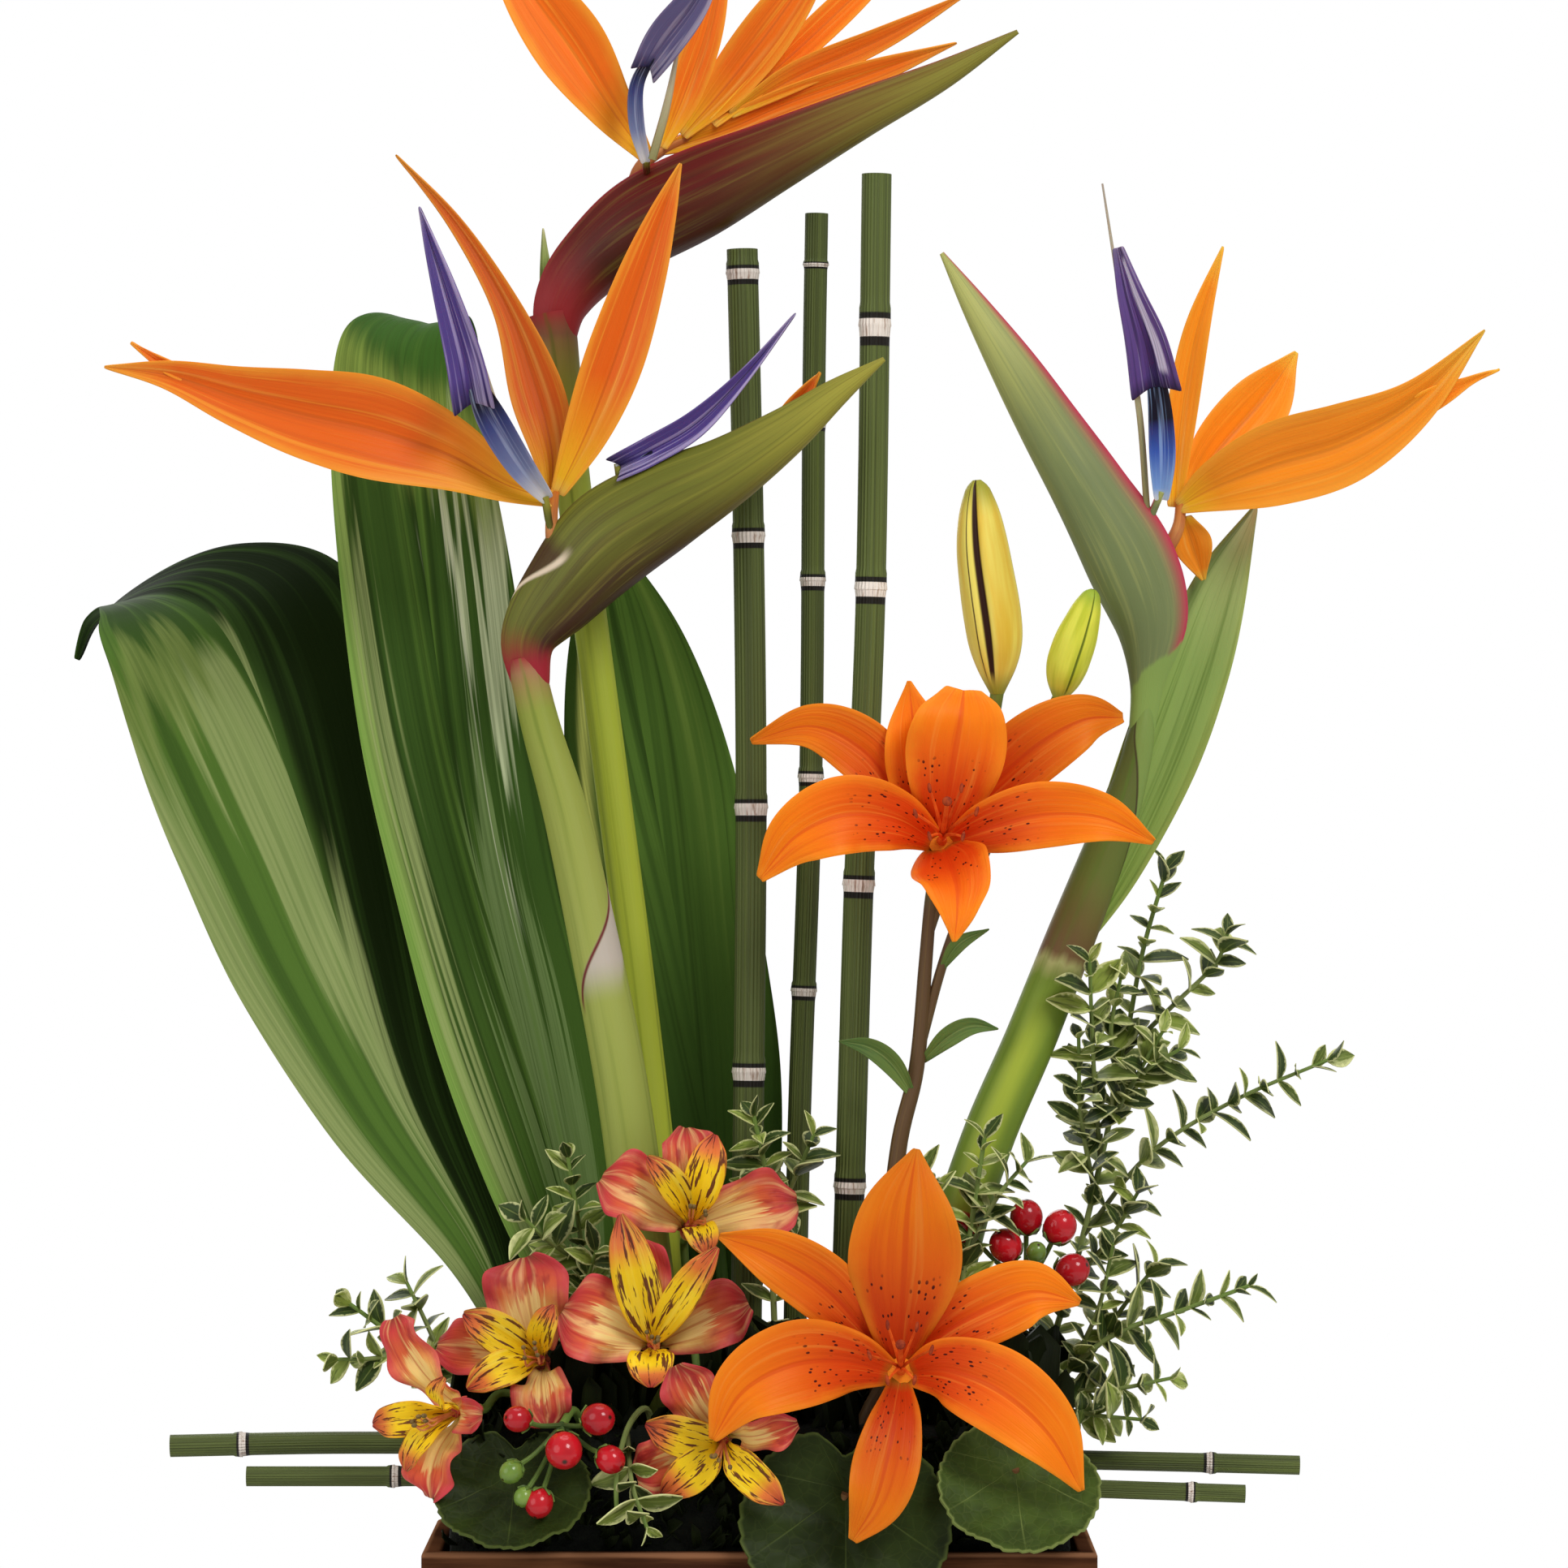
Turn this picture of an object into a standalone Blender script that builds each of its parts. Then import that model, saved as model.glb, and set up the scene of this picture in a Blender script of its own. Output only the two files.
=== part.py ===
"""A tropical flower arrangement in a wooden box: bird of paradise, lilies, alstroemeria, ti leaves,
horsetail, hypericum, galax leaves and variegated box sprays, all standing in a block of wet foam.

Lengths and places are written in millimetres and made metres by MM. The origin is the centre of
the box's underside, +X is the viewer's right, -Y is towards the viewer and +Z is up.
"""

import math
import random

import bmesh
import bpy
from mathutils import Vector
from mathutils.bvhtree import BVHTree

MM = 0.001

# Driving sizes
BOX_WIDTH = 220.0
BOX_DEPTH = 100.0
BOX_HEIGHT = 100.0
BOX_WALL = 6.0
BOX_EDGE = 1.2
LINER_WALL = 1.2
LINER_TOP = 92.0
FOAM_TOP = 140.0
FOAM_EDGE = 9.0
GAP = 0.35
PETAL = 0.9
LEAF = 0.8

VIEWER = Vector((0, -1, 0))
UP = Vector((0, 0, 1))


def finish(name, colour, roughness):
    """A plain material in the part's own colour."""
    material = bpy.data.materials.new(name)
    material.use_nodes = True
    shader = material.node_tree.nodes["Principled BSDF"]
    shader.inputs["Base Color"].default_value = (*colour, 1.0)
    shader.inputs["Roughness"].default_value = roughness
    shader.inputs["Metallic"].default_value = 0.0
    return material


def clear_scene():
    for thing in list(bpy.data.objects):
        bpy.data.objects.remove(thing)


def along(values, share):
    """The value at a share, from 0 to 1, of a smooth line through evenly spaced values."""
    last = len(values) - 1
    place = min(max(share, 0.0), 1.0) * last
    index = min(int(place), last - 1)
    step = place - index
    b, c = values[index], values[index + 1]
    a = values[index - 1] if index > 0 else b * 2 - c
    d = values[index + 2] if index + 2 <= last else c * 2 - b
    bend = (a * 2 - b * 5 + c * 4 - d) * step**2 + (b * 3 - a - c * 3 + d) * step**3
    return (b * 2 + (c - a) * step + bend) * 0.5


def vectors(points):
    return [Vector(point) for point in points]


def straight_along(points, share):
    """The place at a share of the way through straight pieces between evenly counted points."""
    place = min(max(share, 0.0), 1.0) * (len(points) - 1)
    index = min(int(place), len(points) - 2)
    return points[index].lerp(points[index + 1], place - index)


def nearest_on(points, place):
    """The place on straight pieces between the points that lies nearest to a given one."""
    tries = [straight_along(points, i / 200) for i in range(201)]
    return min(tries, key=lambda point: (point - place).length)


def new_object(name, mesh_maker, material=None):
    """An object whose mesh comes from a bmesh in millimetres."""
    mesh = bpy.data.meshes.new(name)
    bmesh.ops.recalc_face_normals(mesh_maker, faces=mesh_maker.faces)
    bmesh.ops.scale(mesh_maker, vec=(MM, MM, MM), verts=mesh_maker.verts)
    mesh_maker.to_mesh(mesh)
    mesh_maker.free()
    thing = bpy.data.objects.new(name, mesh)
    bpy.context.scene.collection.objects.link(thing)
    if material:
        mesh.materials.append(material)
    return thing


def apply_modifiers(thing):
    graph = bpy.context.evaluated_depsgraph_get()
    mesh = bpy.data.meshes.new_from_object(thing.evaluated_get(graph))
    thing.modifiers.clear()
    thing.data = mesh


def fuse(name, pieces, material):
    """One Boolean union of the pieces, applied, with the pieces then removed."""
    body, rest = pieces[0], pieces[1:]
    if rest:
        group = bpy.data.collections.new(name + "_pieces")
        for piece in rest:
            group.objects.link(piece)
        union = body.modifiers.new("union", "BOOLEAN")
        union.operation = "UNION"
        union.operand_type = "COLLECTION"
        union.collection = group
        apply_modifiers(body)
        for piece in rest:
            bpy.data.objects.remove(piece)
        bpy.data.collections.remove(group)
    body.name = name
    body.data.materials.clear()
    body.data.materials.append(material)
    body.data.shade_smooth()
    body.data.set_sharp_from_angle(angle=math.radians(40))
    return body


def cut(body, cutters):
    """Takes the cutters' shapes out of the body, one by one, and removes them."""
    for cutter in cutters:
        bite = body.modifiers.new("cut", "BOOLEAN")
        bite.operation = "DIFFERENCE"
        bite.object = cutter
        apply_modifiers(body)
        bpy.data.objects.remove(cutter)


def frames(points):
    """Tangent and two cross directions at each point, carried along without twist."""
    tangents = []
    for i in range(len(points)):
        ahead = points[min(i + 1, len(points) - 1)]
        behind = points[max(i - 1, 0)]
        tangents.append((ahead - behind).normalized())
    side = tangents[0].cross(Vector((0.0, 1.0, 0.03))).normalized()
    result = []
    for tangent in tangents:
        side = (side - tangent * side.dot(tangent)).normalized()
        result.append((tangent, side, tangent.cross(side)))
    return result


def add_ring(maker, centre, across, upward, radius, sides, flat=1.0):
    return [
        maker.verts.new(
            centre
            + across * math.cos(math.tau * k / sides) * radius
            + upward * math.sin(math.tau * k / sides) * radius * flat
        )
        for k in range(sides)
    ]


def skin(maker, rings):
    """Walls between the rings, and a flat cap on each end."""
    for low, high in zip(rings, rings[1:]):
        count = len(low)
        for k in range(count):
            n = (k + 1) % count
            maker.faces.new((low[k], low[n], high[n], high[k]))
    maker.faces.new(rings[0])
    maker.faces.new(rings[-1])


def tube(path, radii, sides=8, steps=None, grow=0.0, until=None, ahead=0.0):
    """A closed round stem along a smooth path. A socket for it is the same call with grow set."""
    path = vectors(path)
    steps = steps or 2 * (len(path) - 1)
    shares = [i / steps for i in range(steps + 1)]
    points = [along(path, s) for s in shares]
    if until:
        last = next((i for i, point in enumerate(points) if until(point)), steps)
        shares, points = shares[: last + 1], points[: last + 1]
    maker = bmesh.new()
    rings = []
    for s, point, (tangent, side, other) in zip(shares, points, frames(points)):
        radius = along([float(r) for r in radii], s) + grow
        if ahead and s == 0.0:
            point = point - tangent * ahead
        rings.append(add_ring(maker, point, side, other, radius, sides))
    skin(maker, rings)
    return new_object("stem", maker)


def blade(spine, half_widths, face=(VIEWER,), rows=8, columns=2, cup=0.2, thick=PETAL, ripple=0.0, waves=5):
    """A closed thin blade along a spine. It faces the way that face says, and its edges rise by cup."""
    spine = vectors(spine)
    face = vectors(face) if len(face) > 1 else vectors(face) * 2
    half_widths = [float(w) for w in half_widths]
    maker = bmesh.new()
    bmesh.ops.create_grid(maker, x_segments=columns, y_segments=rows, size=1.0)
    step = 0.5 / rows
    for vert in maker.verts:
        across, share = vert.co.x, (vert.co.y + 1) / 2
        ahead, behind = min(share + step, 1.0), max(share - step, 0.0)
        tangent = (along(spine, ahead) - along(spine, behind)).normalized()
        side = tangent.cross(along(face, share)).normalized()
        normal = side.cross(tangent)
        width = max(along(half_widths, share), 0.45)
        lift = cup * abs(across) ** 1.5 * width
        lift += ripple * across**2 * math.sin(math.tau * waves * share + across)
        vert.co = along(spine, share) + side * across * width + normal * lift
    bmesh.ops.triangulate(maker, faces=maker.faces)
    thing = new_object("blade", maker)
    wall = thing.modifiers.new("thickness", "SOLIDIFY")
    wall.thickness = thick * MM
    wall.offset = 0.0
    apply_modifiers(thing)
    return thing


def out_of_foam(point):
    reach = max(abs(point.x) - BOX_WIDTH / 2, abs(point.y) - BOX_DEPTH / 2, point.z - FOAM_TOP - 8)
    return reach > -4


def foam_socket(path, radii, sides=8, steps=None):
    """The hole that a stem's low end makes in the foam: the stem itself, a gap wider."""
    return tube(path, radii, sides, steps, grow=GAP + 0.1, until=out_of_foam, ahead=GAP)


SOCKETS = []


def stem(path, radii, sides=8, steps=None):
    """A stem whose low end stands in the foam. Its hole is kept for the foam block."""
    SOCKETS.append(foam_socket(path, radii, sides, steps))
    return tube(path, radii, sides, steps)


def box_shape(name, width, depth, low, high, edge=0.0):
    maker = bmesh.new()
    bmesh.ops.create_cube(maker, size=1.0)
    bmesh.ops.scale(maker, vec=(width, depth, high - low), verts=maker.verts)
    bmesh.ops.translate(maker, vec=(0, 0, (low + high) / 2), verts=maker.verts)
    if edge:
        bmesh.ops.bevel(maker, geom=maker.edges[:], offset=edge, segments=1, affect="EDGES")
    return new_object(name, maker)


def wooden_box(wood):
    body = box_shape("box", BOX_WIDTH, BOX_DEPTH, 0.0, BOX_HEIGHT, BOX_EDGE)
    inner_width, inner_depth = BOX_WIDTH - 2 * BOX_WALL, BOX_DEPTH - 2 * BOX_WALL
    cut(body, [box_shape("hollow", inner_width, inner_depth, BOX_WALL, BOX_HEIGHT + 10)])
    return fuse("wooden_box", [body], wood)


def plastic_liner(plastic):
    width = BOX_WIDTH - 2 * BOX_WALL - 2 * GAP
    depth = BOX_DEPTH - 2 * BOX_WALL - 2 * GAP
    low = BOX_WALL + GAP
    body = box_shape("liner", width, depth, low, LINER_TOP)
    width, depth = width - 2 * LINER_WALL, depth - 2 * LINER_WALL
    cut(body, [box_shape("hollow", width, depth, low + LINER_WALL, LINER_TOP + 10)])
    return fuse("plastic_liner", [body], plastic)


def foam_shape():
    width = BOX_WIDTH - 2 * (BOX_WALL + LINER_WALL + 2 * GAP)
    depth = BOX_DEPTH - 2 * (BOX_WALL + LINER_WALL + 2 * GAP)
    low = BOX_WALL + LINER_WALL + 2 * GAP
    return box_shape("foam", width, depth, low, FOAM_TOP, FOAM_EDGE)


def foam_block(body, foam):
    """Wet foam, standing well above the rim, with a hole for each stem."""
    cut(body, SOCKETS)
    return fuse("foam_block", [body], foam)


# Horsetail: hollow jointed stems. Each has its joints at shares of its length.
HORSETAILS = {
    "horsetail_left": {
        "path": [(-5, 12, 80), (-5, 12, 126), (-4, 13, 232), (-3, 14, 341), (-4, 14, 439), (-6, 14, 529)],
        "radius": 5.2,
        "joints": (253.0, 341.5, 432.5, 520.5),
    },
    "horsetail_middle": {
        "path": [(10, 22, 79), (11, 22, 125), (13, 24, 232), (17, 25, 352), (18, 26, 477), (19, 26, 542)],
        "radius": 3.9,
        "joints": (280.0, 352.0, 418.0, 471.0, 524.5),
    },
    "horsetail_right": {
        "path": [(26, 12, 80), (27, 12, 126), (30, 12, 215), (33, 12, 316), (37, 12, 415), (39, 12, 554)],
        "radius": 5.0,
        "joints": (215.0, 316.0, 415.0, 502.5),
    },
    "horsetail_side_left_upper": {
        "path": [(-72, -12, 132), (-98, -12, 132), (-146, -12, 132), (-195, -12, 131)],
        "radius": 3.7,
        "joints": (-171.0,),
    },
    "horsetail_side_left_lower": {
        "path": [(-78, -22, 122), (-98, -22, 122), (-133, -22, 122), (-169, -22, 122)],
        "radius": 3.3,
        "joints": (-120.0,),
    },
    "horsetail_side_right_upper": {
        "path": [(74, -6, 127), (98, -6, 126), (140, -6, 125), (179, -6, 124)],
        "radius": 3.2,
        "joints": (149.0,),
    },
    "horsetail_side_right_lower": {
        "path": [(74, -20, 118), (98, -20, 118), (130, -20, 117), (160, -20, 116)],
        "radius": 3.0,
        "joints": (142.0,),
    },
}
JOINT_HALF = 2.4
JOINT_SWELL = 0.5
CUT_DEPTH = 7.0
CUT_BORE = 0.62


def horsetail(name, green):
    """A jointed stem with a ring at each joint and a hollow cut end."""
    plan = HORSETAILS[name]
    path, radius, sides = vectors(plan["path"]), plan["radius"], 8
    SOCKETS.append(foam_socket(plan["path"], [radius, radius], sides))
    lengthwise = 2 if path[0].z + 100 < path[-1].z else 0

    def share_at(level):
        """The share of the path where its height, or its reach sideways, is at a level."""
        low, high = 0.0, 1.0
        rising = path[-1][lengthwise] > path[0][lengthwise]
        for _ in range(30):
            middle = (low + high) / 2
            if (along(path, middle)[lengthwise] < level) == rising:
                low = middle
            else:
                high = middle
        return low

    apart = [(0.0, radius), (share_at(path[0][lengthwise] * 0.6 + path[1][lengthwise] * 0.4), radius)]
    for level in plan["joints"]:
        half = JOINT_HALF if path[-1][lengthwise] > path[0][lengthwise] else -JOINT_HALF
        for offset, swell in ((-1.0, 0.0), (0.0, JOINT_SWELL), (1.0, 0.0)):
            apart.append((share_at(level + half * offset), radius + swell))
    length = sum((b - a).length for a, b in zip(path, path[1:]))
    apart.append((1.0, radius))
    apart.append((1.0, radius * CUT_BORE))
    apart.append((1.0 - CUT_DEPTH / length, radius * CUT_BORE * 0.9))
    maker = bmesh.new()
    ways = frames([along(path, i / 40) for i in range(41)])
    rings = []
    for share, size in apart:
        tangent, side, other = ways[round(share * 40)]
        rings.append(add_ring(maker, along(path, share), side, other, size, sides))
    skin(maker, rings)
    return fuse(name, [new_object(name, maker)], green)


# Ti leaves: the blade's spine, half widths and the way that it faces, from the base to the tip.
TI_LEAVES = {
    "ti_leaf_left": {
        "stalk": [(-60, 22, 82), (-67, 25, 122), (-75, 28, 146), (-88, 32, 178), (-108, 38, 222)],
        "spine": [
            (-78, 28, 152), (-94, 34, 194), (-121, 41, 243), (-140, 47, 292), (-156, 51, 340), (-170, 53, 378),
            (-185, 58, 405), (-201, 71, 415), (-217, 84, 414), (-231, 92, 406), (-237, 92, 393),
        ],
        "half_widths": [5, 15, 30, 43, 49, 51, 49, 35, 19, 8, 1],
        "face": [
            (0.3, -1, 0.1), (0.3, -1, 0.1), (0.3, -1, 0.1), (0, -0.6, 0.9), (-0.6, 0, 0.9), (-0.8, 0.3, 0.5),
        ],
    },
    "ti_leaf_centre": {
        "stalk": [(-42, 29, 82), (-49, 30, 122), (-55, 31, 148), (-63, 32, 184), (-73, 34, 225)],
        "spine": [
            (-56, 31, 154), (-65, 33, 205), (-80, 35, 262), (-95, 37, 316), (-106, 38, 368), (-114, 39, 424),
            (-120, 42, 470), (-121, 52, 498), (-114, 68, 508), (-105, 82, 500), (-99, 88, 484),
        ],
        "half_widths": [6, 21, 28, 29, 30, 29, 26, 22, 16, 9, 1],
        "face": [(0.1, -1, 0), (0.1, -1, 0), (0.1, -1, 0.1), (0, -0.8, 0.6), (0.2, 0.2, 1), (0.5, 0.8, 0.3)],
    },
    "ti_leaf_right": {
        "stalk": [(-9, 29, 82), (-11, 31, 122), (-12, 34, 150), (-13, 38, 185), (-16, 42, 225)],
        "spine": [
            (-12, 34, 152), (-14, 40, 200), (-20, 45, 248), (-28, 48, 300), (-37, 50, 350), (-46, 51, 398),
            (-55, 49, 440),
        ],
        "half_widths": [5, 20, 28, 29, 29, 20, 1],
        "face": [(-0.1, -1, 0), (-0.1, -1, 0.05), (0, -1, 0.2)],
    },
}


def ti_leaf(name, green):
    plan = TI_LEAVES[name]
    leaf = blade(plan["spine"], plan["half_widths"], plan["face"], rows=11, cup=0.16, thick=1.1)
    stalk = stem(plan["stalk"], [4.2, 3.8, 3.4, 2.6, 1.6], 6, 5)
    return fuse(name, [leaf, stalk], green)


# Bird of paradise: stem, beak (the boat-shaped bract), sepals and tongues (the joined blue petals).
BIRDS = {
    "bird_top": {
        "stem": [
            (-24, 18, 79), (-28, 19, 126), (-33, 20, 205), (-41, 20, 281), (-50, 20, 352), (-58, 20, 412),
            (-64, 20, 461), (-68, 20, 496), (-70, 20, 508),
        ],
        "radii": [7.0, 6.8, 6.4, 6.0, 5.8, 5.8, 6.0, 7.0, 8.0],
        "beak": [
            (-69, 20, 497), (-67, 19, 511), (-58, 18, 525), (-43, 16, 537), (-21, 14, 548), (6, 12, 561),
            (33, 10, 574), (61, 8, 587), (86, 6, 601),
        ],
        "heights": [6.5, 9.5, 13, 15.5, 15.5, 12, 8.5, 5, 0.8],
        "slit": (-1, 0, 1),
        "root": [(-43, 17, 543), (-41, 16, 555), (-34, 15, 563), (-22, 15, 569), (-8, 15, 575)],
        "tongue_roots": {"a": [(-35, 8, 547), (-38, 4, 558)]},
        "sepals": [
            {"spine": [(-38, 16, 560), (-50, 12, 576), (-64, 8, 597), (-79, 5, 618), (-93, 5, 644)],
             "half_widths": [2.5, 8, 12.5, 9, 0.6]},
            {"spine": [(-33, 15, 563), (-25, 15, 582), (-17, 14, 606), (-10, 14, 640)],
             "half_widths": [2, 6, 5.5, 0.6]},
            {"spine": [(-26, 15, 567), (-9, 18, 587), (9, 20, 611), (29, 22, 640)],
             "half_widths": [2, 8, 8, 0.6]},
            {"spine": [(-16, 15, 571), (10, 20, 594), (33, 24, 616), (54, 28, 636)],
             "half_widths": [2, 5, 5, 0.6]},
            {"spine": [(-10, 15, 574), (12, 17, 587), (41, 18, 600), (71, 19, 616)],
             "half_widths": [1.5, 5, 4, 0.6]},
            {"spine": [(-12, 17, 569), (9, 17, 578), (36, 15.5, 587.5), (66, 13, 598)],
             "half_widths": [1.5, 4.5, 4.5, 0.6]},
        ],
        "tongues": {
            "a": {"spine": [(-38, 4, 558), (-36, 0, 573), (-28, -3, 592), (-19, -3, 613), (-8, 0, 632)],
                  "half_widths": [1.5, 3, 9, 5, 0.6]},
        },
    },
    "bird_left": {
        "stem": [
            (-26, -7, 82), (-31, -6, 128), (-38, -4, 190), (-45, -3, 244), (-54, -2, 292), (-64, -2, 338),
            (-72, -2, 366), (-76, -2, 382), (-78, -2, 392),
        ],
        "radii": [9.0, 9.0, 9.0, 8.8, 8.4, 7.6, 6.6, 6.2, 6.2],
        "beak": [
            (-76, -2, 382), (-77, -4, 398), (-67, -6, 413.5), (-52, -9, 430), (-33, -12, 442), (-12, -15, 453),
            (8, -18, 466), (25, -20, 479), (41, -22, 490),
        ],
        "heights": [6.0, 9.6, 14.5, 17.5, 16.0, 12.0, 8.4, 4.8, 0.8],
        "slit": (-1, 0, 1),
        "root": [(-68, -8, 424), (-69, -9, 436), (-68, -10, 447)],
        "tongue_roots": {
            "a": [(-66, -12, 428), (-71, -15, 445)],
            "b": [(-47, -12, 446), (-47, -12, 461)],
        },
        "sepals": [
            {"spine": [(-68, -10, 444), (-84, -13, 449), (-103, -15, 459), (-127, -17, 467), (-150, -17, 472),
                       (-173, -16, 478), (-195, -15, 485), (-217, -13, 488)],
             "half_widths": [2.5, 6, 12.5, 17, 14.8, 10, 5, 0.6]},
            {"spine": [(-69, -9, 445), (-69, -6, 460), (-74, -4, 480), (-84, -3, 508), (-101, -3, 536),
                       (-121, -5, 559)],
             "half_widths": [2.5, 7, 9.2, 5, 2.6, 0.6]},
            {"spine": [(-67, -10, 446), (-57, -12, 467), (-48, -14, 490), (-39, -16, 517), (-32, -17, 538),
                       (-26, -17, 555)],
             "half_widths": [2.5, 7.8, 10, 8.2, 4.7, 0.6]},
        ],
        "tongues": {
            "a": {"spine": [(-71, -15, 445), (-80, -21, 455), (-90, -26, 471), (-97, -28, 494), (-105, -27, 519),
                            (-111, -25, 538)],
                  "half_widths": [1.8, 4.5, 8, 7, 3.5, 0.6]},
            "b": {"spine": [(-47, -12, 460), (-37, -13, 464), (-21, -13, 471), (-5, -12, 486), (10, -11, 504)],
                  "half_widths": [1.5, 4.6, 4.8, 2.5, 0.6]},
        },
    },
    "bird_right": {
        "stem": [
            (45, -5, 84), (53, -4, 128), (63, -2, 190), (75, 0, 230), (90, 2, 265), (104, 4, 300),
            (117, 4, 333), (124, 4, 354), (127, 3, 367), (129, 2, 380),
        ],
        "radii": [9.2, 9.2, 9.0, 8.8, 8.6, 8.2, 7.2, 5.6, 4.8, 4.4],
        "beak": [
            (127, 3, 366), (129, 2, 384), (130, 0, 405), (123, -3, 425), (110, -7, 447), (96, -10, 469),
            (84, -14, 488), (71, -17, 508), (60, -20, 525),
        ],
        "heights": [4.2, 6.0, 13.0, 15.4, 13.0, 10.6, 8.2, 4.6, 0.8],
        "slit": (1, 0, 1),
        "root": [(133, 0, 424), (139, 0, 435), (140, 0, 445)],
        "tongue_roots": {"a": [(130, -6, 431), (133, -10, 447)]},
        "sepals": [
            {"spine": [(139, -1, 442), (152, -3, 449), (171, -5, 456), (194, -6, 463), (218, -5, 477),
                       (241, -3, 501)],
             "half_widths": [2.5, 9, 14, 13.5, 8.5, 0.6]},
            {"spine": [(140, 2, 443), (153, 9, 461), (168, 15, 478), (180, 19, 495)],
             "half_widths": [2.5, 10, 10, 1.0]},
            {"spine": [(138, 1, 442), (140, 1, 470), (145, 0, 500), (154, 0, 529)],
             "half_widths": [2.5, 5, 4.5, 0.6]},
            {"spine": [(141, 0, 439), (144, 3, 430), (148, 6, 418)],
             "half_widths": [2.5, 6.5, 1.0]},
        ],
        "tongues": {
            "a": {"spine": [(133, -10, 447), (132, -14, 463), (130, -17, 483), (124, -19, 506), (118, -19, 528),
                            (111, -17, 550)],
                  "half_widths": [1.8, 3.5, 9.5, 6, 3, 0.6]},
        },
    },
}
BEAK_WIDTH = 0.62
ROOT_RADIUS = 2.6
TONGUE_RADIUS = 1.7
SHEATH = {
    "spine": [(104, 5, 296), (116, 9, 322), (131, 14, 358), (145, 17, 390), (157, 17, 418), (166, 15, 443)],
    "half_widths": [4, 9, 11.5, 9, 5.5, 0.8],
}


def beak(spine, heights, slit, sides=8, rows=9):
    """A boat-shaped bract: full at the keel, narrow at the slit along its top."""
    spine = vectors(spine)
    heights = [float(h) for h in heights]
    points = [along(spine, i / rows) for i in range(rows + 1)]
    maker = bmesh.new()
    rings = []
    for i, (tangent, _, _) in enumerate(frames(points)):
        across = tangent.cross(VIEWER).cross(tangent).normalized()
        upward = across.cross(tangent)
        if upward.dot(Vector(slit)) < 0:
            upward.negate()
        height = along(heights, i / rows)
        ring = []
        for k in range(sides):
            angle = math.tau * k / sides
            narrow = 1 - 0.4 * math.cos(angle)
            offset = upward * height * math.cos(angle)
            offset += across * height * BEAK_WIDTH * narrow * math.sin(angle)
            ring.append(maker.verts.new(points[i] + offset))
        rings.append(ring)
    skin(maker, rings)
    return new_object("beak", maker)


def bird_of_paradise(name, green, orange, blue):
    plan = BIRDS[name]
    stalk = stem(plan["stem"], plan["radii"], sides=8, steps=8)
    pieces = [beak(plan["beak"], plan["heights"], plan["slit"]), stalk]
    if name == "bird_right":
        spine, half_widths = SHEATH["spine"], SHEATH["half_widths"]
        pieces.append(blade(spine, half_widths, ((0.3, -1, 0),), rows=6, cup=0.5, thick=1.2))
    body = fuse(name + "_stem_and_beak", pieces, green)
    sockets = [tube(plan["root"][:3], [ROOT_RADIUS, ROOT_RADIUS], 6, 2, grow=GAP + 0.1, ahead=GAP)]
    for root in plan["tongue_roots"].values():
        sockets.append(tube(root, [TONGUE_RADIUS, TONGUE_RADIUS], 5, 1, grow=GAP + 0.1, ahead=GAP))
    cut(body, sockets)
    sepals = [tube(plan["root"], [ROOT_RADIUS, ROOT_RADIUS], 6, len(plan["root"]) - 1)]
    for sepal in plan["sepals"]:
        sepals.append(blade(sepal["spine"], sepal["half_widths"], rows=5, cup=0.45))
    fuse(name + "_sepals", sepals, orange)
    for mark, tongue in plan["tongues"].items():
        root = tube(plan["tongue_roots"][mark], [TONGUE_RADIUS, TONGUE_RADIUS], 5, 1)
        petal = blade(tongue["spine"], tongue["half_widths"], rows=6, cup=0.4)
        fuse(f"{name}_tongue_{mark}", [petal, root], blue)


# Lilies: six tepals each, written from the throat to the tip, in the order top, then leftwards round.
LILY_UPPER = {
    "throat": [(60, -8, 331), (60, -20, 331)],
    "tepals": [
        {"spine": [(60, -16, 333), (63, -27, 346), (65, -34, 360), (66, -36, 373), (66, -30, 381)],
         "half_widths": [3.5, 12, 16, 14.5, 6]},
        {"spine": [(58, -15, 333), (54, -24, 348), (51, -28, 366), (49, -27, 384)],
         "half_widths": [3, 8, 8, 0.6]},
        {"spine": [(59, -15, 332), (47, -23, 345), (34, -27, 361), (17, -26, 369), (-3, -20, 364)],
         "half_widths": [3, 8, 10.5, 7.5, 1]},
        {"spine": [(59, -17, 330), (45, -32, 338), (28, -41, 340), (12, -43, 333), (0, -38, 319)],
         "half_widths": [3, 10, 13, 10, 1.5]},
        {"spine": [(60, -18, 329), (62, -36, 324), (64, -52, 317), (64, -62, 309), (63, -66, 300)],
         "half_widths": [3.5, 11, 12.5, 8.5, 0.8]},
        {"spine": [(61, -17, 330), (76, -32, 336), (93, -41, 340), (112, -43, 339), (129, -38, 331)],
         "half_widths": [3, 9, 11, 8, 1]},
        {"spine": [(61, -15, 332), (75, -22, 348), (90, -26, 362), (106, -25, 371), (120, -18, 372)],
         "half_widths": [3, 10, 12, 9, 1.5]},
    ],
    "stamens": [(60, -20, 331), (0.03, -0.93, 0.36)],
}
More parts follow.
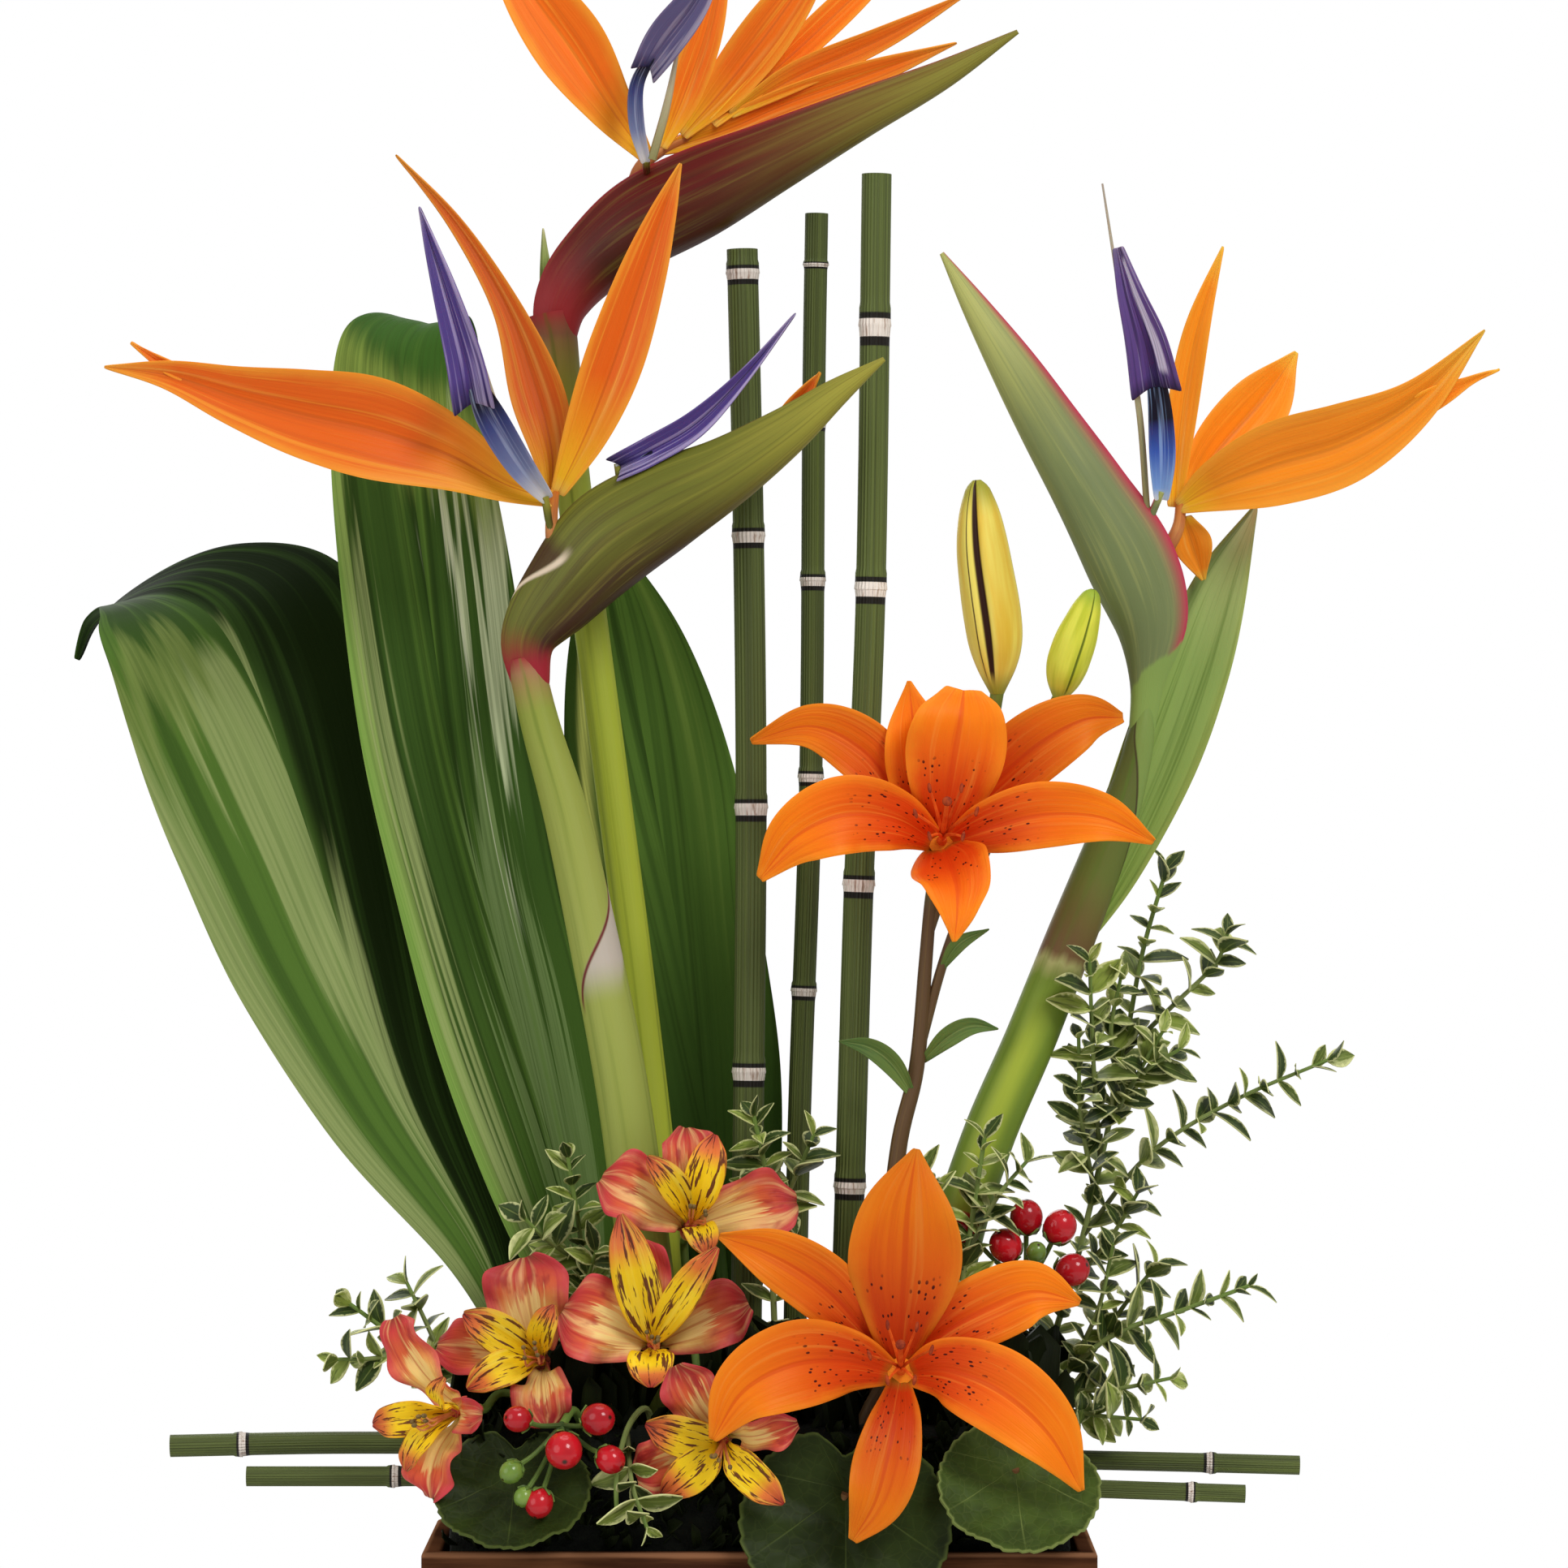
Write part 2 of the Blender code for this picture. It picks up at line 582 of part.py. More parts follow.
LILY_LOWER = {
    "throat": [(46, -34, 158), (46, -48, 159)],
    "tepals": [
        {"spine": [(46, -44, 161), (46, -54, 175), (47, -61, 194), (48, -63, 213), (51, -59, 232)],
         "half_widths": [3.5, 11, 18.5, 15, 1]},
        {"spine": [(44, -44, 160), (33, -54, 174), (20, -63, 188), (4, -66, 198), (-13, -64, 204)],
         "half_widths": [3, 7.5, 11, 9, 1]},
        {"spine": [(44, -46, 158), (28, -59, 163), (11, -71, 163), (-5, -76, 155), (-15, -73, 139)],
         "half_widths": [3.5, 11, 14.5, 11, 1.5]},
        {"spine": [(46, -47, 156), (44, -60, 144), (41, -67, 131), (37, -70, 118), (30, -68, 106)],
         "half_widths": [3.5, 8.5, 11, 9, 1.5]},
        {"spine": [(48, -46, 158), (61, -58, 160), (78, -68, 154), (93, -72, 141), (104, -68, 122)],
         "half_widths": [3.5, 11, 14, 11, 1]},
        {"spine": [(48, -44, 160), (60, -53, 172), (75, -60, 181), (89, -62, 186), (104, -58, 182)],
         "half_widths": [3.5, 9.5, 12, 10, 1]},
    ],
    "stamens": [(46, -48, 159), (-0.02, -0.95, 0.3)],
}
FILAMENT = 0.7
ANTHER = 1.6


def lily_tepals(name, plan, orange):
    pieces = [tube(plan["throat"], [3.4, 4.4], 8, 1)]
    for tepal in plan["tepals"]:
        pieces.append(blade(tepal["spine"], tepal["half_widths"], rows=5, columns=2, cup=0.16, thick=1.0))
    return fuse(name, pieces, orange)


def lily_stamens(name, plan, red):
    """Six filaments with their anthers round a longer pistil, standing on a small boss."""
    start, way = Vector(plan["stamens"][0]), Vector(plan["stamens"][1]).normalized()
    across = way.cross(UP).normalized()
    upward = across.cross(way)
    pieces = [tube([start + way * 0.9, start + way * 3.5], [1.6, 1.4], 6, 1)]
    for k in range(7):
        angle = math.tau * k / 6
        spread = 0.0 if k == 6 else 1.0
        out = (across * math.cos(angle) + upward * math.sin(angle)) * spread
        length = 34.0 if k == 6 else 27.0
        path = [start + way * 2, start + way * length * 0.5 + out * 4, start + way * length + out * 10]
        pieces.append(tube(path, [FILAMENT, FILAMENT], 3, 1))
        tip = path[-1]
        if spread:
            half = (upward + out * 0.3).normalized() * 3.2
            pieces.append(tube([tip - half, tip, tip + half], [0.6, ANTHER * 0.7, 0.6], 3, 2))
        else:
            pieces.append(tube([tip - way * 1.5, tip + way * 1.2], [0.9, 1.7], 5, 1))
    return fuse(name, pieces, red)


LILY_STEM_UPPER = [
    (36, -20, 84), (38, -19, 128), (42, -14, 190), (46, -10, 230), (52, -6, 256), (55, -2, 290),
    (57, 2, 312), (59.5, 1, 327), (60, -7.5, 331),
]
BIG_BUD = [(79, 3, 380), (78, 2, 400), (74, -1, 428), (72, -3, 451)]
SMALL_BUD = [(99, -10, 378), (102, -14, 390), (106, -18, 402), (110, -21, 414)]
BUD_STALKS = (
    [(56, 0, 300), (62, 4, 318), (72, 5, 350), (77, 4, 368), (79, 3, 379.4)],
    [(53, -5, 262), (62, -1, 294), (76, 0, 330), (90, -3, 360), (98.6, -9.4, 377.2)],
)
LILY_STEM_LOWER = [(24, -24, 96), (29, -24, 122), (36, -24, 143), (44, -26, 156), (46, -33.6, 158)]


def lily_stems(green, bud_yellow, bud_green):
    main = stem(LILY_STEM_UPPER, [3.4, 3.2, 3.0, 2.8, 2.6, 2.3, 2.1, 2.0, 1.8], 6, 10)
    to_big, to_small = (tube(path, [1.6, 1.8], 5, 5) for path in BUD_STALKS)
    leaves = [
        blade([(51, -8, 246), (44, -12, 257), (36, -14, 263), (26, -14, 265)], [1.2, 3.6, 3.2, 0.5], rows=3),
        blade([(54, -5, 258), (62, -11, 266), (70, -14, 270), (79, -14, 269)], [1.2, 3.4, 3.0, 0.5], rows=3),
        blade([(60, -1, 288), (66, -8, 297), (76, -11, 302)], [1.2, 2.6, 0.5], rows=3),
    ]
    fuse("lily_stem_upper", [main, to_big, to_small, *leaves], green)
    fuse("lily_stem_lower", [stem(LILY_STEM_LOWER, [3.2, 2.6], 6, 6)], green)
    bud("lily_bud_large", BIG_BUD, [2.2, 10.2, 9.6, 3.0], bud_yellow)
    bud("lily_bud_small", SMALL_BUD, [1.8, 7.4, 7.0, 2.6], bud_green)


def bud(name, path, radii, colour, sides=12, rows=6):
    """A closed bud with six long grooves between its tepals."""
    path = vectors(path)
    points = [along(path, i / rows) for i in range(rows + 1)]
    maker = bmesh.new()
    rings = []
    for i, (_, side, other) in enumerate(frames(points)):
        radius = max(along([float(r) for r in radii], i / rows), 1.2)
        ring = []
        for k in range(sides):
            angle = math.tau * k / sides
            grooved = radius * (0.9 if k % 2 else 1.0)
            out = side * math.cos(angle) + other * math.sin(angle)
            ring.append(maker.verts.new(points[i] + out * grooved))
        rings.append(ring)
    skin(maker, rings)
    return fuse(name, [new_object(name, maker)], colour)


# Alstroemeria: each bloom's throat, the way it faces, its stem's lead and its petals. A petal is its angle, its
# length and its half width. The angle is as the viewer sees it, from the right and up over the top.
BLOOMS = {
    "a": {
        "throat": (-22, -26, 207), "way": (0.12, -0.9, 0.35), "lead": (-25, 3, 192), "lift": 1.0,
        "outer": ((155, 33, 12), (92, 31, 9), (8, 35, 11.5)),
        "inner": ((74, 27, 6.8), (130, 24, 5.5), (280, 16, 6)),
    },
    "b": {
        "throat": (-35, -44, 168), "way": (-0.05, -0.97, 0.2), "lead": (-30, -18, 160), "lift": 1.0,
        "outer": ((160, 31, 14), (98, 34, 9), (22, 34, 11)),
        "inner": ((104, 42, 8), (54, 37, 6), (272, 16, 8)),
    },
    "c": {
        "throat": (-73, -40, 163), "way": (-0.15, -0.95, 0.25), "lead": (-70, -14, 152), "lift": 1.0,
        "outer": ((99, 33, 14), (175, 33, 9), (283, 24, 10)),
        "inner": ((152, 26, 7), (212, 24, 6.5), (65, 17, 5)),
    },
    "d": {
        "throat": (-102, -57, 146), "way": (-0.55, -0.8, 0.0), "lead": (-84, -28, 150), "lift": 1.0,
        "outer": ((122, 36, 8.5), (2, 17, 6), (262, 28, 9)),
        "inner": ((190, 22, 6), (246, 20, 5), (60, 15, 4)),
    },
    "e": {
        "throat": (-12, -61, 136), "way": (-0.05, -0.95, -0.2), "lead": (-14, -40, 146), "lift": 0.5,
        "outer": ((200, 30, 11), (118, 31, 9), (18, 26, 6)),
        "inner": ((160, 26, 7.5), (218, 25, 7), (318, 27, 6.5)),
    },
}
OUTER_FOOT = ((2.2, -12), (5.0, -6))
OUTER_RISE = ((0.42, 1), (0.74, 4), (1.0, 2))
OUTER_HALF = (0.13, 0.42, 0.86, 1.0, 0.2)
INNER_FOOT = ((1.2, -8), (3.5, 0))
INNER_RISE = ((0.33, 7), (0.67, 11), (1.0, 10))
INNER_HALF = (0.15, 0.45, 0.92, 0.98, 0.22)


def petal_round(bloom, petal, foot, rise, half):
    """One petal of a bloom. Its foot and its rise give distance from the axis and height along it."""
    throat, way = Vector(bloom["throat"]), Vector(bloom["way"]).normalized()
    degrees, length, width = petal
    angle = math.radians(degrees)
    right = UP.cross(way).normalized()
    out = right * math.cos(angle) + way.cross(right) * math.sin(angle)
    spine = [throat + out * reach + way * height for reach, height in foot]
    spine += [throat + out * length * share + way * height * bloom["lift"] for share, height in rise]
    widths = [width * share for share in half]
    return blade(spine, widths, (way - out * 0.9, way, way + out * 0.1), rows=3, columns=2, cup=0.12)


def alstroemeria_bloom(mark, coral, yellow):
    bloom = BLOOMS[mark]
    throat, way = Vector(bloom["throat"]), Vector(bloom["way"]).normalized()
    outer = [tube([throat - way * 19, throat - way * 10.5], [1.7, 2.9], 6, 1)]
    outer += [petal_round(bloom, petal, OUTER_FOOT, OUTER_RISE, OUTER_HALF) for petal in bloom["outer"]]
    fuse(f"alstroemeria_{mark}_outer", outer, coral)
    inner = [tube([throat - way * 9.6, throat - way * 5.2], [1.5, 2.0], 6, 1)]
    inner += [petal_round(bloom, petal, INNER_FOOT, INNER_RISE, INNER_HALF) for petal in bloom["inner"]]
    fuse(f"alstroemeria_{mark}_inner", inner, yellow)


def bloom_back(mark, beyond):
    """A place behind a bloom's ovary, on its axis."""
    bloom = BLOOMS[mark]
    return Vector(bloom["throat"]) - Vector(bloom["way"]).normalized() * beyond


def alstroemeria_stems(green):
    """Two stems, each forked to the backs of its blooms."""
    for name, root, fork, marks in (
        ("alstroemeria_stem_middle", (-14, -18, 90), (-20, -26, 150), "abe"),
        ("alstroemeria_stem_left", (-60, -26, 90), (-68, -30, 146), "cd"),
    ):
        fork_place, root_place = Vector(fork), Vector(root)
        pieces = [stem([root_place, root_place.lerp(fork_place, 0.5), fork_place], [2.6, 2.4], 6, 2)]
        for mark in marks:
            end, lead = bloom_back(mark, 19 + GAP), Vector(BLOOMS[mark]["lead"])
            pieces.append(tube([fork_place - UP, lead, bloom_back(mark, 22), end], [1.5, 1.4], 5, 5))
        fuse(name, pieces, green)


# Hypericum: berries as (place, radius), on twigs from one fork.
BERRIES = {
    "hypericum_left": {
        "stem": [(-50, -22, 100), (-54, -28, 126), (-60, -42, 145), (-64, -54, 142)],
        "berries": [
            ((-78, -65, 145), 4.6), ((-63, -67, 135), 6.4), ((-52, -66, 145), 5.6), ((-48, -66, 132), 4.9),
            ((-71, -67, 118), 4.9), ((-80, -66, 128), 4.0), ((-76, -67, 120), 3.4),
        ],
    },
    "hypericum_right": {
        "stem": [(76, 8, 100), (79, 5, 140), (84, -4, 166), (88, -12, 184)],
        "berries": [
            ((67, -20, 204), 5.4), ((81, -22, 198), 5.8), ((88, -17, 207), 5.8), ((99, -20, 204), 5.8),
            ((103, -22, 190), 5.8), ((91, -24, 196), 3.6),
        ],
    },
}


def hypericum(name, red):
    plan = BERRIES[name]
    fork = Vector(plan["stem"][-1])
    pieces = [stem(plan["stem"], [1.8, 1.6, 1.5, 1.4], 5, 4)]
    for place, radius in plan["berries"]:
        centre = Vector(place)
        way = (centre - fork).normalized()
        pieces.append(tube([fork - way, centre], [1.0, 1.0], 3, 1))
        maker = bmesh.new()
        bmesh.ops.create_uvsphere(maker, u_segments=6, v_segments=4, radius=radius)
        turn = UP.rotation_difference(way).to_matrix().to_4x4()
        bmesh.ops.transform(maker, matrix=turn, verts=maker.verts)
        bmesh.ops.translate(maker, vec=centre, verts=maker.verts)
        pieces.append(new_object("berry", maker))
    return fuse(name, pieces, red)


# Galax leaves: centre, facing, radius, and where the stalk stands in the foam.
GALAX = {
    "galax_leaf_left": {"centre": (-80, -55, 117), "face": (-0.05, -0.9, 0.42), "radius": 26,
                        "stalk": [(-80, -30, 112), (-80, -44, 113)]},
    "galax_leaf_middle": {"centre": (28, -55, 110), "face": (0.0, -0.96, 0.28), "radius": 35,
                          "stalk": [(24, -31, 110), (25, -44, 111)]},
    "galax_leaf_right": {"centre": (84, -57, 122), "face": (0.1, -0.8, 0.6), "radius": 27,
                         "stalk": [(86, -31, 115), (85, -44, 116)]},
    "galax_leaf_back_left": {"centre": (-66, 57, 124), "face": (-0.05, 0.84, 0.55), "radius": 31,
                             "stalk": [(-66, 33, 116), (-66, 44, 117)]},
    "galax_leaf_back_middle": {"centre": (6, 57, 120), "face": (0.05, 0.88, 0.45), "radius": 34,
                               "stalk": [(5, 33, 114), (5, 44, 115)]},
    "galax_leaf_back_right": {"centre": (72, 57, 124), "face": (0.1, 0.82, 0.57), "radius": 30,
                              "stalk": [(71, 33, 116), (71, 44, 117)]},
}
TEETH = 12
TOOTH = 0.05


def galax_leaf(name, green):
    """A round toothed leaf, notched at its stalk and gently dished."""
    plan = GALAX[name]
    face = Vector(plan["face"]).normalized()
    across = UP.cross(face).normalized()
    upward = face.cross(across)
    centre, radius = Vector(plan["centre"]), plan["radius"]
    maker = bmesh.new()
    count = 2 * TEETH
    middle = maker.verts.new(centre)
    rings = []
    for share, step in ((0.55, 2), (1.0, 1)):
        ring = []
        for k in range(0, count, step):
            angle = math.tau * k / count
            notch = 1 - 0.3 * math.exp(-((math.remainder(angle - math.pi / 2, math.tau) / 0.22) ** 2))
            tooth = 1 - TOOTH * (k % 2) if share == 1.0 else 1.0
            reach = radius * share * tooth * (1 - (1 - notch) * share)
            dish = radius * (0.16 * share**2 + 0.035 * share * math.cos(6 * angle))
            ring.append(
                maker.verts.new(
                    centre
                    + across * math.cos(angle) * reach
                    + upward * math.sin(angle) * reach * 0.93
                    + face * (dish - 0.1 * radius)
                )
            )
        rings.append(ring)
    middle.co -= face * radius * 0.1
    inner, edge = rings
    for k in range(TEETH):
        n = (k + 1) % TEETH
        maker.faces.new((middle, inner[k], inner[n]))
        maker.faces.new((inner[k], edge[2 * k], edge[2 * k + 1]))
        maker.faces.new((inner[k], edge[2 * k + 1], inner[n]))
        maker.faces.new((inner[n], edge[2 * k + 1], edge[(2 * k + 2) % count]))
    bmesh.ops.triangulate(maker, faces=maker.faces)
    leaf = new_object("leaf", maker)
    wall = leaf.modifiers.new("thickness", "SOLIDIFY")
    wall.thickness = LEAF * MM
    wall.offset = 0.0
    apply_modifiers(leaf)
    heart = centre + upward * radius * 0.3 - face * radius * 0.07
    stalk = stem([*plan["stalk"], heart], [1.4, 1.3], 5, 3)
    return fuse(name, [leaf, stalk], green)


# Variegated box: each spray's twigs, the first of them standing in the foam.
SPRAYS = {
    "box_spray_right_tall": [
        [(86, 20, 100), (89, 20, 134), (97, 18, 160), (106, 16, 190), (115, 14, 228), (122, 12, 262), (128, 12, 294),
         (136, 12, 322)],
        [(114, 14, 224), (111, 2, 258), (109, -14, 292)],
        [(122, 12, 260), (138, 10, 276), (152, 8, 290), (156, 8, 300)],
        [(108, 16, 198), (130, 12, 226), (158, 10, 244), (190, 8, 258)],
        [(118, 14, 240), (128, 4, 254), (140, 0, 262)],
        [(103, 16, 180), (118, 8, 200), (126, 4, 214)],
    ],
    "box_spray_right_low": [
        [(90, 4, 98), (92, 3, 142), (102, -6, 155), (118, -10, 168), (140, -12, 176), (162, -12, 184)],
        [(104, -7, 154), (112, -10, 176), (117, -12, 198)],
        [(98, -4, 146), (116, -16, 150), (136, -18, 154)],
        [(92, 1, 145), (108, -16, 142), (126, -26, 141)],
        [(110, -9, 162), (122, -2, 178), (132, 0, 190)],
    ],
    "box_spray_left": [
        [(-85, 4, 104), (-87, 4, 142), (-103, 0, 155), (-120, -6, 166), (-136, -10, 178)],
        [(-114, -4, 161), (-128, -12, 160), (-140, -16, 160)],
        [(-106, 0, 154), (-112, 4, 172), (-118, 6, 184)],
    ],
    "box_spray_left_middle": [
        [(-50, 12, 100), (-52, 12, 138), (-56, 8, 170), (-60, 4, 200), (-64, 2, 226)],
        [(-55, 9, 164), (-58, -4, 180), (-54, -18, 196)],
        [(-58, 6, 190), (-70, -4, 198), (-78, -8, 206)],
    ],
    "box_spray_middle": [
        [(8, -2, 100), (6, -3, 140), (4, -4, 190), (2, -6, 220), (-2, -8, 240)],
        [(4, -4, 200), (12, -6, 220), (18, -8, 234)],
    ],
    "box_spray_right_middle": [
        [(64, -26, 104), (65, -27, 138), (66, -27, 180), (70, -26, 208), (74, -26, 234)],
        [(66, -27, 196), (78, -26, 214), (88, -24, 226)],
        [(66, -27, 190), (58, -28, 208), (54, -28, 222)],
    ],
    "box_spray_front": [
        [(-34, -28, 112), (-36, -31, 143), (-42, -46, 142), (-46, -60, 128), (-46, -64, 112)],
        [(-43, -50, 139), (-41, -66, 124), (-36, -70, 110)],
    ],
}
SPACING = 16.0
FIRST_LEAF = 0.15
END_LEAF = 2.0


def small_leaf(base, way, face, length, half, thick):
    """A small leaf with a keel: flat towards its face, and thickest along its rib."""
    side = way.cross(face).normalized()
    lift = side.cross(way).normalized()
    middle = base + way * length * 0.52 + lift * thick
    maker = bmesh.new()
    corners = (base, middle + side * half, base + way * length, middle - side * half)
    foot, left, tip, right = [maker.verts.new(point) for point in corners]
    for three in ((foot, left, tip), (foot, tip, right), (foot, right, left), (left, right, tip)):
        maker.faces.new(three)
    return new_object("leaf", maker)


def tree_of(thing):
    maker = bmesh.new()
    maker.from_mesh(thing.data)
    tree = BVHTree.FromBMesh(maker)
    maker.free()
    return tree


def inside(tree, point):
    """True where the first wall above the point shows its inner face."""
    _, normal, _, _ = tree.ray_cast(point * MM, UP)
    return normal is not None and normal.z > 0


def box_spray(name, green, others, seed):
    """Twigs with leaves in crossed pairs. A leaf that would meet another plant is turned, or left off."""
    chance = random.Random(seed)
    pieces = []
    main_twig = vectors(SPRAYS[name][0])
    for index, twig in enumerate(SPRAYS[name]):
        path = vectors(twig)
        if index > 0:
            path[0] = nearest_on(main_twig, path[0])
        maker, thickness = (stem, [1.5, 1.1, 0.8]) if index == 0 else (tube, [1.0, 0.9])
        pieces.append(maker(path, thickness, 5 if index == 0 else 3, len(path) - 1))
        length = sum((b - a).length for a, b in zip(path, path[1:]))
        pairs = max(2, round(length / SPACING))
        for pair in range(pairs + 1):
            share = min(pair / pairs, 1 - END_LEAF / length)
            place = straight_along(path, share)
            if index == 0 and place.z < FOAM_TOP + 8 or index > 0 and share < FIRST_LEAF:
                continue
            tangent = (along(path, min(share + 0.03, 1)) - along(path, max(share - 0.03, 0))).normalized()
            side = tangent.cross(Vector((0.2, -1, 0.1))).normalized()
            other = tangent.cross(side)
            turn = math.pi / 2 * (pair % 2) + chance.uniform(-0.4, 0.4)
            for half_turn in (0.0, math.pi):
                size = chance.uniform(14.5, 18.5) * (0.8 if share > 0.9 else 1.0)
                lean = chance.uniform(0.7, 1.0)
                for trial in range(5):
                    angle = turn + half_turn + trial * 0.7
                    out = side * math.cos(angle) + other * math.sin(angle)
                    way = (tangent * lean + out).normalized()
                    face = (tangent * 0.7 - out * 0.3 + VIEWER).normalized()
                    probe = small_leaf(place + way * 1.6, way, face, size * 1.08, size * 0.33, 2.0)
                    tree = tree_of(probe)
                    bpy.data.objects.remove(probe)
                    tip = place + way * size
                    if not any(tree.overlap(blocker) or inside(blocker, tip) for blocker in others):
                        pieces.append(small_leaf(place, way, face, size, size * 0.27, 1.6))
                        break
    return fuse(name, pieces, green)


def main():
    clear_scene()
    wood = finish("box wood", (0.16, 0.07, 0.035), 0.45)
    plastic = finish("liner plastic", (0.02, 0.02, 0.02), 0.5)
    foam = finish("wet foam", (0.05, 0.12, 0.04), 0.95)
    ti_green = finish("ti leaf", (0.05, 0.16, 0.03), 0.35)
    jointed_green = finish("horsetail", (0.08, 0.16, 0.04), 0.5)
    stalk_green = finish("bird of paradise green", (0.2, 0.28, 0.06), 0.45)
    orange = finish("bird of paradise orange", (0.9, 0.27, 0.02), 0.5)
    blue = finish("bird of paradise blue", (0.1, 0.07, 0.35), 0.5)
    lily_orange = finish("lily orange", (0.9, 0.2, 0.02), 0.5)
    stamen_red = finish("lily stamen", (0.55, 0.12, 0.03), 0.6)
    lily_green = finish("lily stem", (0.14, 0.17, 0.06), 0.5)
    bud_yellow = finish("lily bud yellow", (0.7, 0.5, 0.12), 0.5)
    bud_green = finish("lily bud green", (0.5, 0.6, 0.08), 0.5)
    coral = finish("alstroemeria coral", (0.75, 0.16, 0.06), 0.5)
    yellow = finish("alstroemeria yellow", (0.85, 0.55, 0.04), 0.5)
    thin_green = finish("alstroemeria stem", (0.12, 0.2, 0.05), 0.5)
    red = finish("hypericum", (0.5, 0.02, 0.05), 0.25)
    galax_green = finish("galax leaf", (0.05, 0.11, 0.03), 0.4)
    box_green = finish("variegated box", (0.2, 0.28, 0.1), 0.5)
    for name in HORSETAILS:
        horsetail(name, jointed_green)
    for name in TI_LEAVES:
        ti_leaf(name, ti_green)
    for name in BIRDS:
        bird_of_paradise(name, stalk_green, orange, blue)
    lily_tepals("lily_upper_tepals", LILY_UPPER, lily_orange)
    lily_tepals("lily_lower_tepals", LILY_LOWER, lily_orange)
    lily_stamens("lily_upper_stamens", LILY_UPPER, stamen_red)
    lily_stamens("lily_lower_stamens", LILY_LOWER, stamen_red)
    lily_stems(lily_green, bud_yellow, bud_green)
    for mark in BLOOMS:
        alstroemeria_bloom(mark, coral, yellow)
    alstroemeria_stems(thin_green)
    for name in BERRIES:
        hypericum(name, red)
    for name in GALAX:
        galax_leaf(name, galax_green)
    wooden_box(wood)
    plastic_liner(plastic)
    others = [tree_of(thing) for thing in bpy.data.objects if thing not in SOCKETS]
    block = foam_shape()
    others.append(tree_of(block))
    for seed, name in enumerate(SPRAYS):
        others.append(tree_of(box_spray(name, box_green, others, seed)))
    foam_block(block, foam)


main()
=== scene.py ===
"""Tropical flowers in a wooden box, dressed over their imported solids.

Three bird of paradise stems, lilies, alstroemeria, ti leaves, horsetail, hypericum berries, galax
leaves and variegated box sprays stand in a block of wet foam. Places are in millimetres and made
metres by MM. The origin is the centre of the box's underside, +X is the viewer's right, -Y is
towards the viewer and +Z is up.
"""

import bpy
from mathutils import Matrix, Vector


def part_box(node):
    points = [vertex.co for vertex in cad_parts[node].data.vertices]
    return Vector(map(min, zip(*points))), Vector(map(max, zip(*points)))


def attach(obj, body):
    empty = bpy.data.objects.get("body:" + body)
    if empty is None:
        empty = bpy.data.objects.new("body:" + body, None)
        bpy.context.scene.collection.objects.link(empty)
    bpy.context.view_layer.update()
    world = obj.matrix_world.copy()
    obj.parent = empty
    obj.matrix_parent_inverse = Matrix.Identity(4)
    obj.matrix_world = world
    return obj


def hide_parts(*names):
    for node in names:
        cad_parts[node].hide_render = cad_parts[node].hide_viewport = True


bl_info = {
    "name": "Tropical flowers in a wooden box",
    "version": (1, 0, 0),
    "blender": (4, 5, 0),
    "location": "3D View > Sidebar > Flower box",
    "description": "Cut tropical flowers and leaves standing in a box, one button for each kind",
    "category": "Object",
}

import math
import random

import bpy
from bpy.props import FloatProperty, FloatVectorProperty, IntProperty, PointerProperty
from bpy.types import Operator, Panel, PropertyGroup
from mathutils import Matrix, Vector
from mathutils.bvhtree import BVHTree

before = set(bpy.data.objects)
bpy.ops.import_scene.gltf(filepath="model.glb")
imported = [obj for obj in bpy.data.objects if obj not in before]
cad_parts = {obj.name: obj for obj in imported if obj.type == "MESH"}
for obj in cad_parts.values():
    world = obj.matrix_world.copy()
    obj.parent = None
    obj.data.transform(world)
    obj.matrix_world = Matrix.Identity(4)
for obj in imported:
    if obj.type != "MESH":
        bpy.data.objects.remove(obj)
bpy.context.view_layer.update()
BOX_LOW, BOX_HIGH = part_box("wooden_box")
FOAM_LOW, FOAM_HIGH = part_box("foam_block")

MM = 0.001
VIEWER = Vector((0.0, -1.0, 0.0))
UP = Vector((0.0, 0.0, 1.0))


# Colours and settings

def screen(red, green, blue):
    """A linear colour from the 0 to 255 values that a screen shows."""
    return tuple(((value / 255 + 0.055) / 1.055) ** 2.4 for value in (red, green, blue))


def colour_setting(name, words, *rgb):
    return FloatVectorProperty(
        name=name, description=words, default=screen(*rgb), size=3, min=0.0, max=1.0, subtype="COLOR"
    )


def length_setting(name, words, metres):
    return FloatProperty(name=name, description=words, default=metres, min=0.0, unit="LENGTH")


class BoxSettings(PropertyGroup):
    width: length_setting("Width", "Length of the box's long side", BOX_HIGH.x - BOX_LOW.x)
    depth: length_setting("Depth", "Length of the box's short side", BOX_HIGH.y - BOX_LOW.y)
    height: length_setting("Height", "Height of the box", BOX_HIGH.z - BOX_LOW.z)
    wall: length_setting("Wall", "Thickness of the box's walls", 6.0 * MM)
    wood: colour_setting("Wood", "Colour of the stained wood", 108, 68, 44)
    dark_grain: colour_setting("Grain", "Colour of the grain's dark lines", 66, 38, 25)
    # The rim's pale colour is partly wear and partly a painted highlight.
    rim: colour_setting("Rim", "Colour of the worn rim", 158, 110, 78)
    # Foam and moss are near black: painted shade for the deep gaps between the leaves.
    foam: colour_setting("Foam", "Colour of the wet foam", 16, 20, 9)
    moss: colour_setting("Moss", "Colour of the moss on the foam", 26, 32, 13)
    tufts: IntProperty(name="Tufts", description="Blades of moss on the foam", default=1100, min=1, max=2000)


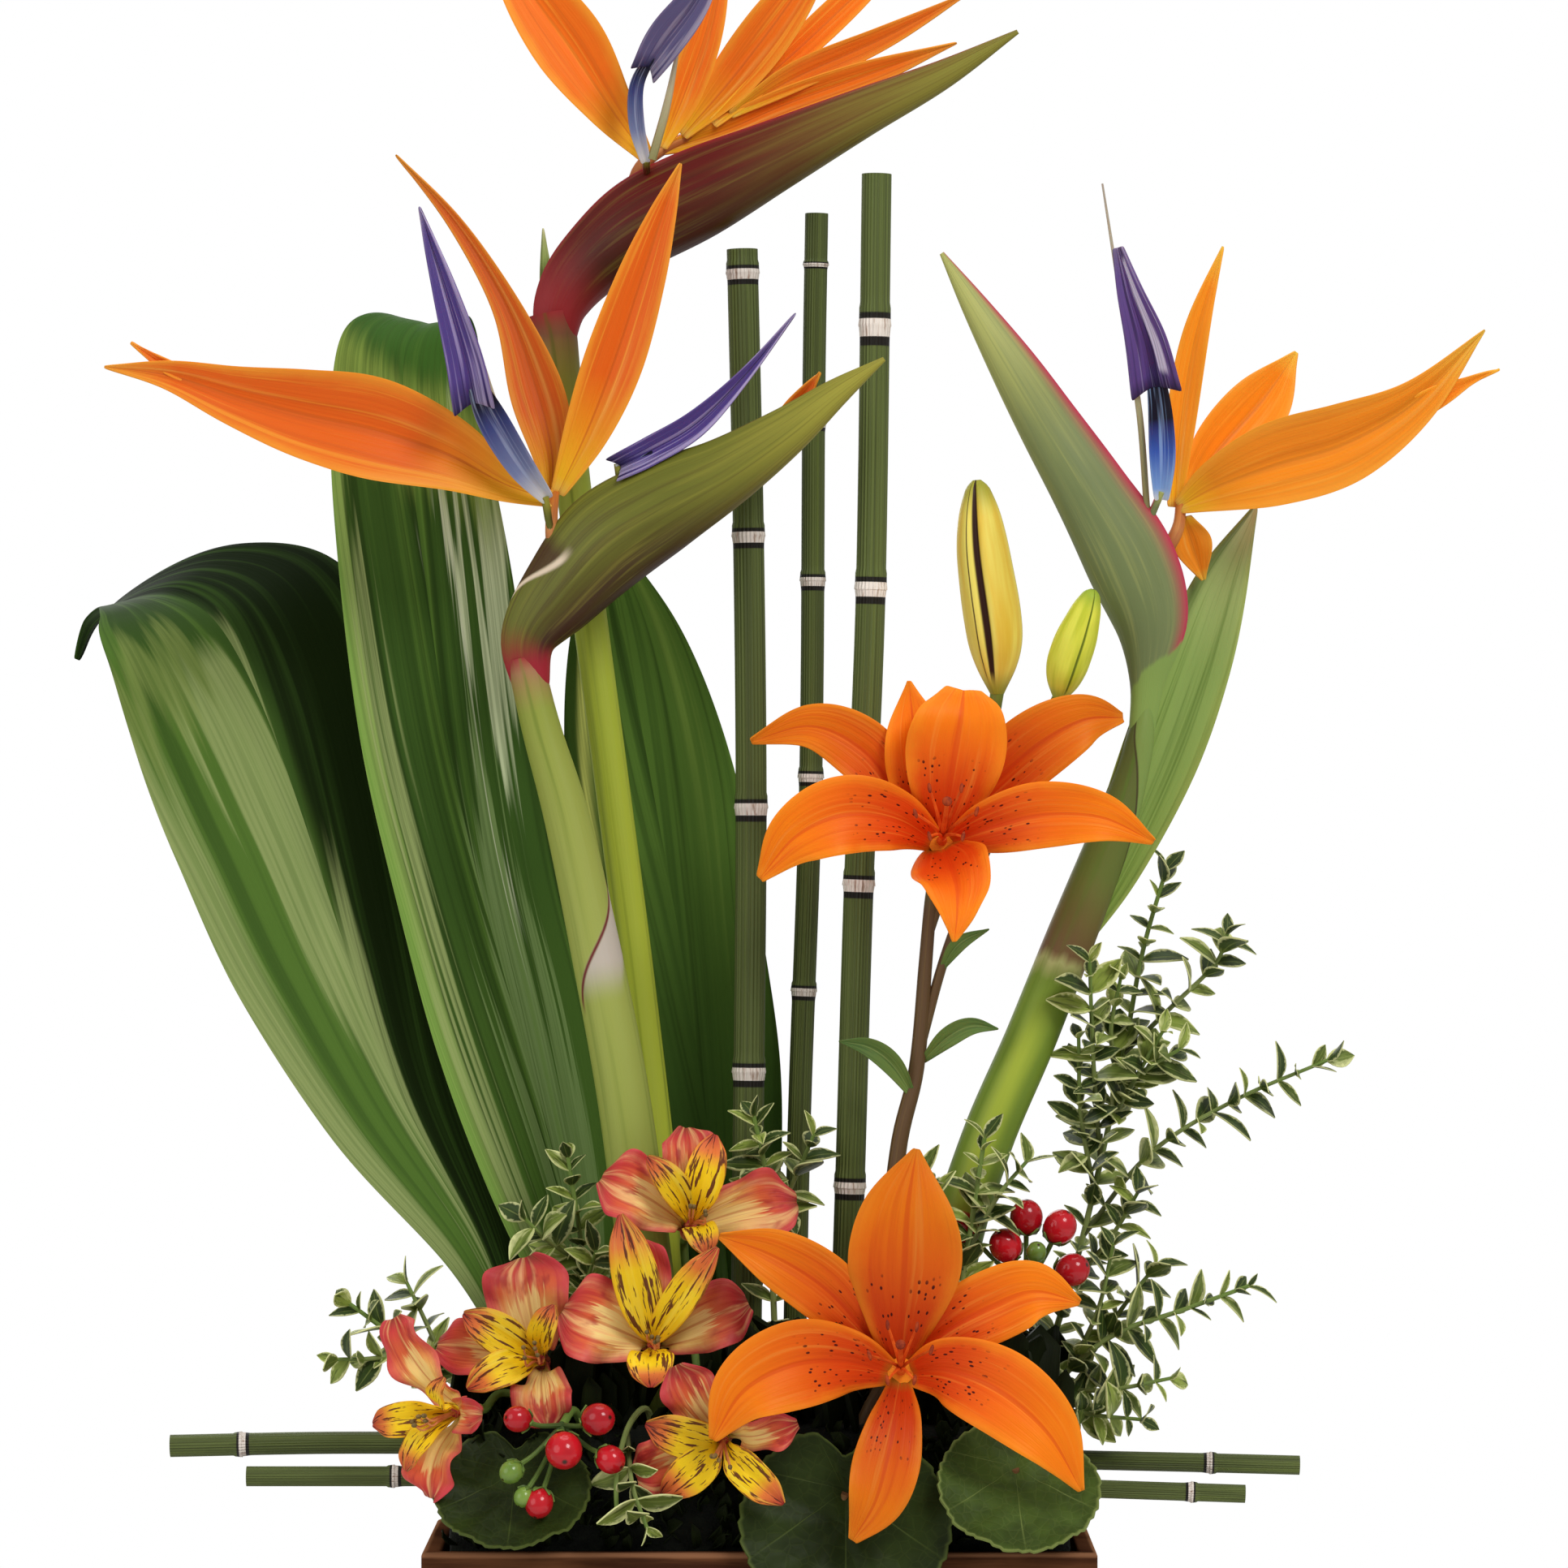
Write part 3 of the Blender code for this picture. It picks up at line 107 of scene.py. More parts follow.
class LeafSettings(PropertyGroup):
    thickness: length_setting("Thickness", "Thickness of a leaf", 0.8 * MM)
    ti_dark: colour_setting("Ti leaf, dark", "Deep green of the ti leaves", 58, 86, 32)
    ti_light: colour_setting("Ti leaf, light", "Lighter green between their veins", 104, 140, 56)
    # The pale bands are painted sheen on the glossy leaves.
    ti_pale_sheen: colour_setting("Ti leaf, pale", "Pale bands on the ti leaves", 156, 170, 106)
    galax: colour_setting("Galax", "Green of the round leaves", 50, 64, 22)
    galax_edge: colour_setting("Galax edge", "Paler edge of the round leaves", 122, 138, 66)
    box_green: colour_setting("Box green", "Middle of the small leaves", 58, 78, 30)
    box_cream: colour_setting("Box cream", "Margin of the small leaves", 224, 226, 158)
    spacing: length_setting("Leaf spacing", "Distance between pairs of small leaves", 6.0 * MM)
    leaf_length: length_setting("Leaf length", "Length of a small leaf", 13.6 * MM)


class FlowerSettings(PropertyGroup):
    thickness: length_setting("Thickness", "Thickness of a petal", 0.8 * MM)
    bird_orange: colour_setting("Bird orange", "Sepals of the bird of paradise", 238, 116, 18)
    bird_yellow: colour_setting("Bird yellow", "Foot of each of those sepals", 246, 186, 30)
    violet: colour_setting("Violet", "Tongues of the bird of paradise", 84, 66, 134)
    # Lilac is the painted sheen on the tongues.
    lilac: colour_setting("Lilac", "Light streaks on the tongues", 196, 180, 218)
    lily: colour_setting("Lily", "Orange of the lilies", 248, 124, 10)
    lily_throat: colour_setting("Lily throat", "Deeper orange near a lily's throat", 214, 62, 10)
    freckle: colour_setting("Freckles", "Dots near a lily's throat", 76, 18, 10)
    coral: colour_setting("Coral", "Outer petals of the alstroemeria", 226, 104, 56)
    pink: colour_setting("Pink", "Edges of those petals", 208, 66, 74)
    yellow: colour_setting("Yellow", "Inner petals of the alstroemeria", 250, 204, 16)
    streak: colour_setting("Streaks", "Dark streaks on the inner petals", 92, 32, 18)
    berry: colour_setting("Berries", "Ripe berries", 200, 24, 36)


class StemSettings(PropertyGroup):
    horsetail: colour_setting("Horsetail", "Green of the jointed stems", 102, 114, 58)
    band: colour_setting("Band", "Pale band at a joint", 250, 238, 226)
    ring: colour_setting("Ring", "Dark ring at a joint", 30, 26, 20)
    bird_green: colour_setting("Bird green", "Stems of the bird of paradise", 134, 150, 48)
    beak_red: colour_setting("Beak red", "Red flush of the beaks", 164, 38, 50)
    beak_olive: colour_setting("Beak olive", "Olive green of the beaks", 112, 114, 38)
    lily_brown: colour_setting("Lily stem", "Brownish purple of the lily stems", 100, 74, 46)
    thin_green: colour_setting("Thin stems", "Green of the thin stems and twigs", 112, 140, 62)
    ribs: IntProperty(name="Ribs", description="Ridges round a horsetail stem", default=26, min=3, max=60)


class StageSettings(PropertyGroup):
    floor_radius: length_setting("Floor radius", "Radius of the pale floor", 0.72)
    key: FloatProperty(name="Key light", description="Power of the main light", default=31.0, unit="POWER")
    fill: FloatProperty(name="Fill light", description="Power of the fill light", default=10.0, unit="POWER")
    ambient: FloatProperty(name="Ambient", description="Strength of the light from all round", default=0.4)


# Lines through points

def vectors(points):
    return [Vector(point) for point in points]


def along(values, share):
    """The value at a share, from 0 to 1, of a smooth line through evenly spaced values."""
    last = len(values) - 1
    place = min(max(share, 0.0), 1.0) * last
    index = min(int(place), last - 1)
    step = place - index
    b, c = values[index], values[index + 1]
    a = values[index - 1] if index > 0 else b * 2 - c
    d = values[index + 2] if index + 2 <= last else c * 2 - b
    bend = (a * 2 - b * 5 + c * 4 - d) * step**2 + (b * 3 - a - c * 3 + d) * step**3
    return (b * 2 + (c - a) * step + bend) * 0.5


def straight_along(points, share):
    """The place at a share of the way through straight pieces between evenly counted points."""
    place = min(max(share, 0.0), 1.0) * (len(points) - 1)
    index = min(int(place), len(points) - 2)
    return points[index].lerp(points[index + 1], place - index)


def nearest_on(points, place):
    tries = [straight_along(points, i / 200) for i in range(201)]
    return min(tries, key=lambda point: (point - place).length)


def length_of(points):
    return sum((b - a).length for a, b in zip(points, points[1:]))


def frames(points):
    """Tangent and two cross directions at each point, carried along without twist."""
    tangents = []
    for i in range(len(points)):
        ahead = points[min(i + 1, len(points) - 1)]
        behind = points[max(i - 1, 0)]
        tangents.append((ahead - behind).normalized())
    side = tangents[0].cross(Vector((0.0, 1.0, 0.03))).normalized()
    result = []
    for tangent in tangents:
        side = (side - tangent * side.dot(tangent)).normalized()
        result.append((tangent, side, tangent.cross(side)))
    return result


# Making and finishing pieces

def only(thing):
    bpy.ops.object.select_all(action="DESELECT")
    thing.select_set(True)
    bpy.context.view_layer.objects.active = thing


def apply(thing, kind, **settings):
    """Adds a modifier with its settings and applies it."""
    only(thing)
    added = thing.modifiers.new(kind.lower(), kind)
    for key, value in settings.items():
        setattr(added, key, value)
    bpy.ops.object.modifier_apply(modifier=added.name)


def smooth_over(thing, levels):
    if levels:
        apply(thing, "SUBSURF", levels=levels, render_levels=levels)


def mark(thing, name, values):
    """Keeps one number for each point of the mesh, for its material to read."""
    layer = thing.data.attributes.new(name, "FLOAT", "POINT")
    layer.data.foreach_set("value", values)


def sheet(columns, rows):
    """A flat square sheet. Its UV map runs across it and along it."""
    bpy.ops.object.select_all(action="DESELECT")
    bpy.ops.mesh.primitive_grid_add(x_subdivisions=columns, y_subdivisions=rows, size=2.0)
    return bpy.context.object


def shape(thing, place_at, tone, paint):
    """Moves each point of a sheet to its place in millimetres, and gives it a tone and a material."""
    for vert in thing.data.vertices:
        vert.co = place_at(vert.co.x, (vert.co.y + 1) / 2) * MM
    mark(thing, "tone", [tone] * len(thing.data.vertices))
    thing.data.materials.append(paint)
    return thing


def close_round(thing):
    """Joins the sheet's long edges into a tube and closes its ends."""
    only(thing)
    bpy.ops.object.mode_set(mode="EDIT")
    bpy.ops.mesh.select_all(action="SELECT")
    bpy.ops.mesh.remove_doubles(threshold=1e-6)
    bpy.ops.mesh.fill_holes(sides=0)
    bpy.ops.mesh.normals_make_consistent(inside=False)
    bpy.ops.object.mode_set(mode="OBJECT")
    return thing


def blade(spine, half_widths, paint, face=(VIEWER,), rows=24, columns=8, cup=0.2, thick=0.8,
          groove=0.0, ruffle=0.0, waves=4, barb=0.0, tone=0.5, levels=1):
    """A thin petal or leaf along a spine. It faces the way that face says, and its edges rise by cup."""
    spine = vectors(spine)
    face = vectors(face) if len(face) > 1 else vectors(face) * 2
    widths = [float(width) for width in half_widths]
    step = 0.5 / rows

    def place_at(across, share):
        ahead, behind = min(share + step, 1.0), max(share - step, 0.0)
        tangent = (along(spine, ahead) - along(spine, behind)).normalized()
        side = tangent.cross(along(face, share)).normalized()
        normal = side.cross(tangent)
        width = max(along(widths, share), 0.12)
        lift = cup * abs(across) ** 1.5 * width
        lift -= groove * width * math.exp(-((across / 0.14) ** 2))
        lift += ruffle * across**2 * math.sin(math.tau * (waves * share + tone) + 2 * across)
        back = barb * abs(across) ** 1.3 * max(1 - share * 3, 0)
        return along(spine, share) + side * across * width + normal * lift - tangent * back

    thing = shape(sheet(columns, rows), place_at, tone, paint)
    apply(thing, "SOLIDIFY", thickness=thick * MM, offset=0.0)
    smooth_over(thing, levels)
    return thing


def rings(points, radii, paint, sides=14, tone=0.5, ways=None):
    """A closed round stem through the points, with a radius at each."""
    ways = ways or frames(points)
    last = len(points) - 1

    def place_at(across, share):
        index = round(share * last)
        _, side, other = ways[index]
        angle = (across + 1) * math.pi
        return points[index] + (side * math.cos(angle) + other * math.sin(angle)) * radii[index]

    return close_round(shape(sheet(sides, last), place_at, tone, paint))


def tube(path, radii, paint, sides=14, steps=None, tone=0.5):
    path = vectors(path)
    steps = steps or 6 * (len(path) - 1)
    shares = [i / steps for i in range(steps + 1)]
    sizes = [along([float(radius) for radius in radii], share) for share in shares]
    return rings([along(path, share) for share in shares], sizes, paint, sides, tone)


def ball(centre, radius, paint, squash=1.0, way=UP, segments=20, ring_count=14, tone=0.5):
    """A round berry or bead, drawn out along a direction by squash."""
    bpy.ops.object.select_all(action="DESELECT")
    bpy.ops.mesh.primitive_uv_sphere_add(segments=segments, ring_count=ring_count, radius=radius * MM)
    thing = bpy.context.object
    turn = UP.rotation_difference(Vector(way).normalized()).to_matrix().to_4x4()
    move = Matrix.Translation(Vector(centre) * MM)
    thing.data.transform(move @ turn @ Matrix.Diagonal((1.0, 1.0, squash, 1.0)))
    mark(thing, "tone", [tone] * len(thing.data.vertices))
    thing.data.materials.append(paint)
    return thing


def fit(name, parts, slot, *nodes, sharp=40.0):
    """Joins the parts to one piece that rides on the root and stands for its solids."""
    bpy.ops.object.select_all(action="DESELECT")
    for part in parts:
        part.select_set(True)
    piece = parts[0]
    bpy.context.view_layer.objects.active = piece
    if len(parts) > 1:
        bpy.ops.object.join()
    piece.name = piece.data.name = name
    bpy.ops.object.shade_smooth_by_angle(angle=math.radians(sharp))
    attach(piece, "root")
    if nodes:
        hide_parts(*nodes)
    return piece


# Materials

class Paint:
    """One material. Each call adds a node and gives back its output."""

    def __init__(self, name, roughness=0.5, coat=0.0, subsurface=0.0, specular=0.25, slant=0.0):
        self.material = bpy.data.materials.new(name)
        self.material.use_nodes = True
        self.tree = self.material.node_tree
        self.shader = self.tree.nodes["Principled BSDF"]
        for socket, value in (
            ("Roughness", roughness), ("Coat Weight", coat), ("Coat Roughness", 0.08),
            ("Subsurface Weight", subsurface), ("Subsurface Scale", 0.004), ("Specular IOR Level", specular),
        ):
            self.shader.inputs[socket].default_value = value
        parts = self.add("SeparateXYZ", {0: self.add("UVMap", uv_map="UVMap").outputs[0]})
        self.across, self.length = parts.outputs[0], parts.outputs[1]
        self.tone = self.read("tone")
        self.from_rib = self.calc("MULTIPLY", self.calc("ABSOLUTE", self.calc("SUBTRACT", self.across, 0.5)), 2.0)
        self.grain, self.slanted = self.across, slant > 0
        if slant:
            self.grain = self.calc("MULTIPLY_ADD", self.from_rib, 0.5, self.calc("MULTIPLY", self.length, -slant / 2))

    def add(self, kind, inputs=None, **settings):
        node = self.tree.nodes.new("ShaderNode" + kind)
        for name, value in settings.items():
            setattr(node, name, value)
        for key, value in (inputs or {}).items():
            if isinstance(value, bpy.types.NodeSocket):
                self.tree.links.new(value, node.inputs[key])
            else:
                node.inputs[key].default_value = value
        return node

    def read(self, name):
        return self.add("Attribute", attribute_name=name).outputs["Fac"]

    def calc(self, operation, first, second=0.0, third=0.0):
        return self.add("Math", {0: first, 1: second, 2: third}, operation=operation).outputs[0]

    def fade(self, value, low, high, start=0.0, end=1.0):
        node = self.add("MapRange", {0: value, 1: low, 2: high, 3: start, 4: end}, interpolation_type="SMOOTHSTEP")
        return node.outputs[0]

    def between(self, value, low, high, soft):
        """1 where the value lies between two limits, and 0 beyond them."""
        rise = self.fade(value, low - soft, low + soft)
        fall = self.fade(value, high - soft, high + soft, 1.0, 0.0)
        return self.calc("MULTIPLY", rise, fall)

    def blend(self, share, low, high, mode="MIX"):
        inputs = {0: share}
        for key, value in ((6, low), (7, high)):
            inputs[key] = value if isinstance(value, bpy.types.NodeSocket) else (*value, 1.0)
        return self.add("Mix", inputs, data_type="RGBA", blend_type=mode).outputs[2]

    def ramp(self, value, stops):
        node = self.add("ValToRGB", {0: value})
        elements = node.color_ramp.elements
        while len(elements) < len(stops):
            elements.new(0.5)
        for element, (place, colour) in zip(elements, stops):
            element.position = place
            element.color = (*colour, 1.0)
        return node.outputs[0]

    def noise(self, vector, scale=1.0, detail=3.0, roughness=0.55):
        inputs = {"Vector": vector, "Scale": scale, "Detail": detail, "Roughness": roughness}
        return self.add("TexNoise", inputs).outputs[0]

    def sheet_vector(self, across_count, along_count, seed=0.0):
        across = self.calc("MULTIPLY", self.grain, across_count)
        length = self.calc("MULTIPLY", self.length, along_count)
        halves = self.calc("MULTIPLY_ADD", self.calc("GREATER_THAN", self.across, 0.5), 2.7 * self.slanted, seed)
        depth = self.calc("MULTIPLY_ADD", self.tone, 7.3, halves)
        return self.add("CombineXYZ", {0: across, 1: length, 2: depth}).outputs[0]

    def lines(self, across_count, along_count, low, high, seed=0.0):
        """Streaks that follow the sheet's length."""
        return self.fade(self.noise(self.sheet_vector(across_count, along_count, seed)), low, high)

    def patch(self, low, high, start, end, ragged, tilt=0.0, seed=0.0):
        """1 on a torn band along the sheet. Low and high are its two edges across, each at its start and its end."""
        torn = self.noise(self.sheet_vector(16.0, 1.6, seed))
        torn = self.calc("MULTIPLY_ADD", torn, 2 * ragged, -ragged)
        place = self.calc("MULTIPLY_ADD", self.across, tilt, self.calc("SUBTRACT", self.length, tilt / 2))
        share = self.add("MapRange", {0: place, 1: start, 2: end}).outputs[0]
        band = self.between(self.calc("MULTIPLY_ADD", torn, 0.6, place), start, end, 0.03)
        for (foot, tip), first, last in ((low, 0.0, 1.0), (high, 1.0, 0.0)):
            line = self.calc("MULTIPLY_ADD", share, tip - foot, foot)
            beside = self.calc("ADD", self.calc("SUBTRACT", self.across, line), torn)
            band = self.calc("MULTIPLY", band, self.fade(beside, -0.03, 0.03, first, last))
        return band

    def object_vector(self, x, y, z):
        place = self.add("TexCoord").outputs["Object"]
        return self.add("VectorMath", {0: place, 1: (x, y, z)}, operation="MULTIPLY").outputs[0]

    def bump(self, height, distance, strength=1.0):
        inputs = {"Height": height, "Distance": distance * MM, "Strength": strength}
        return self.add("Bump", inputs).outputs["Normal"]

    def done(self, colour, normal=None, roughness=None, toned=True):
        if toned:
            bright = self.fade(self.tone, 0.0, 1.0, 0.86, 1.14)
            colour = self.add("HueSaturation", {"Value": bright, "Color": colour}).outputs[0]
        self.tree.links.new(colour, self.shader.inputs["Base Color"])
        if normal:
            self.tree.links.new(normal, self.shader.inputs["Normal"])
        if roughness:
            self.tree.links.new(roughness, self.shader.inputs["Roughness"])
        return self.material


def petal_paint(name, length_stops, side=None, streaks=(), patches=(), edge=None, rib=None, spots=None,
                veins=(34.0, 2.0, 0.25), roughness=0.5, subsurface=0.12, specular=0.25, slant=0.0,
                wander=0.3, varied=None):
    """A petal or leaf: colours from foot to tip, then streaks, patches, edge, midrib and spots over them.

    A streak may have limits across the sheet and along it. A slant makes streaks run out from the midrib.
    Varied is the shade that pieces with a high tone take on.
    """
    paint = Paint(name, roughness, 0.0, subsurface, specular, slant)
    colour = paint.ramp(paint.length, length_stops)
    if varied:
        colour = paint.blend(paint.fade(paint.tone, 0.35, 0.95), colour, varied)
    if side:
        shade, low, high, strength = side
        colour = paint.blend(paint.fade(paint.across, low, high, 0.0, strength), colour, shade)
    for seed, (shade, across_count, along_count, low, high, strength, *limits) in enumerate(streaks):
        share = paint.calc("MULTIPLY", paint.lines(across_count, along_count, low, high, seed * 3.7), strength)
        for place, (start, end) in zip((paint.across, paint.length), limits):
            share = paint.calc("MULTIPLY", share, paint.between(place, start, end, 0.06))
        colour = paint.blend(share, colour, shade)
    for seed, (shade, strength, *band) in enumerate(patches):
        fine = paint.fade(paint.noise(paint.sheet_vector(70.0, 2.0, seed)), 0.36, 0.6, 0.62 * strength, strength)
        colour = paint.blend(paint.calc("MULTIPLY", paint.patch(*band, seed=seed * 2.3), fine), colour, shade)
    if edge:
        shade, low, high, strength = edge
        uneven = paint.calc("MULTIPLY_ADD", paint.noise(paint.sheet_vector(4.0, 9.0, 5.0)), wander, -wander / 2)
        colour = paint.blend(
            paint.fade(paint.calc("ADD", paint.from_rib, uneven), low, high, 0.0, strength), colour, shade
        )
    if rib:
        shade, width, strength = rib
        colour = paint.blend(paint.fade(paint.from_rib, width * 0.4, width, strength, 0.0), colour, shade)
    if spots:
        shade, across_count, along_count, size, low, high = spots
        dots = paint.add("TexVoronoi", {"Vector": paint.sheet_vector(across_count, along_count, 1.0), "Scale": 1.0})
        share = paint.fade(dots.outputs["Distance"], size * 0.7, size, 1.0, 0.0)
        share = paint.calc("MULTIPLY", share, paint.between(paint.length, low, high, 0.04))
        share = paint.calc("MULTIPLY", share, paint.fade(paint.from_rib, 0.62, 0.82, 1.0, 0.0))
        share = paint.calc("MULTIPLY", share, paint.fade(paint.from_rib, 0.1, 0.2))
        colour = paint.blend(share, colour, shade)
    across_count, along_count, distance = veins
    height = paint.noise(paint.sheet_vector(across_count, along_count, 11.0))
    return paint.done(colour, paint.bump(height, distance, 0.6))


def plain_paint(name, colour, other, scale, distance, roughness=0.6, specular=0.25):
    """Two colours mixed by a soft pattern, with a bump of the same pattern."""
    paint = Paint(name, roughness, specular=specular)
    pattern = paint.noise(paint.object_vector(scale, scale, scale), detail=5.0)
    mixed = paint.blend(paint.fade(pattern, 0.35, 0.65), colour, other)
    return paint.done(mixed, paint.bump(pattern, distance, 0.7))


# Wooden box, its liner and its foam
WORN = 0.9 * MM

def wood_paint(settings):
    """Dark stained wood, its grain level on all four boards. The outer edge of the rim is pale, partly as worn wood and
    partly as a painted highlight.
    """
    paint = Paint("stained wood", specular=0.0)
    place = paint.add("SeparateXYZ", {0: paint.add("TexCoord").outputs["Object"]}).outputs
    round_the_box = paint.calc("ADD", place[0], place[1])

    def board(along, up):
        return paint.add("CombineXYZ", {0: paint.calc("MULTIPLY", round_the_box, along),
                                        2: paint.calc("MULTIPLY", place[2], up)}).outputs[0]

    grain = paint.noise(board(9.0, 130.0), detail=6.0, roughness=0.62)
    pores = paint.noise(board(40.0, 700.0), detail=2.0)
    colour = paint.blend(paint.fade(grain, 0.38, 0.62), tuple(settings.dark_grain), tuple(settings.wood))
    colour = paint.blend(paint.fade(pores, 0.58, 0.72, 0.0, 0.5), colour, tuple(settings.dark_grain))
    wander = paint.calc("MULTIPLY_ADD", grain, 0.0024, -0.0012)

    def near_edge(axis, level):
        return paint.fade(paint.calc("ADD", paint.calc("ABSOLUTE", place[axis]), wander), level - 0.0012, level)

    # The pale rim edge is partly wear and partly a painted highlight.
    sides = paint.calc("MAXIMUM", near_edge(0, settings.width / 2 - WORN), near_edge(1, settings.depth / 2 - WORN))
    worn = paint.calc("MULTIPLY", sides, near_edge(2, settings.height - WORN))
    colour = paint.blend(paint.calc("MULTIPLY", worn, 0.8), colour, tuple(settings.rim))
    tall = paint.add("Math", {0: grain, 1: pores}, operation="ADD").outputs[0]
    return paint.done(colour, paint.bump(tall, 0.25, 0.5), paint.fade(grain, 0.3, 0.7, 0.4, 0.55), toned=False)


def faces_up(mesh_object, level):
    """Selects the faces that look up at a level."""
    for face in mesh_object.data.polygons:
        face.select = face.normal.z > 0.9 and abs(face.center.z - level) < 1e-5


def wooden_box(settings):
    bpy.ops.object.select_all(action="DESELECT")
    bpy.ops.mesh.primitive_cube_add(size=1.0)
    box = bpy.context.object
    box.data.transform(Matrix.Translation((0.0, 0.0, settings.height / 2)) @ Matrix.Diagonal(
        (settings.width, settings.depth, settings.height, 1.0)))
    only(box)
    bpy.ops.object.mode_set(mode="EDIT")
    bpy.ops.mesh.select_all(action="DESELECT")
    bpy.ops.object.mode_set(mode="OBJECT")
    faces_up(box, settings.height)
    bpy.ops.object.mode_set(mode="EDIT")
    bpy.ops.mesh.select_mode(type="FACE")
    bpy.ops.mesh.inset(thickness=settings.wall)
    bpy.ops.mesh.extrude_region_move(
        TRANSFORM_OT_translate={"value": (0.0, 0.0, settings.wall - settings.height)}
    )
    bpy.ops.object.mode_set(mode="OBJECT")
    apply(box, "BEVEL", width=1.2 * MM, segments=3, limit_method="ANGLE", angle_limit=math.radians(40))
    mark(box, "tone", [0.5] * len(box.data.vertices))
    box.data.materials.append(wood_paint(settings))
    return fit("stained_wooden_box", [box], "box_wood", "wooden_box", sharp=30.0)


def foam_paint(settings):
    # The foam's near-black green is painted shade for the gaps between the leaves.
    paint = Paint("wet foam", roughness=0.9)
    coarse = paint.noise(paint.object_vector(140.0, 140.0, 140.0), detail=4.0)
    fine = paint.add("TexVoronoi", {"Vector": paint.object_vector(1.0, 1.0, 1.0), "Scale": 900.0}).outputs["Distance"]
    dark = tuple(value * 0.35 for value in settings.foam)
    colour = paint.blend(paint.fade(coarse, 0.35, 0.7), dark, tuple(settings.foam))
    height = paint.calc("ADD", coarse, paint.calc("MULTIPLY", fine, 0.5))
    return paint.done(colour, paint.bump(height, 0.9, 0.8), toned=False)


def moss(settings, count, tree):
    """Short dark blades of moss on the top and the upper sides of the foam, clear of every stem. Their near-black
    green, darkest at the foot, is painted shade.
    """
    chance = random.Random(8)
    paint = petal_paint("moss", ((0.0, tuple(settings.foam)), (0.5, tuple(settings.moss)), (1.0, tuple(settings.moss))),
                        streaks=((tuple(settings.foam), 3.0, 2.0, 0.4, 0.7, 0.7),), subsurface=0.0, specular=0.05)
    spine = [(0, 0, 0), (0, 400, 60), (0, 800, 0), (0, 1000, -120)]
    model = blade(spine, [40, 190, 170, 12], paint, (UP,), rows=3, columns=2, cup=0.4, thick=50.0, levels=0)
    low, high = FOAM_LOW / MM, FOAM_HIGH / MM
    blades = []
    while len(blades) < count:
        x, y = chance.uniform(low.x + 3, high.x - 3), chance.uniform(low.y + 3, high.y - 3)
        place = Vector((x, y, high.z - 1.5))
        away = Vector((0, 0, 1))
        if chance.random() < 0.45:
            place.y = low.y + 1.5 if chance.random() < 0.8 else high.y - 1.5
            place.z = chance.uniform(BOX_HIGH.z / MM, high.z - 2)
            away = Vector((0, math.copysign(1, place.y), 0.5))
        way = (away + Vector((chance.uniform(-1, 1), chance.uniform(-1, 1), chance.uniform(0, 0.5)))).normalized()
        face = (way.cross(Vector((chance.uniform(-1, 1), chance.uniform(-1, 1), 0.3)))).normalized()
        length = chance.uniform(5.0, 11.0)
        if away.y == 0 and chance.random() < 0.45:
            way = (UP * 2.4 + way).normalized()
            length = chance.uniform(14.0, 38.0)
        if leaf_tree(place, way, face, length).overlap(tree) or inside(tree, place + way * length):
            continue
        blades.append(copy_leaf(model, place, way, face, length * MM, chance.uniform(0.8, 1.2), chance.random()))
    bpy.data.objects.remove(model)
    return blades


def foam_block(settings):
    bpy.ops.object.select_all(action="DESELECT")
    bpy.ops.mesh.primitive_cube_add(size=1.0)
    foam = bpy.context.object
    size, centre = FOAM_HIGH - FOAM_LOW, (FOAM_HIGH + FOAM_LOW) / 2
    foam.data.transform(Matrix.Translation(centre) @ Matrix.Diagonal((*size, 1.0)))
    apply(foam, "BEVEL", width=9.0 * MM, segments=4, limit_method="ANGLE")
    apply(foam, "REMESH", mode="VOXEL", voxel_size=2.4 * MM)
    chance = random.Random(3)
    for vert in foam.data.vertices:
        if vert.co.z > BOX_HIGH.z - 0.012:
            vert.co -= vert.normal * chance.uniform(0.0, 0.9) * MM
    mark(foam, "tone", [0.5] * len(foam.data.vertices))
    foam.data.materials.append(foam_paint(settings))
    tree = joined_tree(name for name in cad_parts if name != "foam_block")
    return fit("wet_foam", [foam, *moss(settings, settings.tufts, tree)], "foam", "foam_block", sharp=60.0)


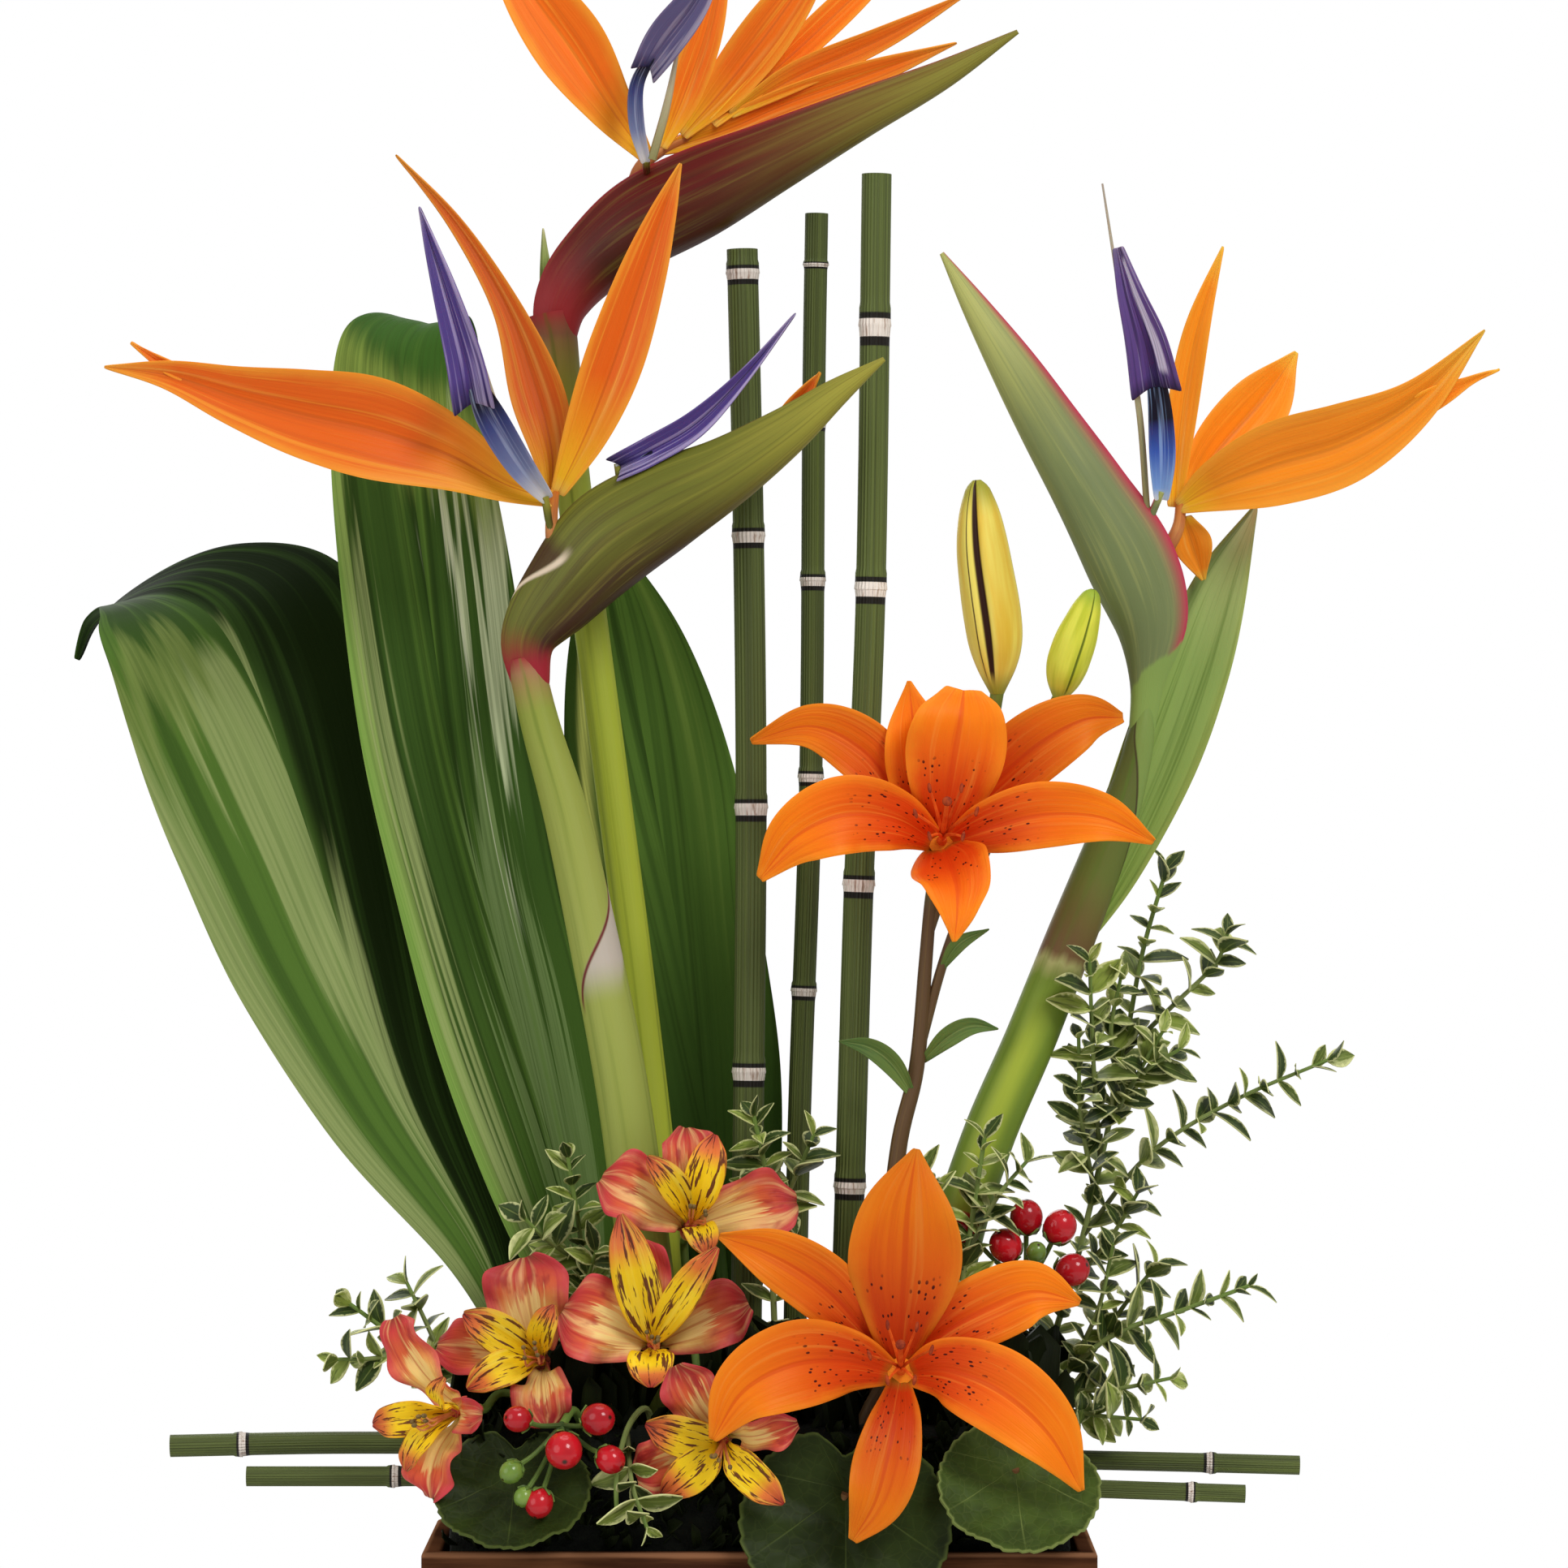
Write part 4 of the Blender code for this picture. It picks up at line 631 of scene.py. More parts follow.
# Horsetail: jointed stems. Each has its joints at heights, or places along X, and the half height of its bands.
HORSETAILS = {
    "horsetail_left": {
        "path": [(-5, 12, 80), (-5, 12, 126), (-4, 13, 232), (-3, 14, 341), (-4, 14, 439), (-6, 14, 529)],
        "radius": 5.2, "joints": (253.0, 341.5, 432.5, 520.5), "band": 1.7,
    },
    "horsetail_middle": {
        "path": [(10, 22, 79), (11, 22, 125), (13, 24, 232), (17, 25, 352), (18, 26, 477), (19, 26, 542)],
        "radius": 3.9, "joints": (280.0, 352.0, 418.0, 471.0, 524.5), "band": 1.0,
    },
    "horsetail_right": {
        "path": [(26, 12, 80), (27, 12, 126), (30, 12, 215), (33, 12, 316), (37, 12, 415), (39, 12, 554)],
        "radius": 5.0, "joints": (215.0, 316.0, 415.0, 502.5), "band": 1.9,
    },
    "horsetail_side_left_upper": {
        "path": [(-72, -12, 132), (-98, -12, 132), (-146, -12, 132), (-195, -12, 131)],
        "radius": 3.7, "joints": (-171.0,), "band": 0.9,
    },
    "horsetail_side_left_lower": {
        "path": [(-78, -22, 122), (-98, -22, 122), (-133, -22, 122), (-169, -22, 122)],
        "radius": 3.3, "joints": (-120.0,), "band": 0.8,
    },
    "horsetail_side_right_upper": {
        "path": [(74, -6, 127), (98, -6, 126), (140, -6, 125), (179, -6, 124)],
        "radius": 3.2, "joints": (149.0,), "band": 0.8,
    },
    "horsetail_side_right_lower": {
        "path": [(74, -20, 118), (98, -20, 118), (130, -20, 117), (160, -20, 116)],
        "radius": 3.0, "joints": (142.0,), "band": 0.8,
    },
}
RING_STEPS = (-5.0, -4.0, -3.4, -2.8, -2.4, -2.0, -1.6, -1.2, -0.8, -0.4, 0.0, 0.4, 0.8, 1.2, 1.6, 2.0, 2.6, 3.4, 4.4, 6.0)
BORE = 0.62
BORE_DEPTH = 7.0


def horsetail_paint(settings):
    """Ribbed green stem with a white band at each joint, a thick dark line under it and a thin one over it."""
    paint = Paint("horsetail")
    near = paint.read("near")
    green = tuple(settings.horsetail)
    colour = paint.blend(paint.lines(40.0, 3.0, 0.35, 0.65), green, tuple(value * 0.62 for value in green))
    soft = paint.calc("MULTIPLY", paint.lines(7.0, 1.5, 0.5, 0.72, 4.0), 0.6)
    colour = paint.blend(soft, colour, screen(120, 136, 60))
    reach = paint.calc("MULTIPLY_ADD", paint.read("above"), 0.35, near)
    colour = paint.blend(paint.fade(reach, 2.0, 2.2, 1.0, 0.0), colour, tuple(settings.ring))
    white = paint.fade(near, 0.95, 1.1, 1.0, 0.0)
    colour = paint.blend(white, colour, tuple(settings.band))
    stain = paint.calc("MULTIPLY", white, paint.lines(30.0, 8.0, 0.5, 0.7))
    colour = paint.blend(stain, colour, screen(188, 160, 142))
    # Inside the hollow at the cut end the green is darkened as painted shade.
    colour = paint.blend(paint.read("bore"), colour, tuple(value * 0.3 for value in green))
    ridge = paint.calc("SINE", paint.calc("MULTIPLY", paint.across, math.tau * settings.ribs))
    return paint.done(colour, paint.bump(ridge, 0.22, 0.7))


def share_at(path, level):
    """The share of the path where its height, or its reach sideways, is at a level."""
    axis = 2 if path[0].z + 100 < path[-1].z else 0
    rising = path[-1][axis] > path[0][axis]
    low, high = 0.0, 1.0
    for _ in range(30):
        middle = (low + high) / 2
        if (along(path, middle)[axis] < level) == rising:
            low = middle
        else:
            high = middle
    return low


def horsetail(name, paint):
    plan = HORSETAILS[name]
    path, radius = vectors(plan["path"]), plan["radius"]
    length = length_of(path)
    joints = [share_at(path, level) for level in plan["joints"]]
    shares = {i / 30 for i in range(31)}
    for joint in joints:
        shares |= {joint + step * plan["band"] / 1.5 / length for step in RING_STEPS}
    shares = sorted(share for share in shares if 0.0 <= share <= 1.0)
    points, radii, near, above, ways = [], [], [], [], []
    for share in shares:
        away = min(((share - joint) * length for joint in joints), key=abs)
        tangent = (along(path, share + 0.01) - along(path, share - 0.01)).normalized()
        side = tangent.cross(Vector((0.0, 1.0, 0.03))).normalized()
        points.append(along(path, share))
        ways.append((tangent, side, tangent.cross(side)))
        sheath = 0.3 if 0.0 < away < 2.6 * plan["band"] else 0.0
        radii.append(radius + sheath + 0.3 * math.exp(-((away / 1.4) ** 2)))
        near.append(min(abs(away) / plan["band"], 9.0))
        above.append(float(away > 0))
    bore = [0.0] * len(points) + [0.6, 1.0, 1.0]
    for depth, share in ((0.0, BORE), (BORE_DEPTH, BORE * 0.9), (BORE_DEPTH, BORE * 0.5)):
        points.append(points[len(shares) - 1] - ways[len(shares) - 1][0] * depth)
        radii.append(radius * share)
        ways.append(ways[len(shares) - 1])
        near.append(9.0)
        above.append(0.0)
    thing = sheet(28, len(points) - 1)
    rows = [round((vert.co.y + 1) / 2 * (len(points) - 1)) for vert in thing.data.vertices]
    for word, values in (("near", near), ("above", above), ("bore", bore)):
        mark(thing, word, [values[row] for row in rows])

    def place_at(across, share):
        index = round(share * (len(points) - 1))
        _, side, other = ways[index]
        angle = (across + 1) * math.pi
        return points[index] + (side * math.cos(angle) + other * math.sin(angle)) * radii[index]

    close_round(shape(thing, place_at, random.Random(name).random(), paint))
    return fit(name + "_stem", [thing], "horsetail", name)


# Ti leaves: the blade's spine, half widths and the way that it faces, from the base to the tip.
TI_LEAVES = {
    "ti_leaf_left": {
        "stalk": [(-60, 22, 82), (-67, 25, 122), (-75, 29, 146), (-87, 35, 178), (-104, 41, 210)],
        "spine": [
            (-78, 28, 152), (-94, 34, 194), (-121, 41, 243), (-140, 47, 292), (-156, 51, 340), (-170, 53, 378),
            (-185, 58, 405), (-201, 71, 415), (-217, 84, 414), (-231, 92, 406), (-237, 92, 393),
        ],
        "half_widths": [5, 15, 30, 43, 49, 51, 49, 35, 19, 8, 1],
        "face": [(0.3, -1, 0.1), (0.3, -1, 0.1), (0.3, -1, 0.1), (0, -0.6, 0.9), (-0.6, 0, 0.9), (-0.8, 0.3, 0.5)],
    },
    "ti_leaf_centre": {
        "stalk": [(-42, 29, 82), (-49, 30, 122), (-55, 32, 148), (-62, 35, 182), (-70, 37, 215)],
        "spine": [
            (-56, 31, 154), (-65, 33, 205), (-80, 35, 262), (-95, 37, 316), (-106, 38, 368), (-114, 39, 424),
            (-120, 42, 470), (-121, 52, 498), (-114, 68, 508), (-105, 82, 500), (-99, 88, 484),
        ],
        "half_widths": [6, 22, 29, 29, 30, 29, 26, 22, 16, 9, 1],
        "face": [(0.1, -1, 0), (0.1, -1, 0), (0.1, -1, 0.1), (0, -0.8, 0.6), (0.2, 0.2, 1), (0.5, 0.8, 0.3)],
    },
    "ti_leaf_right": {
        "stalk": [(-9, 29, 82), (-11, 31, 122), (-12, 34, 150), (-13, 38, 185), (-16, 42, 225)],
        "spine": [
            (-12, 34, 152), (-14, 40, 200), (-20, 45, 248), (-28, 48, 300), (-37, 50, 350), (-46, 51, 398),
            (-55, 49, 440),
        ],
        "half_widths": [5, 20, 28, 29, 29, 20, 1],
        "face": [(-0.1, -1, 0), (-0.1, -1, 0.05), (0, -1, 0.2)],
    },
}


def ti_paints(settings):
    """One paint for each leaf. The left ones have torn pale bands of painted sheen, and the first a far half darkened
    to near black as painted shade.
    """
    dark, light, pale = tuple(settings.ti_dark), tuple(settings.ti_light), tuple(settings.ti_pale_sheen)
    painted_shadow, shade = tuple(value * 0.13 for value in dark), tuple(value * 0.5 for value in dark)
    middle = tuple((low + high) / 2 for low, high in zip(dark, light))
    common = {
        "veins": (60.0, 1.0, 0.3), "roughness": 0.56, "subsurface": 0.0, "specular": 0.04, "slant": 0.7,
    }
    return {
        "ti_leaf_left": petal_paint(
            # Near its curled top the left leaf darkens as painted shade, side paints its far half near black as painted
            # shade, and the pale patches are painted sheen.
            "ti leaf, left", ((0.0, middle), (0.5, middle), (0.6, dark), (0.75, shade), (1.0, shade)),
            side=(painted_shadow, 0.46, 0.56, 0.95),
            streaks=(
                (dark, 14.0, 0.8, 0.45, 0.66, 0.8), (light, 22.0, 1.2, 0.5, 0.7, 0.4, (-0.1, 0.46)),
            ),
            patches=(
                (pale, 0.8, (0.36, 0.21), (0.51, 0.46), 0.26, 0.56, 0.25),
                (pale, 0.85, (0.42, 0.42), (0.52, 0.5), -0.1, 0.34, 0.2),
                (pale, 0.85, (-1.0, -1.0), (0.24, 0.05), -0.1, 0.52, 0.15),
                (screen(134, 150, 80), 0.6, (-1.0, -1.0), (0.34, 0.3), 0.5, 0.6, 0.3),
            ),
            **common),
        "ti_leaf_centre": petal_paint(
            "ti leaf, centre", ((0.0, middle), (0.3, dark), (1.0, dark)),
            streaks=(
                (shade, 16.0, 0.7, 0.45, 0.66, 0.8), (light, 12.0, 0.9, 0.5, 0.7, 0.6),
            ),
            patches=(
                # The pale patches are painted sheen, the shade patch darkens the right edge as painted shadow, and the
                # last two paint light below the turned-over top and shade over it.
                (screen(150, 176, 92), 0.9, (-1.0, -1.0), (0.16, 0.07), -0.1, 0.66, 0.14),
                (pale, 0.85, (0.13, 0.06), (0.27, 0.11), 0.0, 0.5, 0.25),
                (screen(112, 160, 60), 0.5, (-1.0, -1.0), (0.08, 0.03), -0.1, 0.6, 0.05),
                (screen(128, 152, 92), 0.75, (0.42, 0.5), (0.8, 0.68), -0.05, 0.36, 0.5),
                (screen(206, 216, 170), 0.9, (0.74, 0.64), (2.0, 2.0), 0.41, 0.57, 0.5),
                (screen(206, 212, 176), 0.9, (0.57, 0.66), (0.61, 0.71), 0.24, 0.6, 0.5),
                (shade, 0.8, (0.84, 0.9), (2.0, 2.0), -0.1, 0.4, 0.15),
                (screen(134, 156, 70), 0.85, (-1.0, -1.0), (2.0, 2.0), 0.57, 0.665, 0.12, 0.1),
                (screen(58, 96, 34), 0.95, (-1.0, -1.0), (2.0, 2.0), 0.665, 1.2, 0.02, 0.1),
            ),
            **common),
        "ti_leaf_right": petal_paint(
            # The right leaf's dark foot, and its left edge darkened by side, are painted shade.
            "ti leaf, right", ((0.0, shade), (0.3, dark), (0.6, middle), (1.0, middle)), side=(painted_shadow, 0.35, 0.1, 0.6),
            streaks=(
                (dark, 12.0, 0.6, 0.45, 0.65, 0.8), (shade, 22.0, 0.8, 0.5, 0.7, 0.6),
                (screen(130, 158, 70), 9.0, 0.6, 0.5, 0.7, 0.6, (0.75, 1.2)),
            ),
            patches=((screen(206, 210, 110), 0.9, (0.1, 0.1), (0.15, 0.15), 0.6, 0.95, 0.04),), **common),
    }


def ti_leaf(name, settings, paint, stalk_paint):
    plan = TI_LEAVES[name]
    thick = settings.thickness / MM * 1.2
    leaf = blade(plan["spine"], plan["half_widths"], paint, plan["face"], rows=72, columns=14, cup=0.16, thick=thick,
                 groove=0.04, ruffle=0.7, waves=3)
    stalk = tube(plan["stalk"], [4.2, 3.8, 3.2, 2.0, 0.8], stalk_paint, 16)
    return fit(name + "_blade", [leaf, stalk], "ti_leaf", name)


# Bird of paradise: stem, beak (the boat-shaped bract), sepals and tongues (the joined blue petals).
BIRDS = {
    "bird_top": {
        "stem": [
            (-24, 18, 79), (-28, 19, 126), (-33, 20, 205), (-41, 20, 281), (-50, 20, 352), (-58, 20, 412),
            (-64, 20, 461), (-68, 20, 496), (-70, 20, 508),
        ],
        "radii": [7.0, 6.8, 6.4, 6.0, 5.8, 5.8, 6.0, 7.0, 8.0],
        "beak": [
            (-69, 20, 497), (-67, 19, 511), (-58, 18, 525), (-43, 16, 537), (-21, 14, 548), (6, 12, 561),
            (33, 10, 574), (61, 8, 587), (86, 6, 601),
        ],
        "heights": [6.5, 9.5, 13, 15.5, 15.5, 12, 8.5, 5, 0.8],
        "slit": (-1, 0, 1), "heel": 0.12,
        "root": [(-43, 17, 543), (-41, 17, 555), (-34, 17, 562), (-22, 18, 568), (-8, 18, 574)],
        "tongue_roots": {"a": [(-38, 14, 553), (-38, 9, 556), (-38, 4, 558)]},
        "sepals": [
            {"spine": [(-38, 16, 560), (-50, 12, 576), (-64, 8, 597), (-79, 5, 618), (-93, 5, 644)],
             "half_widths": [2.5, 8, 12.5, 9, 0.4]},
            {"spine": [(-33, 15, 563), (-25, 15, 582), (-17, 14, 606), (-10, 14, 640)],
             "half_widths": [2, 6, 5.5, 0.4]},
            {"spine": [(-26, 15, 567), (-9, 18, 587), (9, 20, 611), (29, 22, 640)],
             "half_widths": [2, 8, 8, 0.4]},
            {"spine": [(-16, 15, 571), (10, 20, 594), (33, 24, 616), (54, 28, 636)],
             "half_widths": [2, 5, 5, 0.4]},
            {"spine": [(-10, 15, 574), (12, 17, 587), (41, 18, 600), (71, 19, 616)],
             "half_widths": [1.5, 5, 4, 0.3]},
            {"spine": [(-34, 17, 562), (-12, 17, 569), (9, 17, 578), (36, 15.5, 587.5), (66, 13, 598)],
             "half_widths": [1.5, 5, 5.5, 4.8, 0.3]},
        ],
        "tongues": {
            "a": {"strap": [(-38, 4, 557), (-41, 1, 569), (-41, -2, 582), (-36, -3, 592)],
                  "strap_half": [1.6, 2.6, 2.4, 1.6],
                  "arrow": [(-37, -4, 588), (-31, -5, 597), (-22, -5, 609), (-10, -2, 629)],
                  "arrow_half": [4.6, 6.6, 5.5, 0.3], "shade": "grey", "foot": "strap",
                  "thread": [(-36, 3, 558), (-31, 2, 576), (-27, 0, 596)], "thread_radius": 1.5},
        },
    },
    "bird_left": {
        "stem": [
            (-26, -7, 82), (-31, -6, 128), (-38, -4, 190), (-45, -3, 244), (-54, -2, 292), (-64, -2, 338),
            (-72, -2, 366), (-76, -2, 382), (-78, -2, 392),
        ],
        "radii": [9.0, 9.0, 9.0, 8.8, 8.4, 7.6, 6.6, 6.2, 6.2],
        "beak": [
            (-76, -2, 382), (-77, -4, 398), (-67, -6, 413.5), (-52, -9, 430), (-33, -12, 442), (-12, -15, 453),
            (8, -18, 466), (25, -20, 479), (41, -22, 490),
        ],
        "heights": [6.0, 9.6, 14.5, 17.5, 16.0, 12.0, 8.4, 4.8, 0.8],
        "slit": (-1, 0, 1), "heel": 0.08,
        "root": [(-68, -8, 424), (-69, -9, 436), (-68, -10, 447)],
        "tongue_roots": {
            "a": [(-68, -8, 430), (-70, -11, 438), (-71, -15, 445)],
            "b": [(-46, -11, 448), (-46.5, -11.5, 452), (-47, -12, 456)],
        },
        "sepals": [
            {"spine": [(-68, -10, 444), (-84, -13, 449), (-103, -15, 459), (-127, -17, 467), (-150, -17, 472),
                       (-173, -16, 478), (-195, -15, 485), (-217, -13, 488)],
             "half_widths": [2.5, 6, 12.5, 17, 14.8, 10, 5, 0.4]},
            {"spine": [(-69, -9, 445), (-69, -6, 460), (-74, -4, 480), (-84, -3, 508), (-101, -3, 536),
                       (-121, -5, 559)],
             "half_widths": [2.5, 7, 9.2, 5, 2.6, 0.3]},
            {"spine": [(-67, -10, 446), (-57, -12, 467), (-48, -14, 490), (-39, -16, 517), (-32, -17, 538),
                       (-26, -17, 555)],
             "half_widths": [2.5, 7.8, 10, 8.2, 4.7, 0.4]},
            {"spine": [(-184, -14, 483), (-196, -14, 488), (-208, -14, 496)], "half_widths": [2.6, 2.4, 0.3]},
            {"spine": [(4, -15, 466), (12, -16, 475), (20, -17, 486)], "half_widths": [2.0, 3.4, 0.3]},
        ],
        "tongues": {
            "a": {"strap": [(-70, -14, 444), (-79, -20, 455), (-88, -25, 470), (-93, -27, 481)],
                  "strap_half": [2.2, 4.6, 5.2, 3.2],
                  "arrow": [(-94, -29, 475), (-97, -29, 490), (-103, -28, 511), (-108, -26, 527), (-112, -25, 540)],
                  "arrow_half": [7.0, 6.2, 4.2, 2.2, 0.2], "shade": "violet", "foot": "strap",
                  "thread": [(-70, -12, 446), (-84, -20, 468), (-92, -24, 492)], "thread_radius": 1.0},
            "b": {"strap": [(-47, -12, 454), (-42, -13, 457), (-36, -13, 461)], "strap_half": [1.6, 3.0, 2.2],
                  "arrow": [(-46, -14, 455), (-36, -14, 460), (-21, -14, 469), (-5, -13, 485), (12, -11, 506)],
                  "arrow_half": [4.2, 4.8, 4.4, 2.2, 0.2], "shade": "violet", "foot": "strap",
                  "thread": [(-44, -11, 455), (-20, -11, 471), (-6, -11, 487)], "thread_radius": 0.6},
        },
    },
    "bird_right": {
        "stem": [
            (45, -5, 84), (53, -4, 128), (63, -2, 190), (75, 0, 230), (90, 2, 265), (104, 4, 300),
            (117, 4, 333), (124, 4, 354), (127, 3, 367), (129, 2, 380),
        ],
        "radii": [9.2, 9.2, 9.0, 8.8, 8.6, 8.2, 7.2, 5.6, 4.4, 1.6],
        "beak": [
            (127, 3, 366), (129, 2, 384), (130, 0, 405), (123, -3, 425), (110, -7, 447), (96, -10, 469),
            (84, -14, 488), (71, -17, 508), (60, -20, 525),
        ],
        "heights": [4.2, 6.0, 13.0, 15.4, 13.0, 10.6, 8.2, 4.6, 0.8],
        "slit": (1, 0, 1), "heel": 0.0,
        "root": [(133, 0, 424), (139, 0, 435), (140, 0, 445)],
        "tongue_roots": {"a": [(129, -5, 437), (131, -7, 442), (133, -10, 447)]},
        "sepals": [
            {"spine": [(139, -1, 442), (152, -3, 449), (171, -5, 456), (194, -6, 463), (218, -5, 477),
                       (241, -3, 501)],
             "half_widths": [2.5, 9, 14, 13.5, 7.5, 0.3]},
            {"spine": [(140, 2, 443), (153, 9, 461), (168, 15, 478), (180, 19, 495)],
             "half_widths": [2.5, 10, 10, 0.6]},
            {"spine": [(138, 1, 442), (140, 1, 470), (145, 0, 500), (154, 0, 529)],
             "half_widths": [2.5, 5, 4.5, 0.3]},
            {"spine": [(141, 0, 439), (144, 3, 430), (148, 6, 418)],
             "half_widths": [2.5, 6.5, 0.8]},
            {"spine": [(206, -4, 468), (224, -3, 478), (236, -2, 484), (246, -1, 488)],
             "half_widths": [4.5, 4.0, 1.6, 0.2]},
        ],
        "tongues": {
            "a": {"strap": [(133, -9, 444), (133, -13, 458), (132, -16, 474), (130, -17, 488)],
                  "strap_half": [2.4, 4.4, 4.0, 2.6],
                  "arrow": [(130, -19, 481), (127, -19, 496), (122, -19, 512), (118, -19, 527)],
                  "arrow_half": [8.6, 7.0, 4.4, 1.8], "shade": "lilac", "foot": "blue strap",
                  "thread": [(128.5, -6, 440), (125.5, -15, 472), (120.5, -20, 500), (113, -19, 548)],
                  "thread_radius": 1.1},
        },
    },
}
BEAK_WIDTH = 0.62
SHEATH = {
    "spine": [(104, 5, 296), (116, 9, 322), (131, 14, 358), (143, 17, 390), (153.5, 17, 418), (166, 15, 443)],
    "half_widths": [4, 10, 14, 13.5, 9.5, 0.8],
}
THORN = {"spine": [(-70, 22, 508), (-72, 23, 522), (-73, 23, 537)], "half_widths": [4, 2.2, 0.3]}


def beak(plan, paint):
    """A boat-shaped bract: full at the keel, narrow at the slit along its top."""
    spine = vectors(plan["beak"])
    heights = [float(height) for height in plan["heights"]]
    rows = 66
    points = [along(spine, i / rows) for i in range(rows + 1)]
    ways = frames(points)

    def place_at(across, share):
        index = round(share * rows)
        tangent = ways[index][0]
        level = tangent.cross(VIEWER).cross(tangent).normalized()
        upward = level.cross(tangent)
        if upward.dot(Vector(plan["slit"])) < 0:
            upward.negate()
        height = along(heights, share)
        angle = (across + 1) * math.pi
        narrow = 1 - 0.4 * math.cos(angle)
        slit = 0.16 * height * math.exp(-((math.remainder(angle, math.tau) / 0.14) ** 2)) * min(share * 6, 1)
        slit += plan["heel"] * height * max(math.cos(angle), 0) * math.exp(-(((share - 0.28) / 0.1) ** 2))
        out = upward * (height * math.cos(angle) - slit)
        return points[index] + out + level * height * BEAK_WIDTH * narrow * math.sin(angle)

    return close_round(shape(sheet(44, rows), place_at, 0.5, paint))


def beak_paint(name, upper, keel, tip, edge, neck, neck_ends, slant=0.0, edge_end=0.12, keel_at=0.0, line=None):
    """Colours of a beak. Across its sheet, 0 and 1 are the slit and 0.5 is the keel."""
    paint = Paint(name, roughness=0.42, subsurface=0.03)
    down = paint.calc("SUBTRACT", 1.0, paint.from_rib)
    uneven = paint.calc("MULTIPLY_ADD", paint.noise(paint.sheet_vector(12.0, 2.2, 2.0)), 0.5, -0.25)
    low = paint.calc("MULTIPLY_ADD", paint.length, -0.45, paint.calc("ADD", down, uneven))
    colour = paint.blend(paint.fade(low, keel_at, keel_at + 0.5), upper, keel)
    far = paint.calc("MULTIPLY_ADD", down, 0.2, paint.calc("ADD", paint.length, uneven))
    colour = paint.blend(paint.fade(far, 0.6, 1.1), colour, tip)
    colour = paint.blend(paint.calc("MULTIPLY", paint.lines(70.0, 2.0, 0.45, 0.7), 0.45), colour, keel)
    colour = paint.blend(paint.calc("MULTIPLY", paint.lines(50.0, 3.0, 0.5, 0.75, 6.0), 0.3), colour, tip)
    colour = paint.blend(paint.fade(down, edge_end * 0.3, edge_end, 0.95, 0.0), colour, edge)
    near = paint.calc("MULTIPLY_ADD", paint.from_rib, -slant, paint.calc("MULTIPLY_ADD", uneven, 0.1, paint.length))
    colour = paint.blend(paint.fade(near, *neck_ends, 1.0, 0.0), colour, neck)
    if line:
        shade, flank, at, start, end = line
        beside = paint.calc("SUBTRACT", down, paint.fade(paint.length, start, end, 0.0, at))
        reach = paint.between(paint.length, start, end, 0.02)
        share = paint.calc("MULTIPLY", paint.between(beside, -1.0, 0.0, 0.02), reach)
        colour = paint.blend(paint.calc("MULTIPLY", share, 0.8), colour, flank)
        share = paint.calc("MULTIPLY", paint.between(beside, 0.0, 0.05, 0.02), reach)
        colour = paint.blend(share, colour, shade)
    return paint.done(colour, paint.bump(paint.noise(paint.sheet_vector(90.0, 3.0, 9.0)), 0.25, 0.5))


def stem_paint(name, stops, streak, seam=None, highlight_stripe=None):
    """A fleshy stem: colours along it, soft long streaks, a painted highlight stripe up to a share of its length, and a
    slanted line where its sheath opens.
    """
    paint = Paint(name, roughness=0.48, subsurface=0.03)
    uneven = paint.calc("MULTIPLY_ADD", paint.noise(paint.sheet_vector(6.0, 4.0, 2.0)), 0.04, -0.02)
    colour = paint.ramp(paint.calc("ADD", paint.length, uneven), stops)
    colour = paint.blend(paint.calc("MULTIPLY", paint.lines(16.0, 2.0, 0.5, 0.75), 0.6), colour, streak)
    if highlight_stripe:
        # The stripe is a painted highlight along one side of the stem.
        shade, low, high, end = highlight_stripe
        place = paint.calc("MULTIPLY_ADD", uneven, 2.0, paint.across)
        share = paint.fade(paint.length, end - 0.08, end, 0.7, 0.0)
        share = paint.calc("MULTIPLY", paint.between(place, low, high, 0.06), share)
        colour = paint.blend(share, colour, shade)
    if seam:
        shade, pale, start, end, foot, tip, reach = seam
        beside = paint.calc("SUBTRACT", paint.across, paint.fade(paint.length, start, end, foot, tip))
        # Below the seam a pale colour is laid: the sheath's green on the right stem, and a painted highlight on the
        # left one.
        below = paint.calc("MULTIPLY", paint.between(beside, 0.0, reach, 0.03),
                           paint.between(paint.length, start + 0.02, end, 0.02))
        colour = paint.blend(paint.calc("MULTIPLY", below, 0.8), colour, pale)
        share = paint.calc("MULTIPLY", paint.between(beside, -0.012, 0.012, 0.01),
                           paint.between(paint.length, start, end, 0.01))
        colour = paint.blend(share, colour, shade)
    return paint.done(colour, paint.bump(paint.noise(paint.sheet_vector(44.0, 3.0, 9.0)), 0.25, 0.5))


def sepal_paint(name, orange, flowers, tip=screen(240, 160, 50)):
    """An orange sepal with a yellow foot. Darker streaks and its darker midrib are painted shade, and lighter streaks
    and a light line beside the midrib are painted highlight on its fold.
    """
    shaded_orange = tuple(value * 0.7 for value in orange)
    return petal_paint(
        name, ((0.0, screen(244, 196, 90)), (0.05, tuple(flowers.bird_yellow)), (0.2, screen(238, 146, 20)),
               (0.36, orange), (0.84, orange), (1.0, tip)),
        streaks=(
            # Darker streaks are painted shade; the lighter ones and the line beside the midrib are painted highlight.
            (shaded_orange, 9.0, 0.8, 0.44, 0.7, 0.6),
            (screen(252, 170, 50), 16.0, 1.2, 0.52, 0.72, 0.55),
            (screen(250, 186, 88), 3.0, 1.2, 0.45, 0.6, 0.6, (0.64, 0.7)),
        ),
        edge=(screen(252, 164, 44), 0.62, 0.98, 0.65), rib=(shaded_orange, 0.06, 0.6), veins=(30.0, 1.4, 0.4),
        roughness=0.48, subsurface=0.1)


